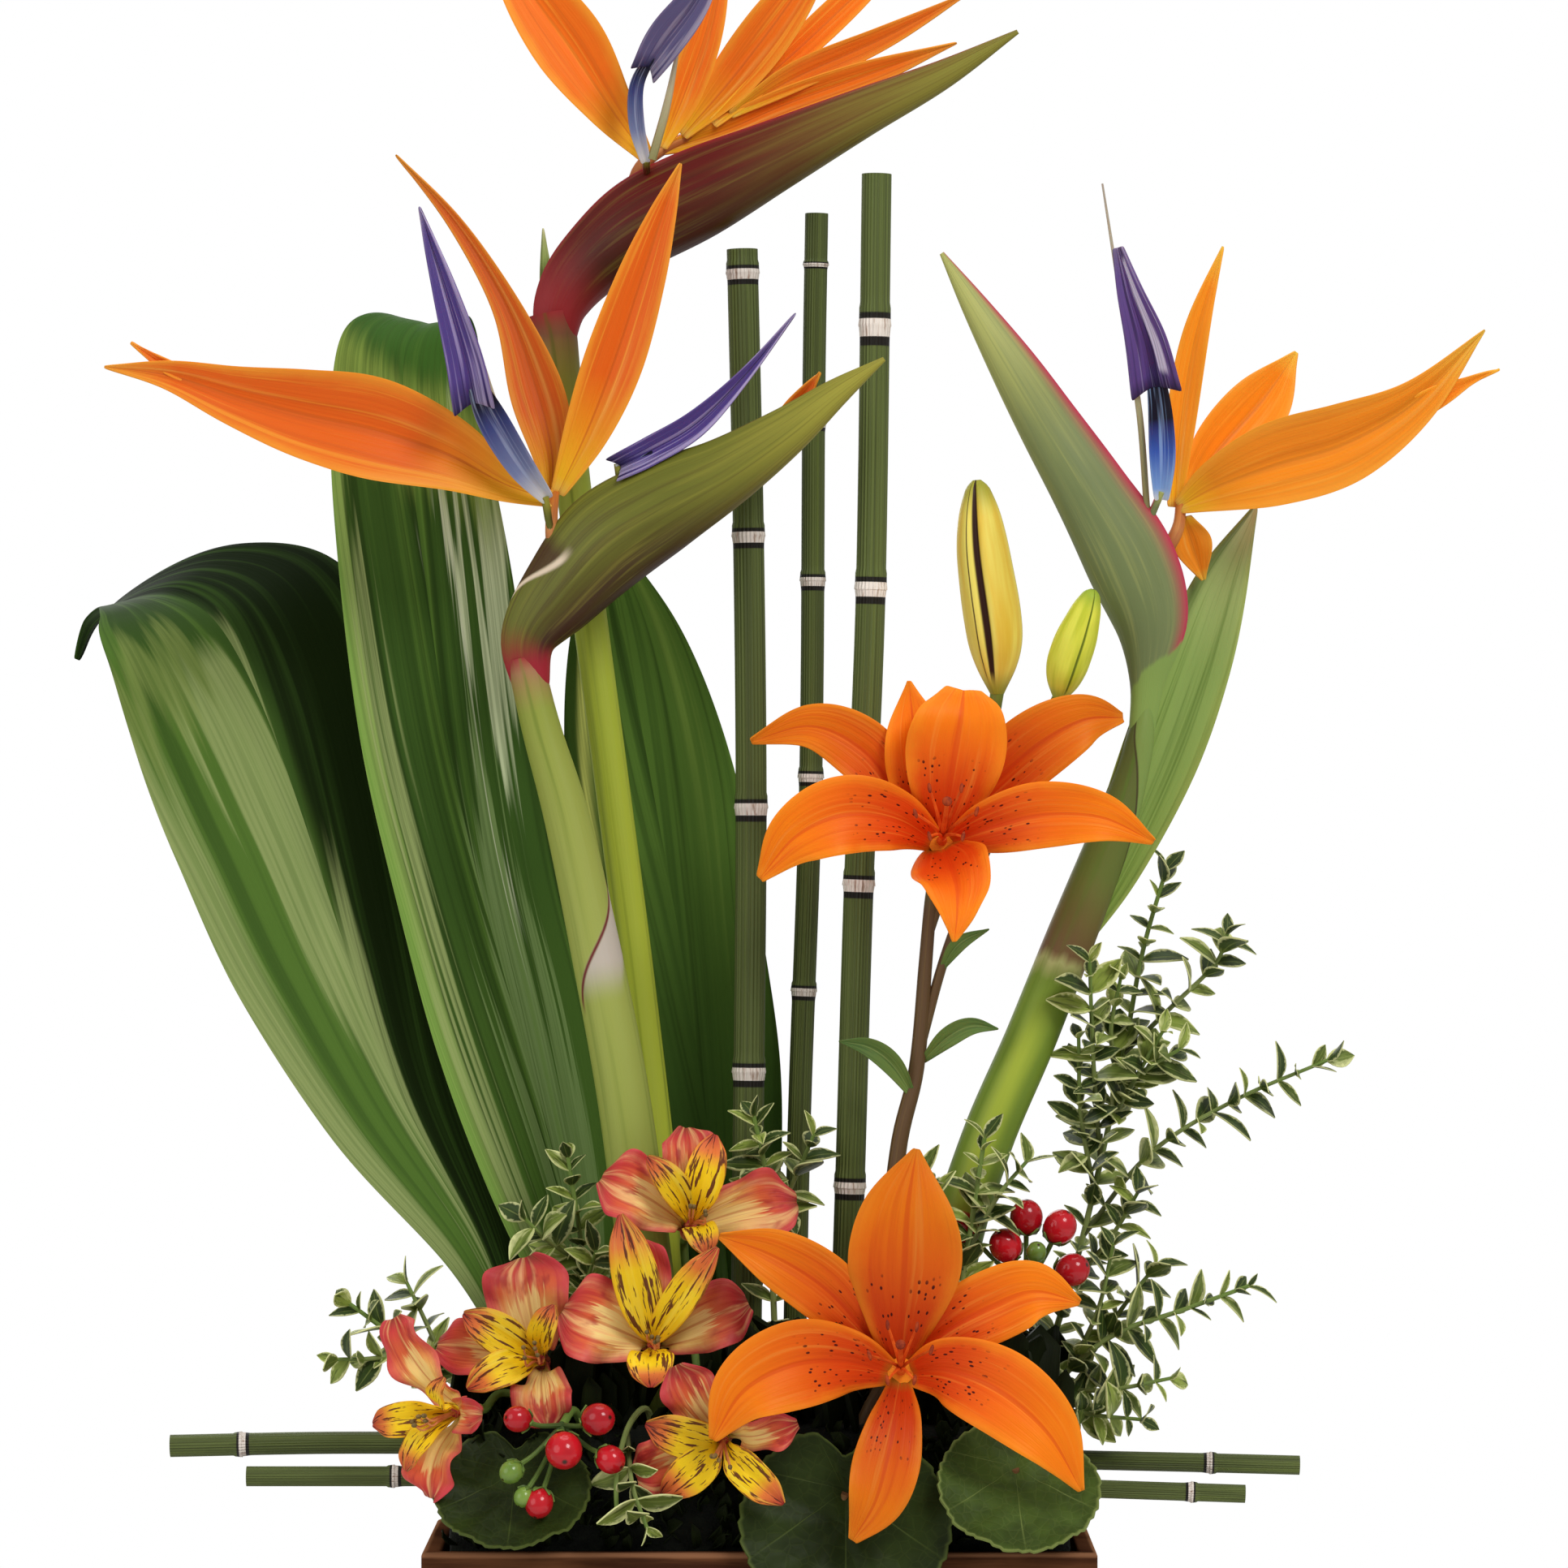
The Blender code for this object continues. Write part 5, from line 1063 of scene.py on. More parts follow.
def tongue_paint(name, foot, main, tip, light, dark):
    # Light streaks are painted sheen, and dark streaks painted shade in the folds.
    return petal_paint(
        name, ((0.0, foot), (0.16, main), (0.8, main), (1.0, tip)),
        streaks=((light, 7.0, 0.7, 0.52, 0.66, 0.75), (dark, 12.0, 0.9, 0.5, 0.7, 0.7)),
        veins=(24.0, 1.4, 0.3), roughness=0.45)


def bird_paints(stems, flowers):
    red, olive, green = tuple(stems.beak_red), tuple(stems.beak_olive), tuple(stems.bird_green)
    violet, lilac, night = tuple(flowers.violet), tuple(flowers.lilac), screen(34, 26, 62)
    neck, brown, sheath = screen(160, 46, 50), screen(68, 40, 22), screen(140, 166, 84)
    return {
        "bird_top": (
            beak_paint("top beak", screen(96, 18, 12), screen(70, 30, 10), screen(140, 134, 50),
                       screen(158, 34, 46), neck, (0.09, 0.3), edge_end=0.2, keel_at=0.1),
            # The top stem's bright yellow-green from a fifth to halfway up is partly its own colour and partly painted
            # highlight.
            stem_paint("top stem", ((0.0, screen(124, 138, 36)), (0.2, screen(186, 198, 62)),
                                    (0.55, screen(166, 178, 56)), (0.8, screen(146, 160, 60)),
                                    (0.9, screen(134, 92, 62)), (1.0, neck)), screen(84, 104, 32)),
            sepal_paint("orange sepal, top", screen(244, 116, 16), flowers),
        ),
        "bird_left": (
            beak_paint("left beak", screen(108, 110, 36), brown, screen(166, 158, 60), screen(128, 44, 34), red,
                       (0.05, 0.16), keel_at=0.22,
                       line=(screen(236, 214, 186), screen(70, 30, 18), 0.36, 0.15, 0.32)),
            stem_paint("left stem", ((0.0, green), (0.5, screen(164, 172, 84)), (0.8, screen(150, 160, 66)),
                                     (0.93, screen(172, 124, 86)), (1.0, red)), screen(112, 130, 44),
                       # The seam's pale patch on the left stem is a painted highlight.
                       seam=(screen(112, 36, 40), screen(206, 190, 186), 0.46, 0.57, 0.08, 0.5, 0.3)),
            sepal_paint("orange sepal, left", screen(232, 102, 14), flowers),
        ),
        "bird_right": (
            beak_paint("right beak", screen(130, 140, 92), screen(116, 128, 80), screen(190, 190, 108),
                       screen(196, 50, 84), sheath, (0.085, 0.1), slant=0.13, edge_end=0.34),
            stem_paint("right stem", ((0.0, screen(112, 138, 44)), (0.5, screen(120, 144, 46)),
                                      (0.52, screen(176, 174, 110)), (0.53, screen(118, 88, 56)),
                                      (0.565, screen(118, 102, 52)), (0.62, screen(106, 118, 50)),
                                      (1.0, screen(84, 92, 46))),
                       screen(92, 120, 38), seam=(screen(74, 66, 34), sheath, 0.55, 1.0, 0.5, 0.1, 0.5),
                       highlight_stripe=(screen(184, 198, 66), 0.16, 0.3, 0.5)),
            sepal_paint("orange sepal, right", screen(255, 148, 22), flowers, screen(252, 206, 70)),
        ),
        # The sheath's left edge is darkened by side as painted shade.
        "sheath": petal_paint(
            "sheath", ((0.0, screen(140, 164, 70)), (0.6, screen(150, 176, 92)), (0.85, screen(178, 194, 120)),
                       (1.0, screen(222, 218, 160))), side=(screen(66, 80, 36), 0.34, 0.02, 0.8),
            streaks=((screen(96, 124, 44), 18.0, 1.5, 0.45, 0.7, 0.7),), edge=(screen(170, 180, 90), 0.75, 1.0, 0.5),
            roughness=0.45, subsurface=0.03),
        "violet": tongue_paint("violet tongue", night, violet, screen(120, 106, 142), lilac, night),
        "lilac": petal_paint(
            "lilac tongue", ((0.0, screen(40, 26, 60)), (0.1, screen(92, 66, 128)), (0.8, screen(104, 78, 140)),
                             (1.0, screen(120, 104, 140))),
            # Night streaks are painted shade; the lilac streaks and the pale patch are painted highlights on the folds.
            streaks=((night, 9.0, 0.5, 0.48, 0.66, 0.8), (lilac, 14.0, 0.7, 0.56, 0.7, 0.6)),
            patches=((screen(226, 216, 234), 0.9, (0.66, 0.6), (0.86, 0.76), 0.12, 0.9, 0.12),),
            veins=(24.0, 1.4, 0.3), roughness=0.45),
        "blue strap": petal_paint(
            "blue foot", ((0.0, screen(236, 232, 226)), (0.1, screen(126, 164, 216)), (0.38, screen(60, 94, 178)),
                          (0.54, screen(44, 50, 112)), (0.6, screen(20, 16, 34)), (1.0, screen(20, 16, 34))),
            streaks=((screen(150, 184, 226), 6.0, 0.8, 0.5, 0.66, 0.7),), veins=(20.0, 1.4, 0.3), roughness=0.45),
        "grey": tongue_paint("grey tongue", night, screen(96, 90, 128), screen(150, 138, 150),
                             screen(168, 158, 176), screen(56, 50, 92)),
        "strap": petal_paint(
            "tongue foot", ((0.0, screen(222, 216, 206)), (0.3, screen(118, 128, 164)), (0.62, screen(56, 66, 122)),
                            (0.8, screen(24, 24, 46)), (1.0, screen(18, 16, 34))),
            streaks=((screen(164, 174, 200), 6.0, 0.8, 0.5, 0.66, 0.6),), veins=(20.0, 1.4, 0.3), roughness=0.45),
        "foot": petal_paint(
            "foot of the fan", ((0.0, screen(150, 60, 40)), (0.5, screen(222, 150, 84)), (1.0, screen(238, 132, 40))),
            streaks=((screen(176, 84, 52), 6.0, 1.0, 0.45, 0.7, 0.6),)),
        "thread": petal_paint(
            "tongue thread", ((0.0, screen(150, 144, 92)), (0.6, screen(190, 180, 142)), (1.0, screen(176, 164, 146))),
            roughness=0.6),
    }


def tongue(plan, root, paints, root_paint, thick):
    """A violet arrowhead on a blue foot, with a pale thread behind it."""
    size = plan["thread_radius"]
    return [
        tube(root, [1.3, 1.3], root_paint, 10, 2),
        blade(plan["strap"], plan["strap_half"], paints[plan["foot"]], rows=12, columns=6, cup=0.7, thick=thick),
        blade(plan["arrow"], plan["arrow_half"], paints[plan["shade"]], rows=26, columns=10, cup=0.75, thick=thick,
              groove=0.25, barb=4.0),
        tube(plan["thread"], [size, size * 0.9, size * 0.3], paints["thread"], 8, 18),
    ]


def bird_of_paradise(name, paints, thick):
    plan = BIRDS[name]
    beak_colour, stem_colour, orange = paints[name]
    parts = [beak(plan, beak_colour), tube(plan["stem"], plan["radii"], stem_colour, 28, 72)]
    if name == "bird_right":
        parts.append(blade(SHEATH["spine"], SHEATH["half_widths"], paints["sheath"], ((0.3, -1, 0),), rows=30,
                           cup=0.5, thick=1.1))
    if name == "bird_top":
        parts.append(blade(THORN["spine"], THORN["half_widths"], paints["sheath"], rows=8, columns=4, thick=thick))
    fit(name + "_stalk_and_beak", parts, "bird_green", name + "_stem_and_beak")
    sepals = [tube(plan["root"], [2.6, 1.6], paints["foot"], 12, tone=0.3)]
    chance = random.Random(name)
    for sepal in plan["sepals"]:
        sepals.append(blade(sepal["spine"], sepal["half_widths"], orange, rows=34, columns=8, cup=0.45,
                            thick=thick, groove=0.14, ruffle=0.4, waves=2, tone=chance.random()))
    fit(name + "_orange_fan", sepals, "bird_orange", name + "_sepals")
    for letter, shape_plan in plan["tongues"].items():
        parts = tongue(shape_plan, plan["tongue_roots"][letter], paints, beak_colour, thick)
        fit(f"{name}_violet_tongue_{letter}", parts, "bird_blue", f"{name}_tongue_{letter}")


# Lilies: tepals written from the throat to the tip, in the order top, then leftwards round.
LILIES = {
    "lily_upper": {
        "throat": [(60, -8, 331), (60, -20, 331)],
        "tepals": [
            {"spine": [(60, -16, 333), (62, -27, 346), (64, -34, 360), (66, -36, 372), (67, -30, 381)],
             "half_widths": [3.5, 12, 16.5, 14.5, 6]},
            {"spine": [(58, -16, 334), (54, -25, 349), (51, -29, 366), (49, -27, 384)],
             "half_widths": [3, 10.5, 10, 0.5]},
            {"spine": [(59, -15, 332), (47, -23, 345), (34, -27, 361), (17, -26, 369), (-3, -20, 364)],
             "half_widths": [3, 8, 10.5, 7.5, 1]},
            {"spine": [(59, -17, 330), (45, -32, 338), (28, -41, 340), (12, -43, 333), (0, -38, 319)],
             "half_widths": [3, 10, 13, 10, 1.5]},
            {"spine": [(60, -18, 329), (62, -36, 324), (64, -52, 317), (64, -62, 309), (63, -66, 299)],
             "half_widths": [6, 13, 11.5, 7, 0.5]},
            {"spine": [(61, -17, 330), (76, -32, 336), (93, -41, 340), (112, -43, 339), (129, -38, 331)],
             "half_widths": [3, 9, 11, 8, 1]},
            {"spine": [(61, -15, 332), (75, -22, 348), (90, -26, 362), (106, -25, 371), (120, -18, 372)],
             "half_widths": [3, 10, 12, 9, 1.5]},
        ],
        "stamens": [(60, -20, 331), (0.03, -0.93, 0.36)],
    },
    "lily_lower": {
        "throat": [(46, -34, 158), (46, -48, 159)],
        "tepals": [
            {"spine": [(46, -44, 161), (46, -54, 175), (47, -61, 194), (48, -63, 213), (51, -59, 232)],
             "half_widths": [3.5, 11, 18.5, 15, 1]},
            {"spine": [(44, -44, 160), (33, -54, 174), (20, -63, 188), (4, -66, 198), (-13, -64, 204)],
             "half_widths": [3, 7.5, 11, 9, 1]},
            {"spine": [(44, -46, 158), (28, -59, 163), (11, -71, 163), (-5, -76, 155), (-15, -73, 139)],
             "half_widths": [3.5, 11, 14.5, 11, 1.5]},
            {"spine": [(46, -47, 156), (44, -60, 144), (41, -67, 131), (37, -70, 118), (30, -68, 106)],
             "half_widths": [3.5, 8.5, 11, 9, 1.5]},
            {"spine": [(48, -46, 158), (61, -58, 160), (78, -68, 154), (93, -72, 141), (104, -68, 122)],
             "half_widths": [3.5, 11, 14, 11, 1]},
            {"spine": [(48, -44, 160), (60, -53, 172), (75, -60, 181), (89, -62, 186), (104, -58, 182)],
             "half_widths": [3.5, 9.5, 12, 10, 1]},
        ],
        "stamens": [(46, -48, 159), (-0.02, -0.95, 0.3)],
    },
}
LILY_STEM_UPPER = [
    (36, -20, 84), (38, -19, 128), (42, -14, 190), (46, -10, 230), (52, -6, 256), (55, -2, 290),
    (57, 2, 312), (59.5, 1, 327), (60, -7.5, 331),
]
LILY_STEM_LOWER = [(24, -24, 96), (29, -24, 122), (36, -24, 143), (44, -26, 156), (46, -33.6, 158)]
BUD_STALKS = (
    [(56, 0, 300), (62, 4, 318), (72, 5, 350), (77, 4, 368), (79, 3, 380.5)],
    [(53, -5, 262), (62, -1, 294), (76, 0, 330), (90, -3, 360), (98.8, -9.6, 378)],
)
LILY_LEAVES = (
    ([(51, -8, 246), (44, -12, 257), (36, -14, 263), (26, -14, 265)], [1.0, 3.6, 3.2, 0.2]),
    ([(54, -5, 258), (62, -11, 266), (70, -14, 270), (79, -14, 269)], [1.0, 3.4, 3.0, 0.2]),
    ([(60, -1, 288), (66, -8, 297), (76, -11, 302)], [0.8, 2.6, 0.2]),
)
BUDS = {
    "lily_bud_large": {
        "path": [(79, 3, 380), (78, 2, 400), (74, -1, 428), (72, -3, 451)], "slot": "bud_yellow",
        "radii": [2.3, 6.4, 9.0, 9.7, 9.3, 8.4, 6.5, 3.0], "groove": 0.205, "width": 0.028, "line": -0.06,
        "depth": 0.22,
    },
    "lily_bud_small": {
        "path": [(99, -10, 378), (102, -14, 390), (106, -18, 402), (110, -21, 414)], "slot": "bud_green",
        "radii": [1.9, 5.2, 6.8, 7.1, 6.8, 5.8, 4.5, 2.2], "groove": 0.3, "width": 0.012, "line": 0.0,
        "depth": 0.09,
    },
}


def lily_paint(settings):
    orange, throat = tuple(settings.lily), tuple(settings.lily_throat)
    # From the throat to the middle of each tepal, and along its midrib, the deeper orange is partly the lily's own
    # colour and partly painted shade.
    return petal_paint(
        "lily tepal", ((0.0, screen(150, 120, 30)), (0.08, throat), (0.3, screen(222, 74, 12)),
                       (0.52, screen(240, 104, 12)), (0.74, orange), (0.92, orange), (1.0, screen(250, 142, 26))),
        streaks=((throat, 9.0, 0.9, 0.47, 0.76, 0.5), (screen(248, 146, 52), 15.0, 1.0, 0.52, 0.74, 0.5)),
        edge=(screen(250, 144, 28), 0.62, 1.0, 0.6), rib=(throat, 0.08, 0.5),
        spots=(tuple(settings.freckle), 15.0, 24.0, 0.25, 0.1, 0.46), veins=(26.0, 1.5, 0.5), subsurface=0.1,
        specular=0.15)


def lily_flower(name, settings, paint, stamen, tip):
    plan = LILIES[name]
    thick = settings.thickness / MM
    parts = [tube(plan["throat"], [3.4, 4.4], paint, 20, 6)]
    chance = random.Random(name)
    for tepal in plan["tepals"]:
        parts.append(blade(tepal["spine"], tepal["half_widths"], paint, rows=34, columns=10, cup=0.16, thick=thick,
                           groove=0.09, ruffle=0.8, waves=2.6, tone=chance.random()))
    fit(name + "_open_flower", parts, "lily_orange", name + "_tepals")
    start, way = Vector(plan["stamens"][0]), Vector(plan["stamens"][1]).normalized()
    across = way.cross(UP).normalized()
    upward = across.cross(way)
    parts = [tube([start + way * 0.9, start + way * 3.5], [1.8, 1.2], stamen, 12, 3)]
    for k in range(6):
        angle = math.tau * k / 6 + chance.uniform(-0.15, 0.15)
        out = across * math.cos(angle) + upward * math.sin(angle)
        path = [start + way * 2, start + way * 9 + out * 1.4, start + way * 18 + out * 5, start + way * 27 + out * 10]
        parts.append(tube(path, [0.8, 0.6, 0.5, 0.35], stamen, 8, 12, tone=chance.random()))
        bead = (upward + out * 0.3).normalized()
        parts.append(ball(path[-1], 0.7, tip, 2.6, bead, 10, 8))
    parts.append(tube([start + way * 2, start + way * 18, start + way * 34 + upward], [1.0, 0.8, 0.7], stamen, 8, 12))
    parts.append(ball(start + way * 34.5 + upward, 1.7, tip, 0.7, way, 12, 8))
    return fit(name + "_filaments", parts, "lily_stamen", name + "_stamens")


def bud_paint(name, main, shade, tip, dark):
    paint = Paint(name, roughness=0.45, subsurface=0.05)
    colour = paint.blend(paint.lines(9.0, 1.0, 0.4, 0.68), main, shade)
    colour = paint.blend(paint.fade(paint.length, 0.8, 1.0), colour, tip)
    colour = paint.blend(paint.fade(paint.length, 0.0, 0.16, 1.0, 0.0), colour, tip)
    share = paint.fade(paint.read("groove"), 0.3, 0.7)
    colour = paint.blend(paint.calc("MULTIPLY", share, paint.fade(paint.length, 0.03, 0.14)), colour, dark)
    return paint.done(colour, paint.bump(paint.noise(paint.sheet_vector(60.0, 2.0, 9.0)), 0.3, 0.6))


def bud(name, paint):
    """A closed bud. Three long grooves show where its outer tepals meet, each with a thin line beside it."""
    plan = BUDS[name]
    path = vectors(plan["path"])
    rows, sides = 44, 90
    points = [along(path, i / rows) for i in range(rows + 1)]
    ways = frames(points)
    thing = sheet(sides, rows)

    def in_groove(around, beside=0.0, width=plan["width"]):
        near = min(abs(math.remainder(around - plan["groove"] - beside - k / 3, 1.0)) for k in range(3))
        return math.exp(-((near / width) ** 2))

    turns = [(vert.co.x + 1) / 2 for vert in thing.data.vertices]
    mark(thing, "groove", [max(in_groove(turn), 0.7 * in_groove(turn, plan["line"], 0.009)) for turn in turns])

    def place_at(across, share):
        index = round(share * rows)
        _, side, other = ways[index]
        around = (across + 1) / 2
        angle = around * math.tau
        radius = along(plan["radii"], share) * (1.0 if share < 0.97 else 1.0 - 18 * (share - 0.97))
        radius *= 1 - plan["depth"] * in_groove(around) * min(share * 5, 1) + 0.03 * math.cos(
            6 * math.tau * (around - plan["groove"]) / 2)
        return points[index] + (side * math.cos(angle) + other * math.sin(angle)) * radius

    close_round(shape(thing, place_at, 0.5, paint))
    return fit(name + "_closed", [thing], plan["slot"], name)


def lily_stems(stems, leaf_paint, bud_paints):
    brown = stem_paint(
        "lily stem", ((0.0, tuple(stems.lily_brown)), (0.72, tuple(stems.lily_brown)), (0.85, screen(104, 114, 46)),
                      (1.0, screen(124, 138, 52))), screen(126, 104, 60))
    parts = [tube(LILY_STEM_UPPER, [3.4, 3.2, 3.0, 2.8, 2.6, 2.3, 2.1, 2.0, 1.8], brown, 16, 60)]
    for path in BUD_STALKS:
        parts.append(tube(path, [1.7, 1.7, 1.8, 2.0, 2.3], brown, 12, 30))
    for spine, widths in LILY_LEAVES:
        parts.append(blade(spine, widths, leaf_paint, rows=16, columns=6, cup=0.35, thick=0.6, groove=0.1))
    fit("lily_upper_stalk", parts, "lily_green", "lily_stem_upper")
    fit("lily_lower_stalk", [tube(LILY_STEM_LOWER, [3.2, 2.6], brown, 16, 30)], "lily_green", "lily_stem_lower")
    for name, paint in zip(BUDS, bud_paints):
        bud(name, paint)


# Alstroemeria: each bloom's throat, the way it faces, its stem's lead and its petals. A petal is its angle,
# its length and its half width. The angle is as the viewer sees it, from the right and up over the top.
BLOOMS = {
    "a": {
        "throat": (-22, -26, 207), "way": (0.12, -0.9, 0.35), "lead": (-25, 3, 192), "lift": 1.0,
        "outer": ((155, 33, 12), (92, 31, 9), (8, 35, 11.5)),
        "inner": ((74, 27, 6.8), (130, 24, 5.5), (280, 16, 6)),
    },
    "b": {
        "throat": (-35, -44, 168), "way": (-0.05, -0.97, 0.2), "lead": (-30, -18, 160), "lift": 1.0,
        "outer": ((160, 31, 14), (98, 34, 9), (22, 34, 11)),
        "inner": ((104, 42, 8), (54, 37, 6), (272, 16, 8)),
    },
    "c": {
        "throat": (-73, -40, 163), "way": (-0.15, -0.95, 0.25), "lead": (-70, -14, 152), "lift": 1.0,
        "outer": ((99, 33, 14), (175, 33, 9), (283, 24, 10)),
        "inner": ((152, 26, 7), (212, 24, 6.5), (65, 17, 5)),
    },
    "d": {
        "throat": (-102, -57, 146), "way": (-0.55, -0.8, 0.0), "lead": (-84, -28, 150), "lift": 1.0,
        "outer": ((122, 36, 8.5), (2, 17, 6), (262, 28, 9)),
        "inner": ((190, 22, 6), (246, 20, 5), (60, 15, 4)),
    },
    "e": {
        "throat": (-12, -61, 136), "way": (-0.05, -0.95, -0.2), "lead": (-14, -40, 146), "lift": 0.5,
        "outer": ((200, 30, 11), (118, 31, 9), (18, 26, 6)),
        "inner": ((160, 26, 7.5), (218, 25, 7), (318, 27, 6.5)),
    },
}
OUTER_FOOT = ((2.2, -12), (5.0, -6))
OUTER_RISE = ((0.42, 1), (0.74, 4), (1.0, 2))
OUTER_HALF = (0.13, 0.26, 0.5, 0.79, 0.98, 1.04, 0.9, 0.3)
INNER_FOOT = ((1.2, -8), (3.5, 0))
INNER_RISE = ((0.33, 7), (0.67, 11), (1.0, 10))
INNER_HALF = (0.15, 0.3, 0.6, 0.86, 0.98, 0.92, 0.68, 0.12)


def bloom_paints(settings):
    coral, pink, yellow = tuple(settings.coral), tuple(settings.pink), tuple(settings.yellow)
    outer = petal_paint(
        "coral petal", ((0.0, screen(160, 166, 50)), (0.2, screen(248, 214, 112)), (0.46, screen(244, 196, 104)),
                        (0.68, coral), (0.88, screen(198, 56, 52)), (1.0, screen(130, 56, 38))),
        streaks=(
            (screen(190, 46, 44), 12.0, 1.4, 0.46, 0.66, 0.7), (screen(250, 204, 132), 7.0, 1.0, 0.46, 0.68, 0.7),
            (screen(164, 34, 38), 4.0, 3.0, 0.52, 0.66, 0.75, (-0.1, 1.1), (0.62, 1.1)),
        ),
        patches=((screen(252, 218, 136), 0.8, (0.2, 0.34), (0.8, 0.62), 0.16, 0.66, 0.5),),
        edge=(pink, 0.5, 1.0, 0.85), rib=(screen(190, 80, 36), 0.06, 0.5), veins=(24.0, 1.6, 0.6), subsurface=0.1,
        wander=0.5)
    inner = petal_paint(
        "yellow petal", ((0.0, screen(206, 186, 40)), (0.2, yellow), (0.66, yellow), (0.8, screen(228, 120, 50)),
                         (1.0, screen(184, 54, 48))),
        streaks=((screen(250, 224, 80), 5.0, 0.7, 0.5, 0.7, 0.5), (tuple(settings.streak), 12.0, 4.5, 0.55, 0.59, 0.95)),
        edge=(screen(232, 150, 40), 0.8, 1.05, 0.5), veins=(24.0, 1.6, 0.4), subsurface=0.1)
    return outer, inner


def petal_round(bloom, petal, foot, rise, half, paint, tone, thick, ruffle):
    """One petal of a bloom. Its foot and its rise give distance from the axis and height along it."""
    throat, way = Vector(bloom["throat"]), Vector(bloom["way"]).normalized()
    degrees, length, width = petal
    angle = math.radians(degrees)
    right = UP.cross(way).normalized()
    out = right * math.cos(angle) + way.cross(right) * math.sin(angle)
    spine = [throat + out * reach + way * height for reach, height in foot]
    spine += [throat + out * length * share + way * height * bloom["lift"] for share, height in rise]
    widths = [width * share for share in half]
    return blade(spine, widths, paint, (way - out * 0.9, way, way + out * 0.1), rows=20, columns=10, cup=0.12,
                 thick=thick, groove=0.12, ruffle=ruffle, waves=2.8, tone=tone)


def alstroemeria_bloom(letter, paints, stamen, tip, thick):
    bloom = BLOOMS[letter]
    throat, way = Vector(bloom["throat"]), Vector(bloom["way"]).normalized()
    chance = random.Random("bloom " + letter)
    outer_paint, inner_paint = paints
    outer = [tube([throat - way * 19, throat - way * 15, throat - way * 10.5], [1.7, 2.7, 2.9], outer_paint, 14, 8)]
    for petal in bloom["outer"]:
        outer.append(petal_round(bloom, petal, OUTER_FOOT, OUTER_RISE, OUTER_HALF, outer_paint, chance.random(),
                                 thick, 2.9))
    fit(f"alstroemeria_{letter}_coral_petals", outer, "alstroemeria_coral", f"alstroemeria_{letter}_outer")
    inner = [tube([throat - way * 9.6, throat - way * 5.2], [1.5, 2.0], inner_paint, 12, 4)]
    for petal in bloom["inner"]:
        inner.append(petal_round(bloom, petal, INNER_FOOT, INNER_RISE, INNER_HALF, inner_paint, chance.random(),
                                 thick, 0.6))
    across = way.cross(UP).normalized()
    down = way.cross(across)
    for k in range(5):
        out = across * chance.uniform(-3.5, 3.5) + down * chance.uniform(0.0, 5.0)
        reach = chance.uniform(12, 16)
        path = [throat - way * 6, throat + way * 3 + out * 0.5, throat + way * reach * 0.7 + out,
                throat + way * reach + out - down * 2]
        inner.append(tube(path, [0.5, 0.45, 0.35, 0.3], stamen, 6, 9))
        inner.append(ball(path[-1], 0.8, tip, 1.6, way, 8, 6))
    fit(f"alstroemeria_{letter}_yellow_petals", inner, "alstroemeria_yellow", f"alstroemeria_{letter}_inner")


def alstroemeria_stems(paint):
    """Two stems, each forked to the backs of its blooms."""
    for name, root, fork, letters in (
        ("alstroemeria_stem_middle", (-14, -18, 90), (-20, -26, 150), "abe"),
        ("alstroemeria_stem_left", (-60, -26, 90), (-68, -30, 146), "cd"),
    ):
        fork_place, root_place = Vector(fork), Vector(root)
        parts = [tube([root_place, root_place.lerp(fork_place, 0.5), fork_place], [2.6, 2.4], paint, 12, 12)]
        for letter in letters:
            bloom = BLOOMS[letter]
            throat, way = Vector(bloom["throat"]), Vector(bloom["way"]).normalized()
            path = [fork_place - UP, Vector(bloom["lead"]), throat - way * 22, throat - way * 18.6]
            parts.append(tube(path, [1.5, 1.4, 1.5, 1.8], paint, 10, 24))
        fit(name + "_forked", parts, "alstroemeria_green", name)


# Hypericum: ripe and green berries as (place, radius), on twigs from one fork.
BERRIES = {
    "hypericum_left": {
        "stem": [(-50, -22, 100), (-54, -28, 126), (-60, -42, 145), (-64, -54, 142)],
        "ripe": [
            ((-78, -65, 145), 4.6), ((-63, -67, 135), 6.4), ((-52, -66, 145), 5.6), ((-48, -66, 132), 4.9),
            ((-71, -67, 118), 4.9),
        ],
        "green": [((-80, -66, 128), 4.0), ((-76, -67, 120), 3.4)],
    },
    "hypericum_right": {
        "stem": [(76, 8, 100), (79, 5, 140), (84, -4, 166), (88, -12, 184)],
        "ripe": [
            ((67, -20, 204), 5.4), ((81, -22, 198), 5.8), ((88, -17, 207), 5.8), ((99, -20, 204), 5.8),
            ((103, -22, 190), 5.8),
        ],
        "green": [((91, -24, 196), 3.6)],
    },
}


def berry_paint(name, main, shade, roughness):
    paint = Paint(name, roughness=roughness, coat=0.4, subsurface=0.05)
    pattern = paint.noise(paint.object_vector(110.0, 110.0, 110.0), detail=2.0)
    colour = paint.blend(paint.fade(pattern, 0.35, 0.8), main, shade)
    colour = paint.blend(paint.fade(paint.length, 0.93, 0.98), colour, screen(60, 30, 20))
    return paint.done(colour, paint.bump(pattern, 0.05, 0.3))


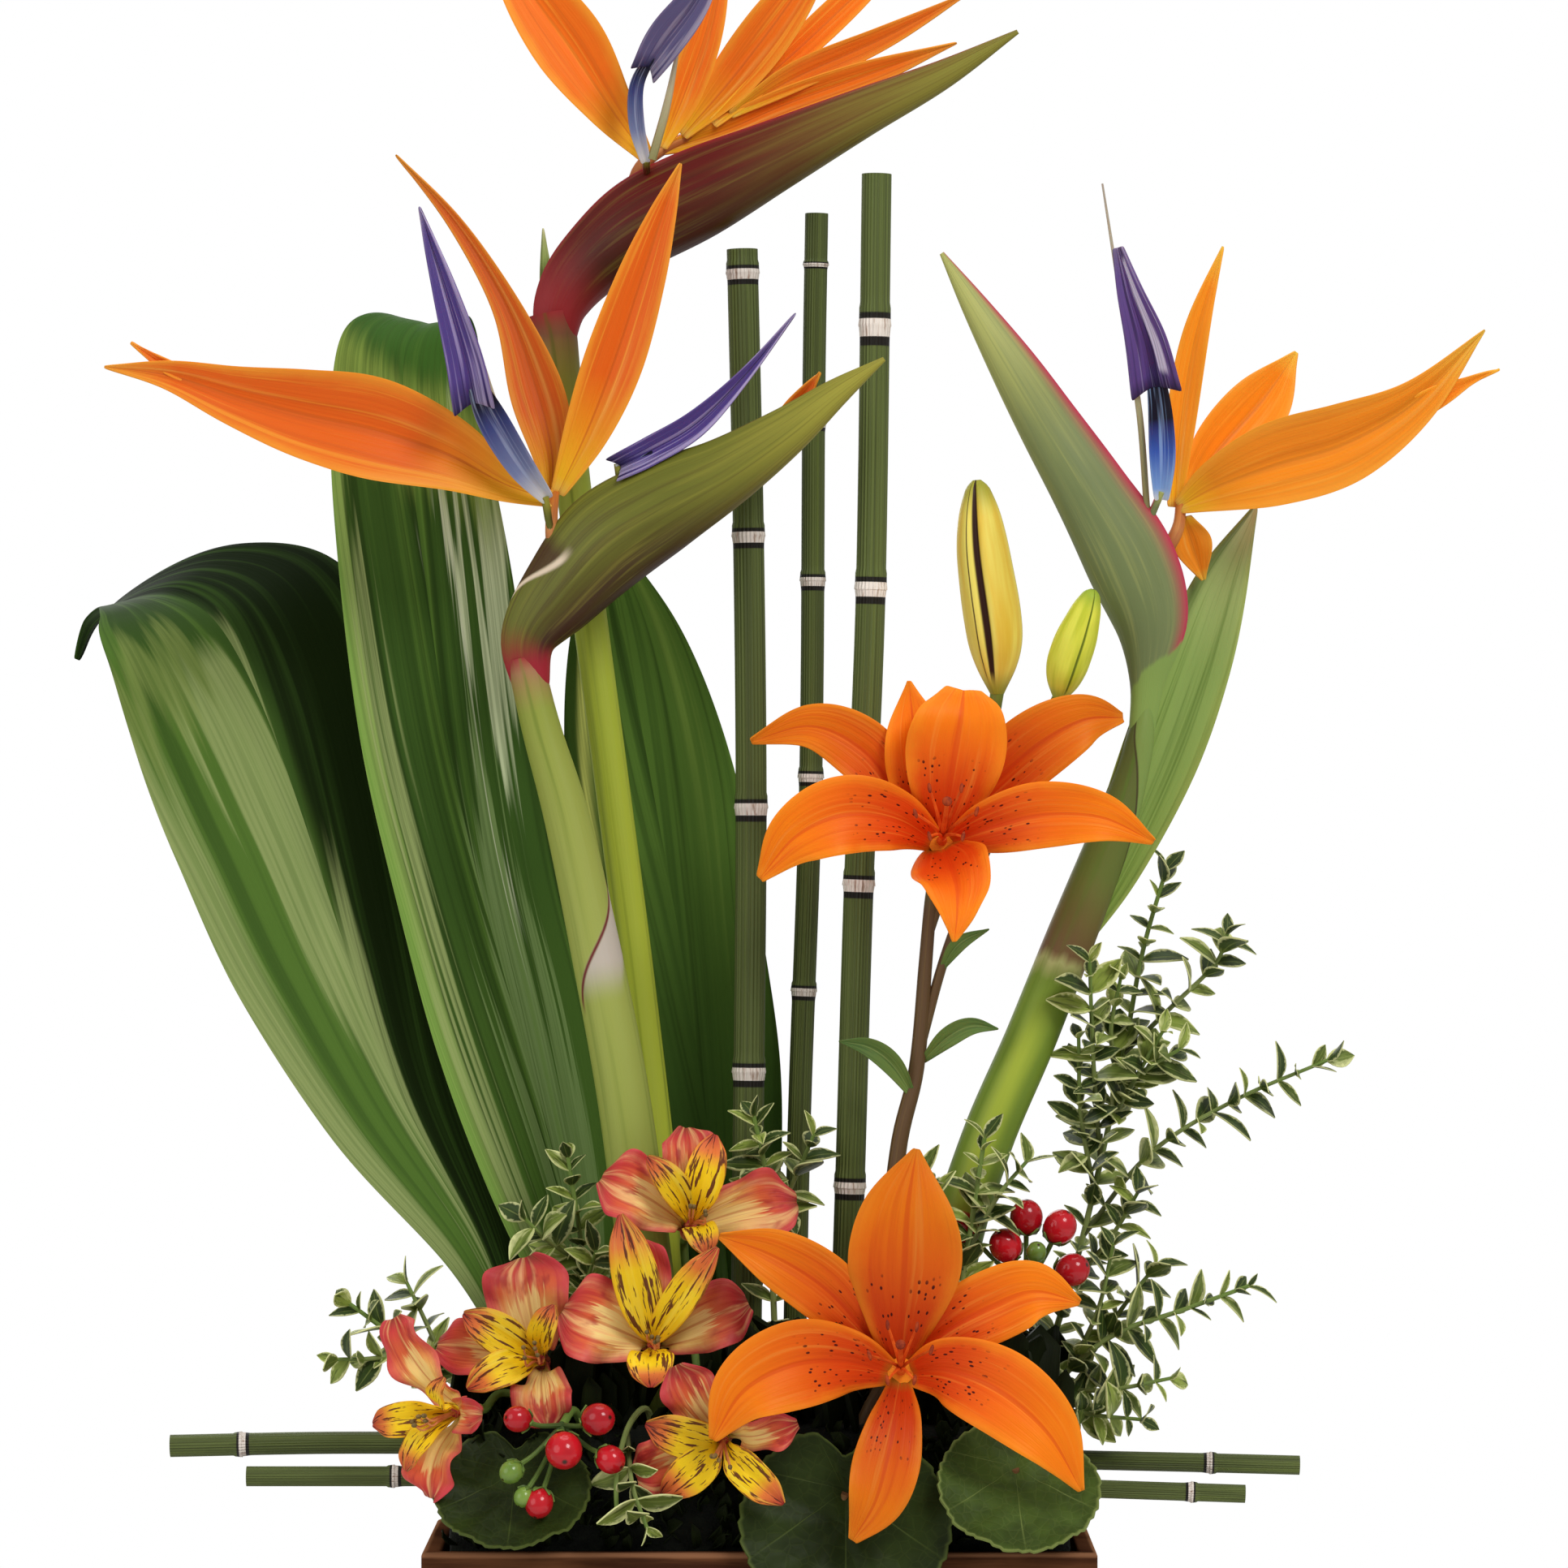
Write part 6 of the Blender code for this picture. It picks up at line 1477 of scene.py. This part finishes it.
def hypericum(name, ripe, unripe, twig):
    plan = BERRIES[name]
    fork = Vector(plan["stem"][-1])
    parts = [tube(plan["stem"], [1.8, 1.6, 1.5, 1.4], twig, 10, 24)]
    chance = random.Random(name)
    berries = [(place, radius, ripe) for place, radius in plan["ripe"]]
    berries += [(place, radius, unripe) for place, radius in plan["green"]]
    for place, radius, paint in berries:
        centre = Vector(place)
        way = (centre - fork).normalized()
        bend = (fork + centre) / 2 - UP * 1.2
        parts.append(tube([fork - way, bend, centre - way * radius * 0.7], [1.0, 0.8, 0.9], twig, 8, 10))
        parts.append(ball(centre, radius * 0.94, paint, 1.1, way, 24, 16, chance.random()))
        side = way.cross(Vector((0.3, 0.2, 1.0))).normalized()
        other = way.cross(side)
        foot = centre - way * radius * 0.98
        for k in range(5):
            angle = math.tau * k / 5 + 0.4
            out = side * math.cos(angle) + other * math.sin(angle)
            spine = [foot, foot + out * radius * 0.55 + way * radius * 0.1, foot + out * radius * 0.95 + way * radius * 0.5]
            parts.append(blade(spine, [0.5, radius * 0.26, 0.15], twig, (-way + out,), rows=6, columns=4, cup=0.1,
                               thick=0.5, levels=0, tone=chance.random()))
    return fit(name + "_berries", parts, "hypericum_red", name)


# Galax leaves: centre, facing, radius, and where the stalk stands in the foam.
GALAX = {
    "galax_leaf_left": {"centre": (-80, -56, 121), "face": (-0.05, -0.74, 0.67), "radius": 26,
                        "stalk": [(-80, -30, 112), (-80, -44, 113)]},
    "galax_leaf_middle": {"centre": (28, -55, 110), "face": (0.0, -0.96, 0.28), "radius": 35,
                          "stalk": [(24, -31, 110), (25, -44, 111)]},
    "galax_leaf_right": {"centre": (84, -57, 122), "face": (0.1, -0.8, 0.6), "radius": 27,
                         "stalk": [(86, -31, 115), (85, -44, 116)]},
    "galax_leaf_back_left": {"centre": (-66, 57, 124), "face": (-0.05, 0.84, 0.55), "radius": 31,
                             "stalk": [(-66, 33, 116), (-66, 44, 117)]},
    "galax_leaf_back_middle": {"centre": (6, 57, 120), "face": (0.05, 0.88, 0.45), "radius": 34,
                               "stalk": [(5, 33, 114), (5, 44, 115)]},
    "galax_leaf_back_right": {"centre": (72, 57, 124), "face": (0.1, 0.82, 0.57), "radius": 30,
                              "stalk": [(71, 33, 116), (71, 44, 117)]},
}
TEETH = 34
TOOTH = 0.035


def galax_paint(name, green, edge):
    """Round leaf: veins fan out from the stalk, which stands at a place on the leaf's own flat map."""
    paint = Paint(name, roughness=0.5, specular=0.12)
    right = paint.calc("MULTIPLY_ADD", paint.across, 2.0, -1.0)
    up = paint.calc("MULTIPLY_ADD", paint.length, 2.0, -1.0)
    from_stalk = paint.calc("ARCTAN2", right, paint.calc("SUBTRACT", 0.36, up))
    spread = paint.calc("ABSOLUTE", paint.calc("SINE", paint.calc("MULTIPLY", from_stalk, 3.5)))
    reach = paint.calc("SQRT", paint.calc("ADD", paint.calc("MULTIPLY", right, right), paint.calc("MULTIPLY", up, up)))
    vein = paint.calc("MULTIPLY", paint.fade(spread, 0.0, 0.06, 1.0, 0.0), paint.fade(reach, 0.5, 0.95, 1.0, 0.25))
    net = paint.add("TexVoronoi", {"Vector": paint.sheet_vector(15.0, 15.0), "Scale": 1.0}, feature="DISTANCE_TO_EDGE")
    blotch = paint.noise(paint.sheet_vector(4.0, 4.0, 2.0))
    colour = paint.blend(paint.fade(blotch, 0.35, 0.7), tuple(value * 0.55 for value in green), green)
    colour = paint.blend(paint.fade(net.outputs["Distance"], 0.0, 0.06, 0.05, 0.0), colour, edge)
    colour = paint.blend(paint.calc("MULTIPLY", vein, 0.25), colour, edge)
    colour = paint.blend(paint.fade(reach, 0.95, 1.0, 0.0, 0.4), colour, edge)
    height = paint.calc("SUBTRACT", paint.fade(net.outputs["Distance"], 0.0, 0.3), vein)
    return paint.done(colour, paint.bump(height, 0.25, 0.35))


def galax_leaf(name, settings, paint, stalk_paint):
    """A round toothed leaf, notched at its stalk and gently dished."""
    plan = GALAX[name]
    face = Vector(plan["face"]).normalized()
    across = UP.cross(face).normalized()
    upward = face.cross(across)
    centre, radius = Vector(plan["centre"]), plan["radius"]
    leaf = sheet(TEETH * 4, 14)
    around = leaf.data.uv_layers.active.data
    for corner in around:
        angle, reach = corner.uv.x * math.tau, corner.uv.y
        corner.uv = (0.5 + 0.5 * reach * math.cos(angle), 0.5 + 0.5 * reach * math.sin(angle))

    def place_at(turn, share):
        angle = (turn + 1) * math.pi
        notch = 1 - 0.3 * math.exp(-((math.remainder(angle - math.pi / 2, math.tau) / 0.22) ** 2))
        saw = (angle / math.tau * TEETH) % 1.0
        tooth = 1 - TOOTH * saw * share**8
        reach = radius * share * tooth * (1 - (1 - notch) * share)
        dish = radius * (0.16 * share**2 + 0.035 * share * math.cos(6 * angle)) - 0.1 * radius
        dish += radius * 0.02 * share**2 * math.sin(11 * angle)
        return (centre + across * math.cos(angle) * reach + upward * math.sin(angle) * reach * 0.93 + face * dish)

    shape(leaf, place_at, random.Random(name).random(), paint)
    only(leaf)
    bpy.ops.object.mode_set(mode="EDIT")
    bpy.ops.mesh.select_all(action="SELECT")
    bpy.ops.mesh.remove_doubles(threshold=1e-6)
    bpy.ops.mesh.normals_make_consistent(inside=False)
    bpy.ops.object.mode_set(mode="OBJECT")
    apply(leaf, "SOLIDIFY", thickness=settings.thickness, offset=0.0)
    heart = centre + upward * radius * 0.3 - face * radius * 0.07
    stalk = tube([*plan["stalk"], heart], [1.4, 1.3], stalk_paint, 10, 16)
    return fit(name + "_round", [leaf, stalk], "galax_green", name)


# Variegated box: each spray's twigs, the first of them standing in the foam.
SPRAYS = {
    "box_spray_right_tall": [
        [(86, 20, 100), (89, 20, 134), (97, 18, 160), (106, 16, 190), (115, 14, 228), (122, 12, 262), (128, 12, 294),
         (136, 12, 322)],
        [(114, 14, 224), (111, 2, 258), (109, -14, 292)],
        [(122, 12, 260), (138, 10, 276), (152, 8, 290), (156, 8, 300)],
        [(108, 16, 198), (130, 12, 226), (158, 10, 244), (190, 8, 258)],
        [(118, 14, 240), (128, 4, 254), (140, 0, 262)],
        [(103, 16, 180), (118, 8, 200), (126, 4, 214)],
        [(112, 15, 214), (107, 6, 240), (106, 0, 266)],
        [(117, 14, 236), (124, 4, 250), (134, -2, 268)],
        [(120, 13, 250), (117, 4, 268), (120, -2, 286)],
    ],
    "box_spray_right_low": [
        [(90, 4, 98), (92, 3, 142), (102, -6, 155), (118, -10, 168), (140, -12, 176), (162, -12, 184)],
        [(104, -7, 154), (112, -10, 176), (117, -12, 198)],
        [(98, -4, 146), (116, -16, 150), (136, -18, 154)],
        [(92, 1, 145), (108, -16, 142), (126, -26, 141)],
        [(110, -9, 162), (122, -2, 178), (132, 0, 190)],
    ],
    "box_spray_left": [
        [(-85, 4, 104), (-87, 4, 142), (-103, 0, 155), (-120, -6, 166), (-136, -10, 178)],
        [(-114, -4, 161), (-128, -12, 160), (-140, -16, 160)],
        [(-106, 0, 154), (-112, 4, 172), (-118, 6, 184)],
    ],
    "box_spray_left_middle": [
        [(-50, 12, 100), (-52, 12, 138), (-56, 8, 170), (-60, 4, 200), (-64, 2, 226)],
        [(-55, 9, 164), (-58, -4, 180), (-54, -18, 196)],
        [(-58, 6, 190), (-70, -4, 198), (-78, -8, 206)],
    ],
    "box_spray_middle": [
        [(8, -2, 100), (6, -3, 140), (4, -4, 190), (2, -6, 220), (-2, -8, 240)],
        [(4, -4, 200), (12, -6, 220), (18, -8, 234)],
    ],
    "box_spray_right_middle": [
        [(64, -26, 104), (65, -27, 138), (66, -27, 180), (70, -26, 208), (74, -26, 234)],
        [(66, -27, 196), (78, -26, 214), (88, -24, 226)],
        [(66, -27, 190), (58, -28, 208), (54, -28, 222)],
    ],
    "box_spray_front": [
        [(-34, -28, 112), (-36, -31, 143), (-42, -46, 142), (-46, -60, 128), (-46, -64, 112)],
        [(-43, -50, 139), (-41, -66, 124), (-36, -70, 110)],
    ],
}
LEAF_HALF = (0.02, 0.17, 0.25, 0.27, 0.225, 0.13, 0.012)


def box_leaf_paint(settings):
    green, cream = tuple(settings.box_green), tuple(settings.box_cream)
    return petal_paint(
        "variegated box leaf", ((0.0, screen(128, 142, 60)), (0.2, green), (1.0, green)),
        streaks=((tuple(value * 0.5 for value in green), 4.0, 1.5, 0.45, 0.7, 0.8), (cream, 3.0, 1.0, 0.56, 0.7, 0.6)),
        edge=(cream, 0.66, 0.92, 0.8), rib=(screen(150, 162, 84), 0.1, 0.4), veins=(12.0, 4.0, 0.3), roughness=0.45,
        subsurface=0.0, wander=0.8, varied=screen(140, 156, 66))


def leaf_models(paint):
    """Three small leaves a metre long along +Y, each more bent than the last."""
    models = []
    for bend in (0.08, 0.26, 0.45):
        spine = [(0, 1000 * s, -1000 * bend * s * s) for s in (0, 0.25, 0.5, 0.75, 1.0)]
        model = blade(spine, [1000 * width for width in LEAF_HALF], paint, ((0, 0, 1),), rows=7, columns=4, cup=0.2,
                      thick=32.0, levels=0)
        models.append(model)
    return models


def copy_leaf(model, place, way, face, length, wide, tone):
    """A copy of a leaf with its own mesh, its base at a place and its length along a direction."""
    mesh = model.data.copy()
    side = way.cross(face).normalized()
    normal = side.cross(way)
    turn = Matrix((side * length * wide, way * length, normal * length)).transposed().to_4x4()
    mesh.transform(Matrix.Translation(place * MM) @ turn)
    mesh.attributes["tone"].data.foreach_set("value", [tone] * len(mesh.vertices))
    leaf = bpy.data.objects.new("leaf", mesh)
    bpy.context.scene.collection.objects.link(leaf)
    return leaf


def joined_tree(names):
    """One search tree over the solids with these names."""
    points, faces = [], []
    for name in names:
        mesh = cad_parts[name].data
        start = len(points)
        points += [vert.co.copy() for vert in mesh.vertices]
        faces += [tuple(start + index for index in face.vertices) for face in mesh.polygons]
    return BVHTree.FromPolygons(points, faces)


def leaf_tree(place, way, face, length):
    """A search tree over a plain leaf a little larger than the real one."""
    side = way.cross(face).normalized()
    base, middle, tip = place + way * 1.2, place + way * length * 0.5, place + way * (length + 1.0)
    half = side * length * 0.27
    corners = [point * MM for point in (base, middle + half, tip, middle - half)]
    return BVHTree.FromPolygons(corners, [(0, 1, 2), (0, 2, 3)])


def inside(tree, point):
    """True where the first wall above the point shows its inner face."""
    _, normal, _, _ = tree.ray_cast(point * MM, UP)
    return normal is not None and normal.z > 0


def box_spray(name, settings, models, twig_paint, tree):
    """Twigs with leaves in crossed pairs. A leaf that would meet another plant is turned, or left off."""
    chance = random.Random(name)
    spacing, usual = settings.spacing / MM, settings.leaf_length / MM
    parts = []
    main_twig = vectors(SPRAYS[name][0])
    for index, twig in enumerate(SPRAYS[name]):
        path = vectors(twig)
        if index > 0:
            path[0] = nearest_on(main_twig, path[0])
        parts.append(tube(path, [1.3, 1.0, 0.7] if index == 0 else [0.9, 0.6], twig_paint, 8, 8 * len(path)))
        length = length_of(path)
        pairs = max(2, round(length / spacing))
        for pair in range(pairs + 1):
            share = min(pair / pairs, 1 - 1.0 / length)
            place = along(path, share)
            if index == 0 and place.z < FOAM_HIGH.z / MM + 6 or index > 0 and share < 0.08:
                continue
            tangent = (along(path, min(share + 0.03, 1)) - along(path, max(share - 0.03, 0))).normalized()
            side = tangent.cross(Vector((0.2, -1, 0.1))).normalized()
            other = tangent.cross(side)
            turn = math.pi / 2 * (pair % 2) + chance.uniform(-0.7, 0.7)
            for half_turn in (0.0, math.pi):
                size = usual * chance.uniform(0.6, 1.2) * (0.7 if share > 0.85 else 1.0)
                lean = chance.uniform(0.2, 1.1) + (1.0 if share > 0.93 else 0.0)
                tone, model = chance.random(), chance.choice(models)
                for trial in range(5):
                    angle = turn + half_turn + trial * 0.7
                    out = side * math.cos(angle) + other * math.sin(angle)
                    way = (tangent * lean + out).normalized()
                    face = (tangent * 0.9 - out * 0.4 + VIEWER * 0.5).normalized()
                    if not leaf_tree(place, way, face, size).overlap(tree) and not inside(tree, place + way * size):
                        wide = chance.uniform(0.85, 1.2)
                        parts.append(copy_leaf(model, place, way, face, size * MM, wide, tone))
                        break
    return fit(name + "_leafy", parts, "box_leaf", name)


# Stage: pale floor, soft lights and the camera

CAMERA_PLACE = (0.008, -2.2, 0.35)
CAMERA_LENS = 151.83
AIM = Vector((0.0, 0.0, 0.33))


def soft_light(name, place, power, size, shade=(1.0, 1.0, 1.0)):
    data = bpy.data.lights.new(name, "AREA")
    data.shape = "DISK"
    data.size = size
    data.energy = power
    data.color = shade
    light = bpy.data.objects.new(name, data)
    light.location = place
    light.rotation_euler = (Vector(place) - AIM).to_track_quat("Z", "Y").to_euler()
    bpy.context.scene.collection.objects.link(light)


def white_surroundings(strength):
    """Even light from all round, which the camera sees as plain white."""
    world = bpy.data.worlds.new("white surroundings")
    world.use_nodes = True
    tree = world.node_tree
    background = tree.nodes["Background"]
    background.inputs["Color"].default_value = (1.0, 1.0, 1.0, 1.0)
    seen = tree.nodes.new("ShaderNodeLightPath").outputs["Is Camera Ray"]
    choice = tree.nodes.new("ShaderNodeMapRange")
    choice.inputs["To Min"].default_value = strength
    choice.inputs["To Max"].default_value = 1.0
    tree.links.new(seen, choice.inputs["Value"])
    tree.links.new(choice.outputs[0], background.inputs["Strength"])
    bpy.context.scene.world = world


# Operators, one for each kind of piece

class ARRANGE_OT_box(Operator):
    """Makes the wooden box, its liner's finish and the wet foam"""

    bl_idname = "arrange.box"
    bl_label = "Box and foam"

    def execute(self, context):
        settings = context.scene.flower_box
        wooden_box(settings)
        foam_block(settings)
        black = plain_paint("black liner", (0.01, 0.01, 0.01), (0.02, 0.02, 0.02), 300.0, 0.1, 0.9, 0.0)
        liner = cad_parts["plastic_liner"]
        liner.data.materials.clear()
        liner.data.materials.append(black)
        return {"FINISHED"}


class ARRANGE_OT_horsetail(Operator):
    """Makes the jointed horsetail stems"""

    bl_idname = "arrange.horsetail"
    bl_label = "Horsetail"

    def execute(self, context):
        paint = horsetail_paint(context.scene.flower_stems)
        for name in HORSETAILS:
            horsetail(name, paint)
        return {"FINISHED"}


class ARRANGE_OT_ti_leaves(Operator):
    """Makes the three broad ti leaves"""

    bl_idname = "arrange.ti_leaves"
    bl_label = "Ti leaves"

    def execute(self, context):
        settings = context.scene.flower_leaves
        stalk = stem_paint("ti stalk", ((0.0, tuple(settings.ti_light)), (1.0, tuple(settings.ti_dark))),
                           screen(60, 96, 40))
        for name, paint in ti_paints(settings).items():
            ti_leaf(name, settings, paint, stalk)
        return {"FINISHED"}


class ARRANGE_OT_birds(Operator):
    """Makes the three bird of paradise stems with their flowers"""

    bl_idname = "arrange.birds"
    bl_label = "Bird of paradise"

    def execute(self, context):
        flowers = context.scene.flower_petals
        paints = bird_paints(context.scene.flower_stems, flowers)
        for name in BIRDS:
            bird_of_paradise(name, paints, flowers.thickness / MM)
        return {"FINISHED"}


class ARRANGE_OT_lilies(Operator):
    """Makes the two open lilies, their stems and their buds"""

    bl_idname = "arrange.lilies"
    bl_label = "Lilies"

    def execute(self, context):
        flowers, stems = context.scene.flower_petals, context.scene.flower_stems
        paint = lily_paint(flowers)
        stamen = plain_paint("lily filament", screen(236, 110, 34), screen(214, 78, 20), 200.0, 0.05, 0.5)
        tip = plain_paint("stigma", screen(176, 66, 20), screen(130, 40, 16), 500.0, 0.2, 0.7)
        for name in LILIES:
            lily_flower(name, flowers, paint, stamen, tip)
        leaf = petal_paint("lily leaf", ((0.0, screen(120, 146, 70)), (1.0, screen(84, 118, 54))),
                           streaks=((screen(60, 92, 40), 6.0, 1.0, 0.45, 0.7, 0.7),), rib=(screen(140, 160, 90), 0.08, 0.6))
        large = bud_paint("large bud", screen(255, 234, 110), screen(240, 196, 66), screen(166, 162, 50),
                          screen(56, 26, 14))
        small = bud_paint("small bud", screen(240, 238, 84), screen(206, 212, 54), screen(160, 184, 54),
                          screen(122, 136, 34))
        lily_stems(stems, leaf, (large, small))
        return {"FINISHED"}


class ARRANGE_OT_alstroemeria(Operator):
    """Makes the five alstroemeria blooms and their stems"""

    bl_idname = "arrange.alstroemeria"
    bl_label = "Alstroemeria"

    def execute(self, context):
        flowers = context.scene.flower_petals
        paints = bloom_paints(flowers)
        stamen = plain_paint("bloom filament", screen(226, 150, 90), screen(214, 120, 70), 200.0, 0.05, 0.5)
        tip = plain_paint("bloom anther", screen(104, 88, 50), screen(140, 110, 60), 500.0, 0.2, 0.7)
        for letter in BLOOMS:
            alstroemeria_bloom(letter, paints, stamen, tip, flowers.thickness / MM)
        green = tuple(context.scene.flower_stems.thin_green)
        alstroemeria_stems(stem_paint("alstroemeria stem", ((0.0, green), (1.0, green)), screen(84, 112, 48)))
        return {"FINISHED"}


class ARRANGE_OT_hypericum(Operator):
    """Makes the two twigs of berries"""

    bl_idname = "arrange.hypericum"
    bl_label = "Hypericum"

    def execute(self, context):
        red = tuple(context.scene.flower_petals.berry)
        ripe = berry_paint("ripe berry", red, screen(164, 16, 26), 0.2)
        unripe = berry_paint("green berry", screen(128, 156, 66), screen(96, 128, 50), 0.25)
        green = tuple(context.scene.flower_stems.thin_green)
        twig = stem_paint("berry twig", ((0.0, screen(60, 76, 36)), (1.0, green)), screen(70, 94, 42))
        for name in BERRIES:
            hypericum(name, ripe, unripe, twig)
        return {"FINISHED"}


class ARRANGE_OT_galax(Operator):
    """Makes the round leaves at the rim of the box"""

    bl_idname = "arrange.galax"
    bl_label = "Galax leaves"

    def execute(self, context):
        settings = context.scene.flower_leaves
        green, edge = tuple(settings.galax), tuple(settings.galax_edge)
        dark = galax_paint("galax leaf", green, edge)
        # The right leaf gets the same green made much brighter: painted light on that leaf.
        bright = galax_paint("bright galax leaf", tuple(value * 2.2 for value in green), screen(172, 186, 104))
        stalk = stem_paint("galax stalk", ((0.0, screen(104, 112, 48)), (1.0, screen(124, 84, 50))), screen(80, 92, 36))
        for name in GALAX:
            galax_leaf(name, settings, bright if name == "galax_leaf_right" else dark, stalk)
        return {"FINISHED"}


class ARRANGE_OT_box_sprays(Operator):
    """Makes the sprays of small variegated leaves"""

    bl_idname = "arrange.box_sprays"
    bl_label = "Variegated box"

    def execute(self, context):
        settings = context.scene.flower_leaves
        green = tuple(context.scene.flower_stems.thin_green)
        twig = stem_paint("box twig", ((0.0, screen(62, 68, 36)), (0.4, screen(140, 152, 88)), (1.0, green)), screen(120, 130, 74))
        models = leaf_models(box_leaf_paint(settings))
        tree = joined_tree(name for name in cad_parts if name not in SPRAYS)
        for name in SPRAYS:
            box_spray(name, settings, models, twig, tree)
        for model in models:
            bpy.data.objects.remove(model)
        return {"FINISHED"}


class ARRANGE_OT_stage(Operator):
    """Makes the pale floor, the soft lights and the camera"""

    bl_idname = "arrange.stage"
    bl_label = "Stage"

    def execute(self, context):
        settings = context.scene.flower_stage
        bpy.ops.object.select_all(action="DESELECT")
        bpy.ops.mesh.primitive_circle_add(vertices=96, radius=settings.floor_radius, fill_type="NGON")
        floor = bpy.context.object
        floor.name = floor.data.name = "pale_floor"
        floor.data.transform(Matrix.Translation((0.0, 0.0, -0.0005)))
        floor.data.materials.append(
            plain_paint("pale floor", (0.86, 0.86, 0.85), (0.89, 0.89, 0.88), 30.0, 0.05, roughness=0.85))
        soft_light("key", (1.1, -1.7, 1.9), settings.key, 1.1)
        soft_light("fill", (-1.6, -1.3, 0.9), settings.fill, 1.6)
        soft_light("top", (0.0, 0.3, 2.1), settings.fill, 1.4)
        soft_light("behind", (-0.6, 1.9, 1.2), settings.fill, 1.6)
        white_surroundings(settings.ambient)
        camera_data = bpy.data.cameras.new("camera")
        camera_data.lens = CAMERA_LENS
        camera_data.sensor_width = 36.0
        camera_data.clip_end = 20.0
        camera = bpy.data.objects.new("camera", camera_data)
        camera.location = CAMERA_PLACE
        camera.rotation_euler = (math.pi / 2, 0.0, 0.0)
        context.scene.collection.objects.link(camera)
        context.scene.camera = camera
        context.scene.view_settings.view_transform = "Standard"
        return {"FINISHED"}


class ARRANGE_PT_panel(Panel):
    """Buttons for the arrangement, in the 3D view's sidebar"""

    bl_label = "Flower box"
    bl_idname = "ARRANGE_PT_panel"
    bl_space_type = "VIEW_3D"
    bl_region_type = "UI"
    bl_category = "Flower box"

    def draw(self, context):
        for operator in OPERATORS:
            self.layout.operator(operator.bl_idname)
        for group in SETTINGS:
            settings = getattr(context.scene, group)
            for name in settings.__annotations__:
                self.layout.prop(settings, name)


SETTINGS = {
    "flower_box": BoxSettings,
    "flower_leaves": LeafSettings,
    "flower_petals": FlowerSettings,
    "flower_stems": StemSettings,
    "flower_stage": StageSettings,
}
OPERATORS = (
    ARRANGE_OT_box, ARRANGE_OT_horsetail, ARRANGE_OT_ti_leaves, ARRANGE_OT_birds, ARRANGE_OT_lilies,
    ARRANGE_OT_alstroemeria, ARRANGE_OT_hypericum, ARRANGE_OT_galax, ARRANGE_OT_box_sprays, ARRANGE_OT_stage,
)


def register():
    for group in (*SETTINGS.values(), *OPERATORS, ARRANGE_PT_panel):
        bpy.utils.register_class(group)
    for name, group in SETTINGS.items():
        setattr(bpy.types.Scene, name, PointerProperty(type=group))


def unregister():
    for name in SETTINGS:
        delattr(bpy.types.Scene, name)
    for group in (ARRANGE_PT_panel, *reversed(OPERATORS), *SETTINGS.values()):
        bpy.utils.unregister_class(group)


def main():
    register()
    bpy.ops.arrange.box()
    bpy.ops.arrange.horsetail()
    bpy.ops.arrange.ti_leaves()
    bpy.ops.arrange.birds()
    bpy.ops.arrange.lilies()
    bpy.ops.arrange.alstroemeria()
    bpy.ops.arrange.hypericum()
    bpy.ops.arrange.galax()
    bpy.ops.arrange.box_sprays()
    bpy.ops.arrange.stage()
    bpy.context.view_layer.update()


if __name__ == "__main__":
    main()
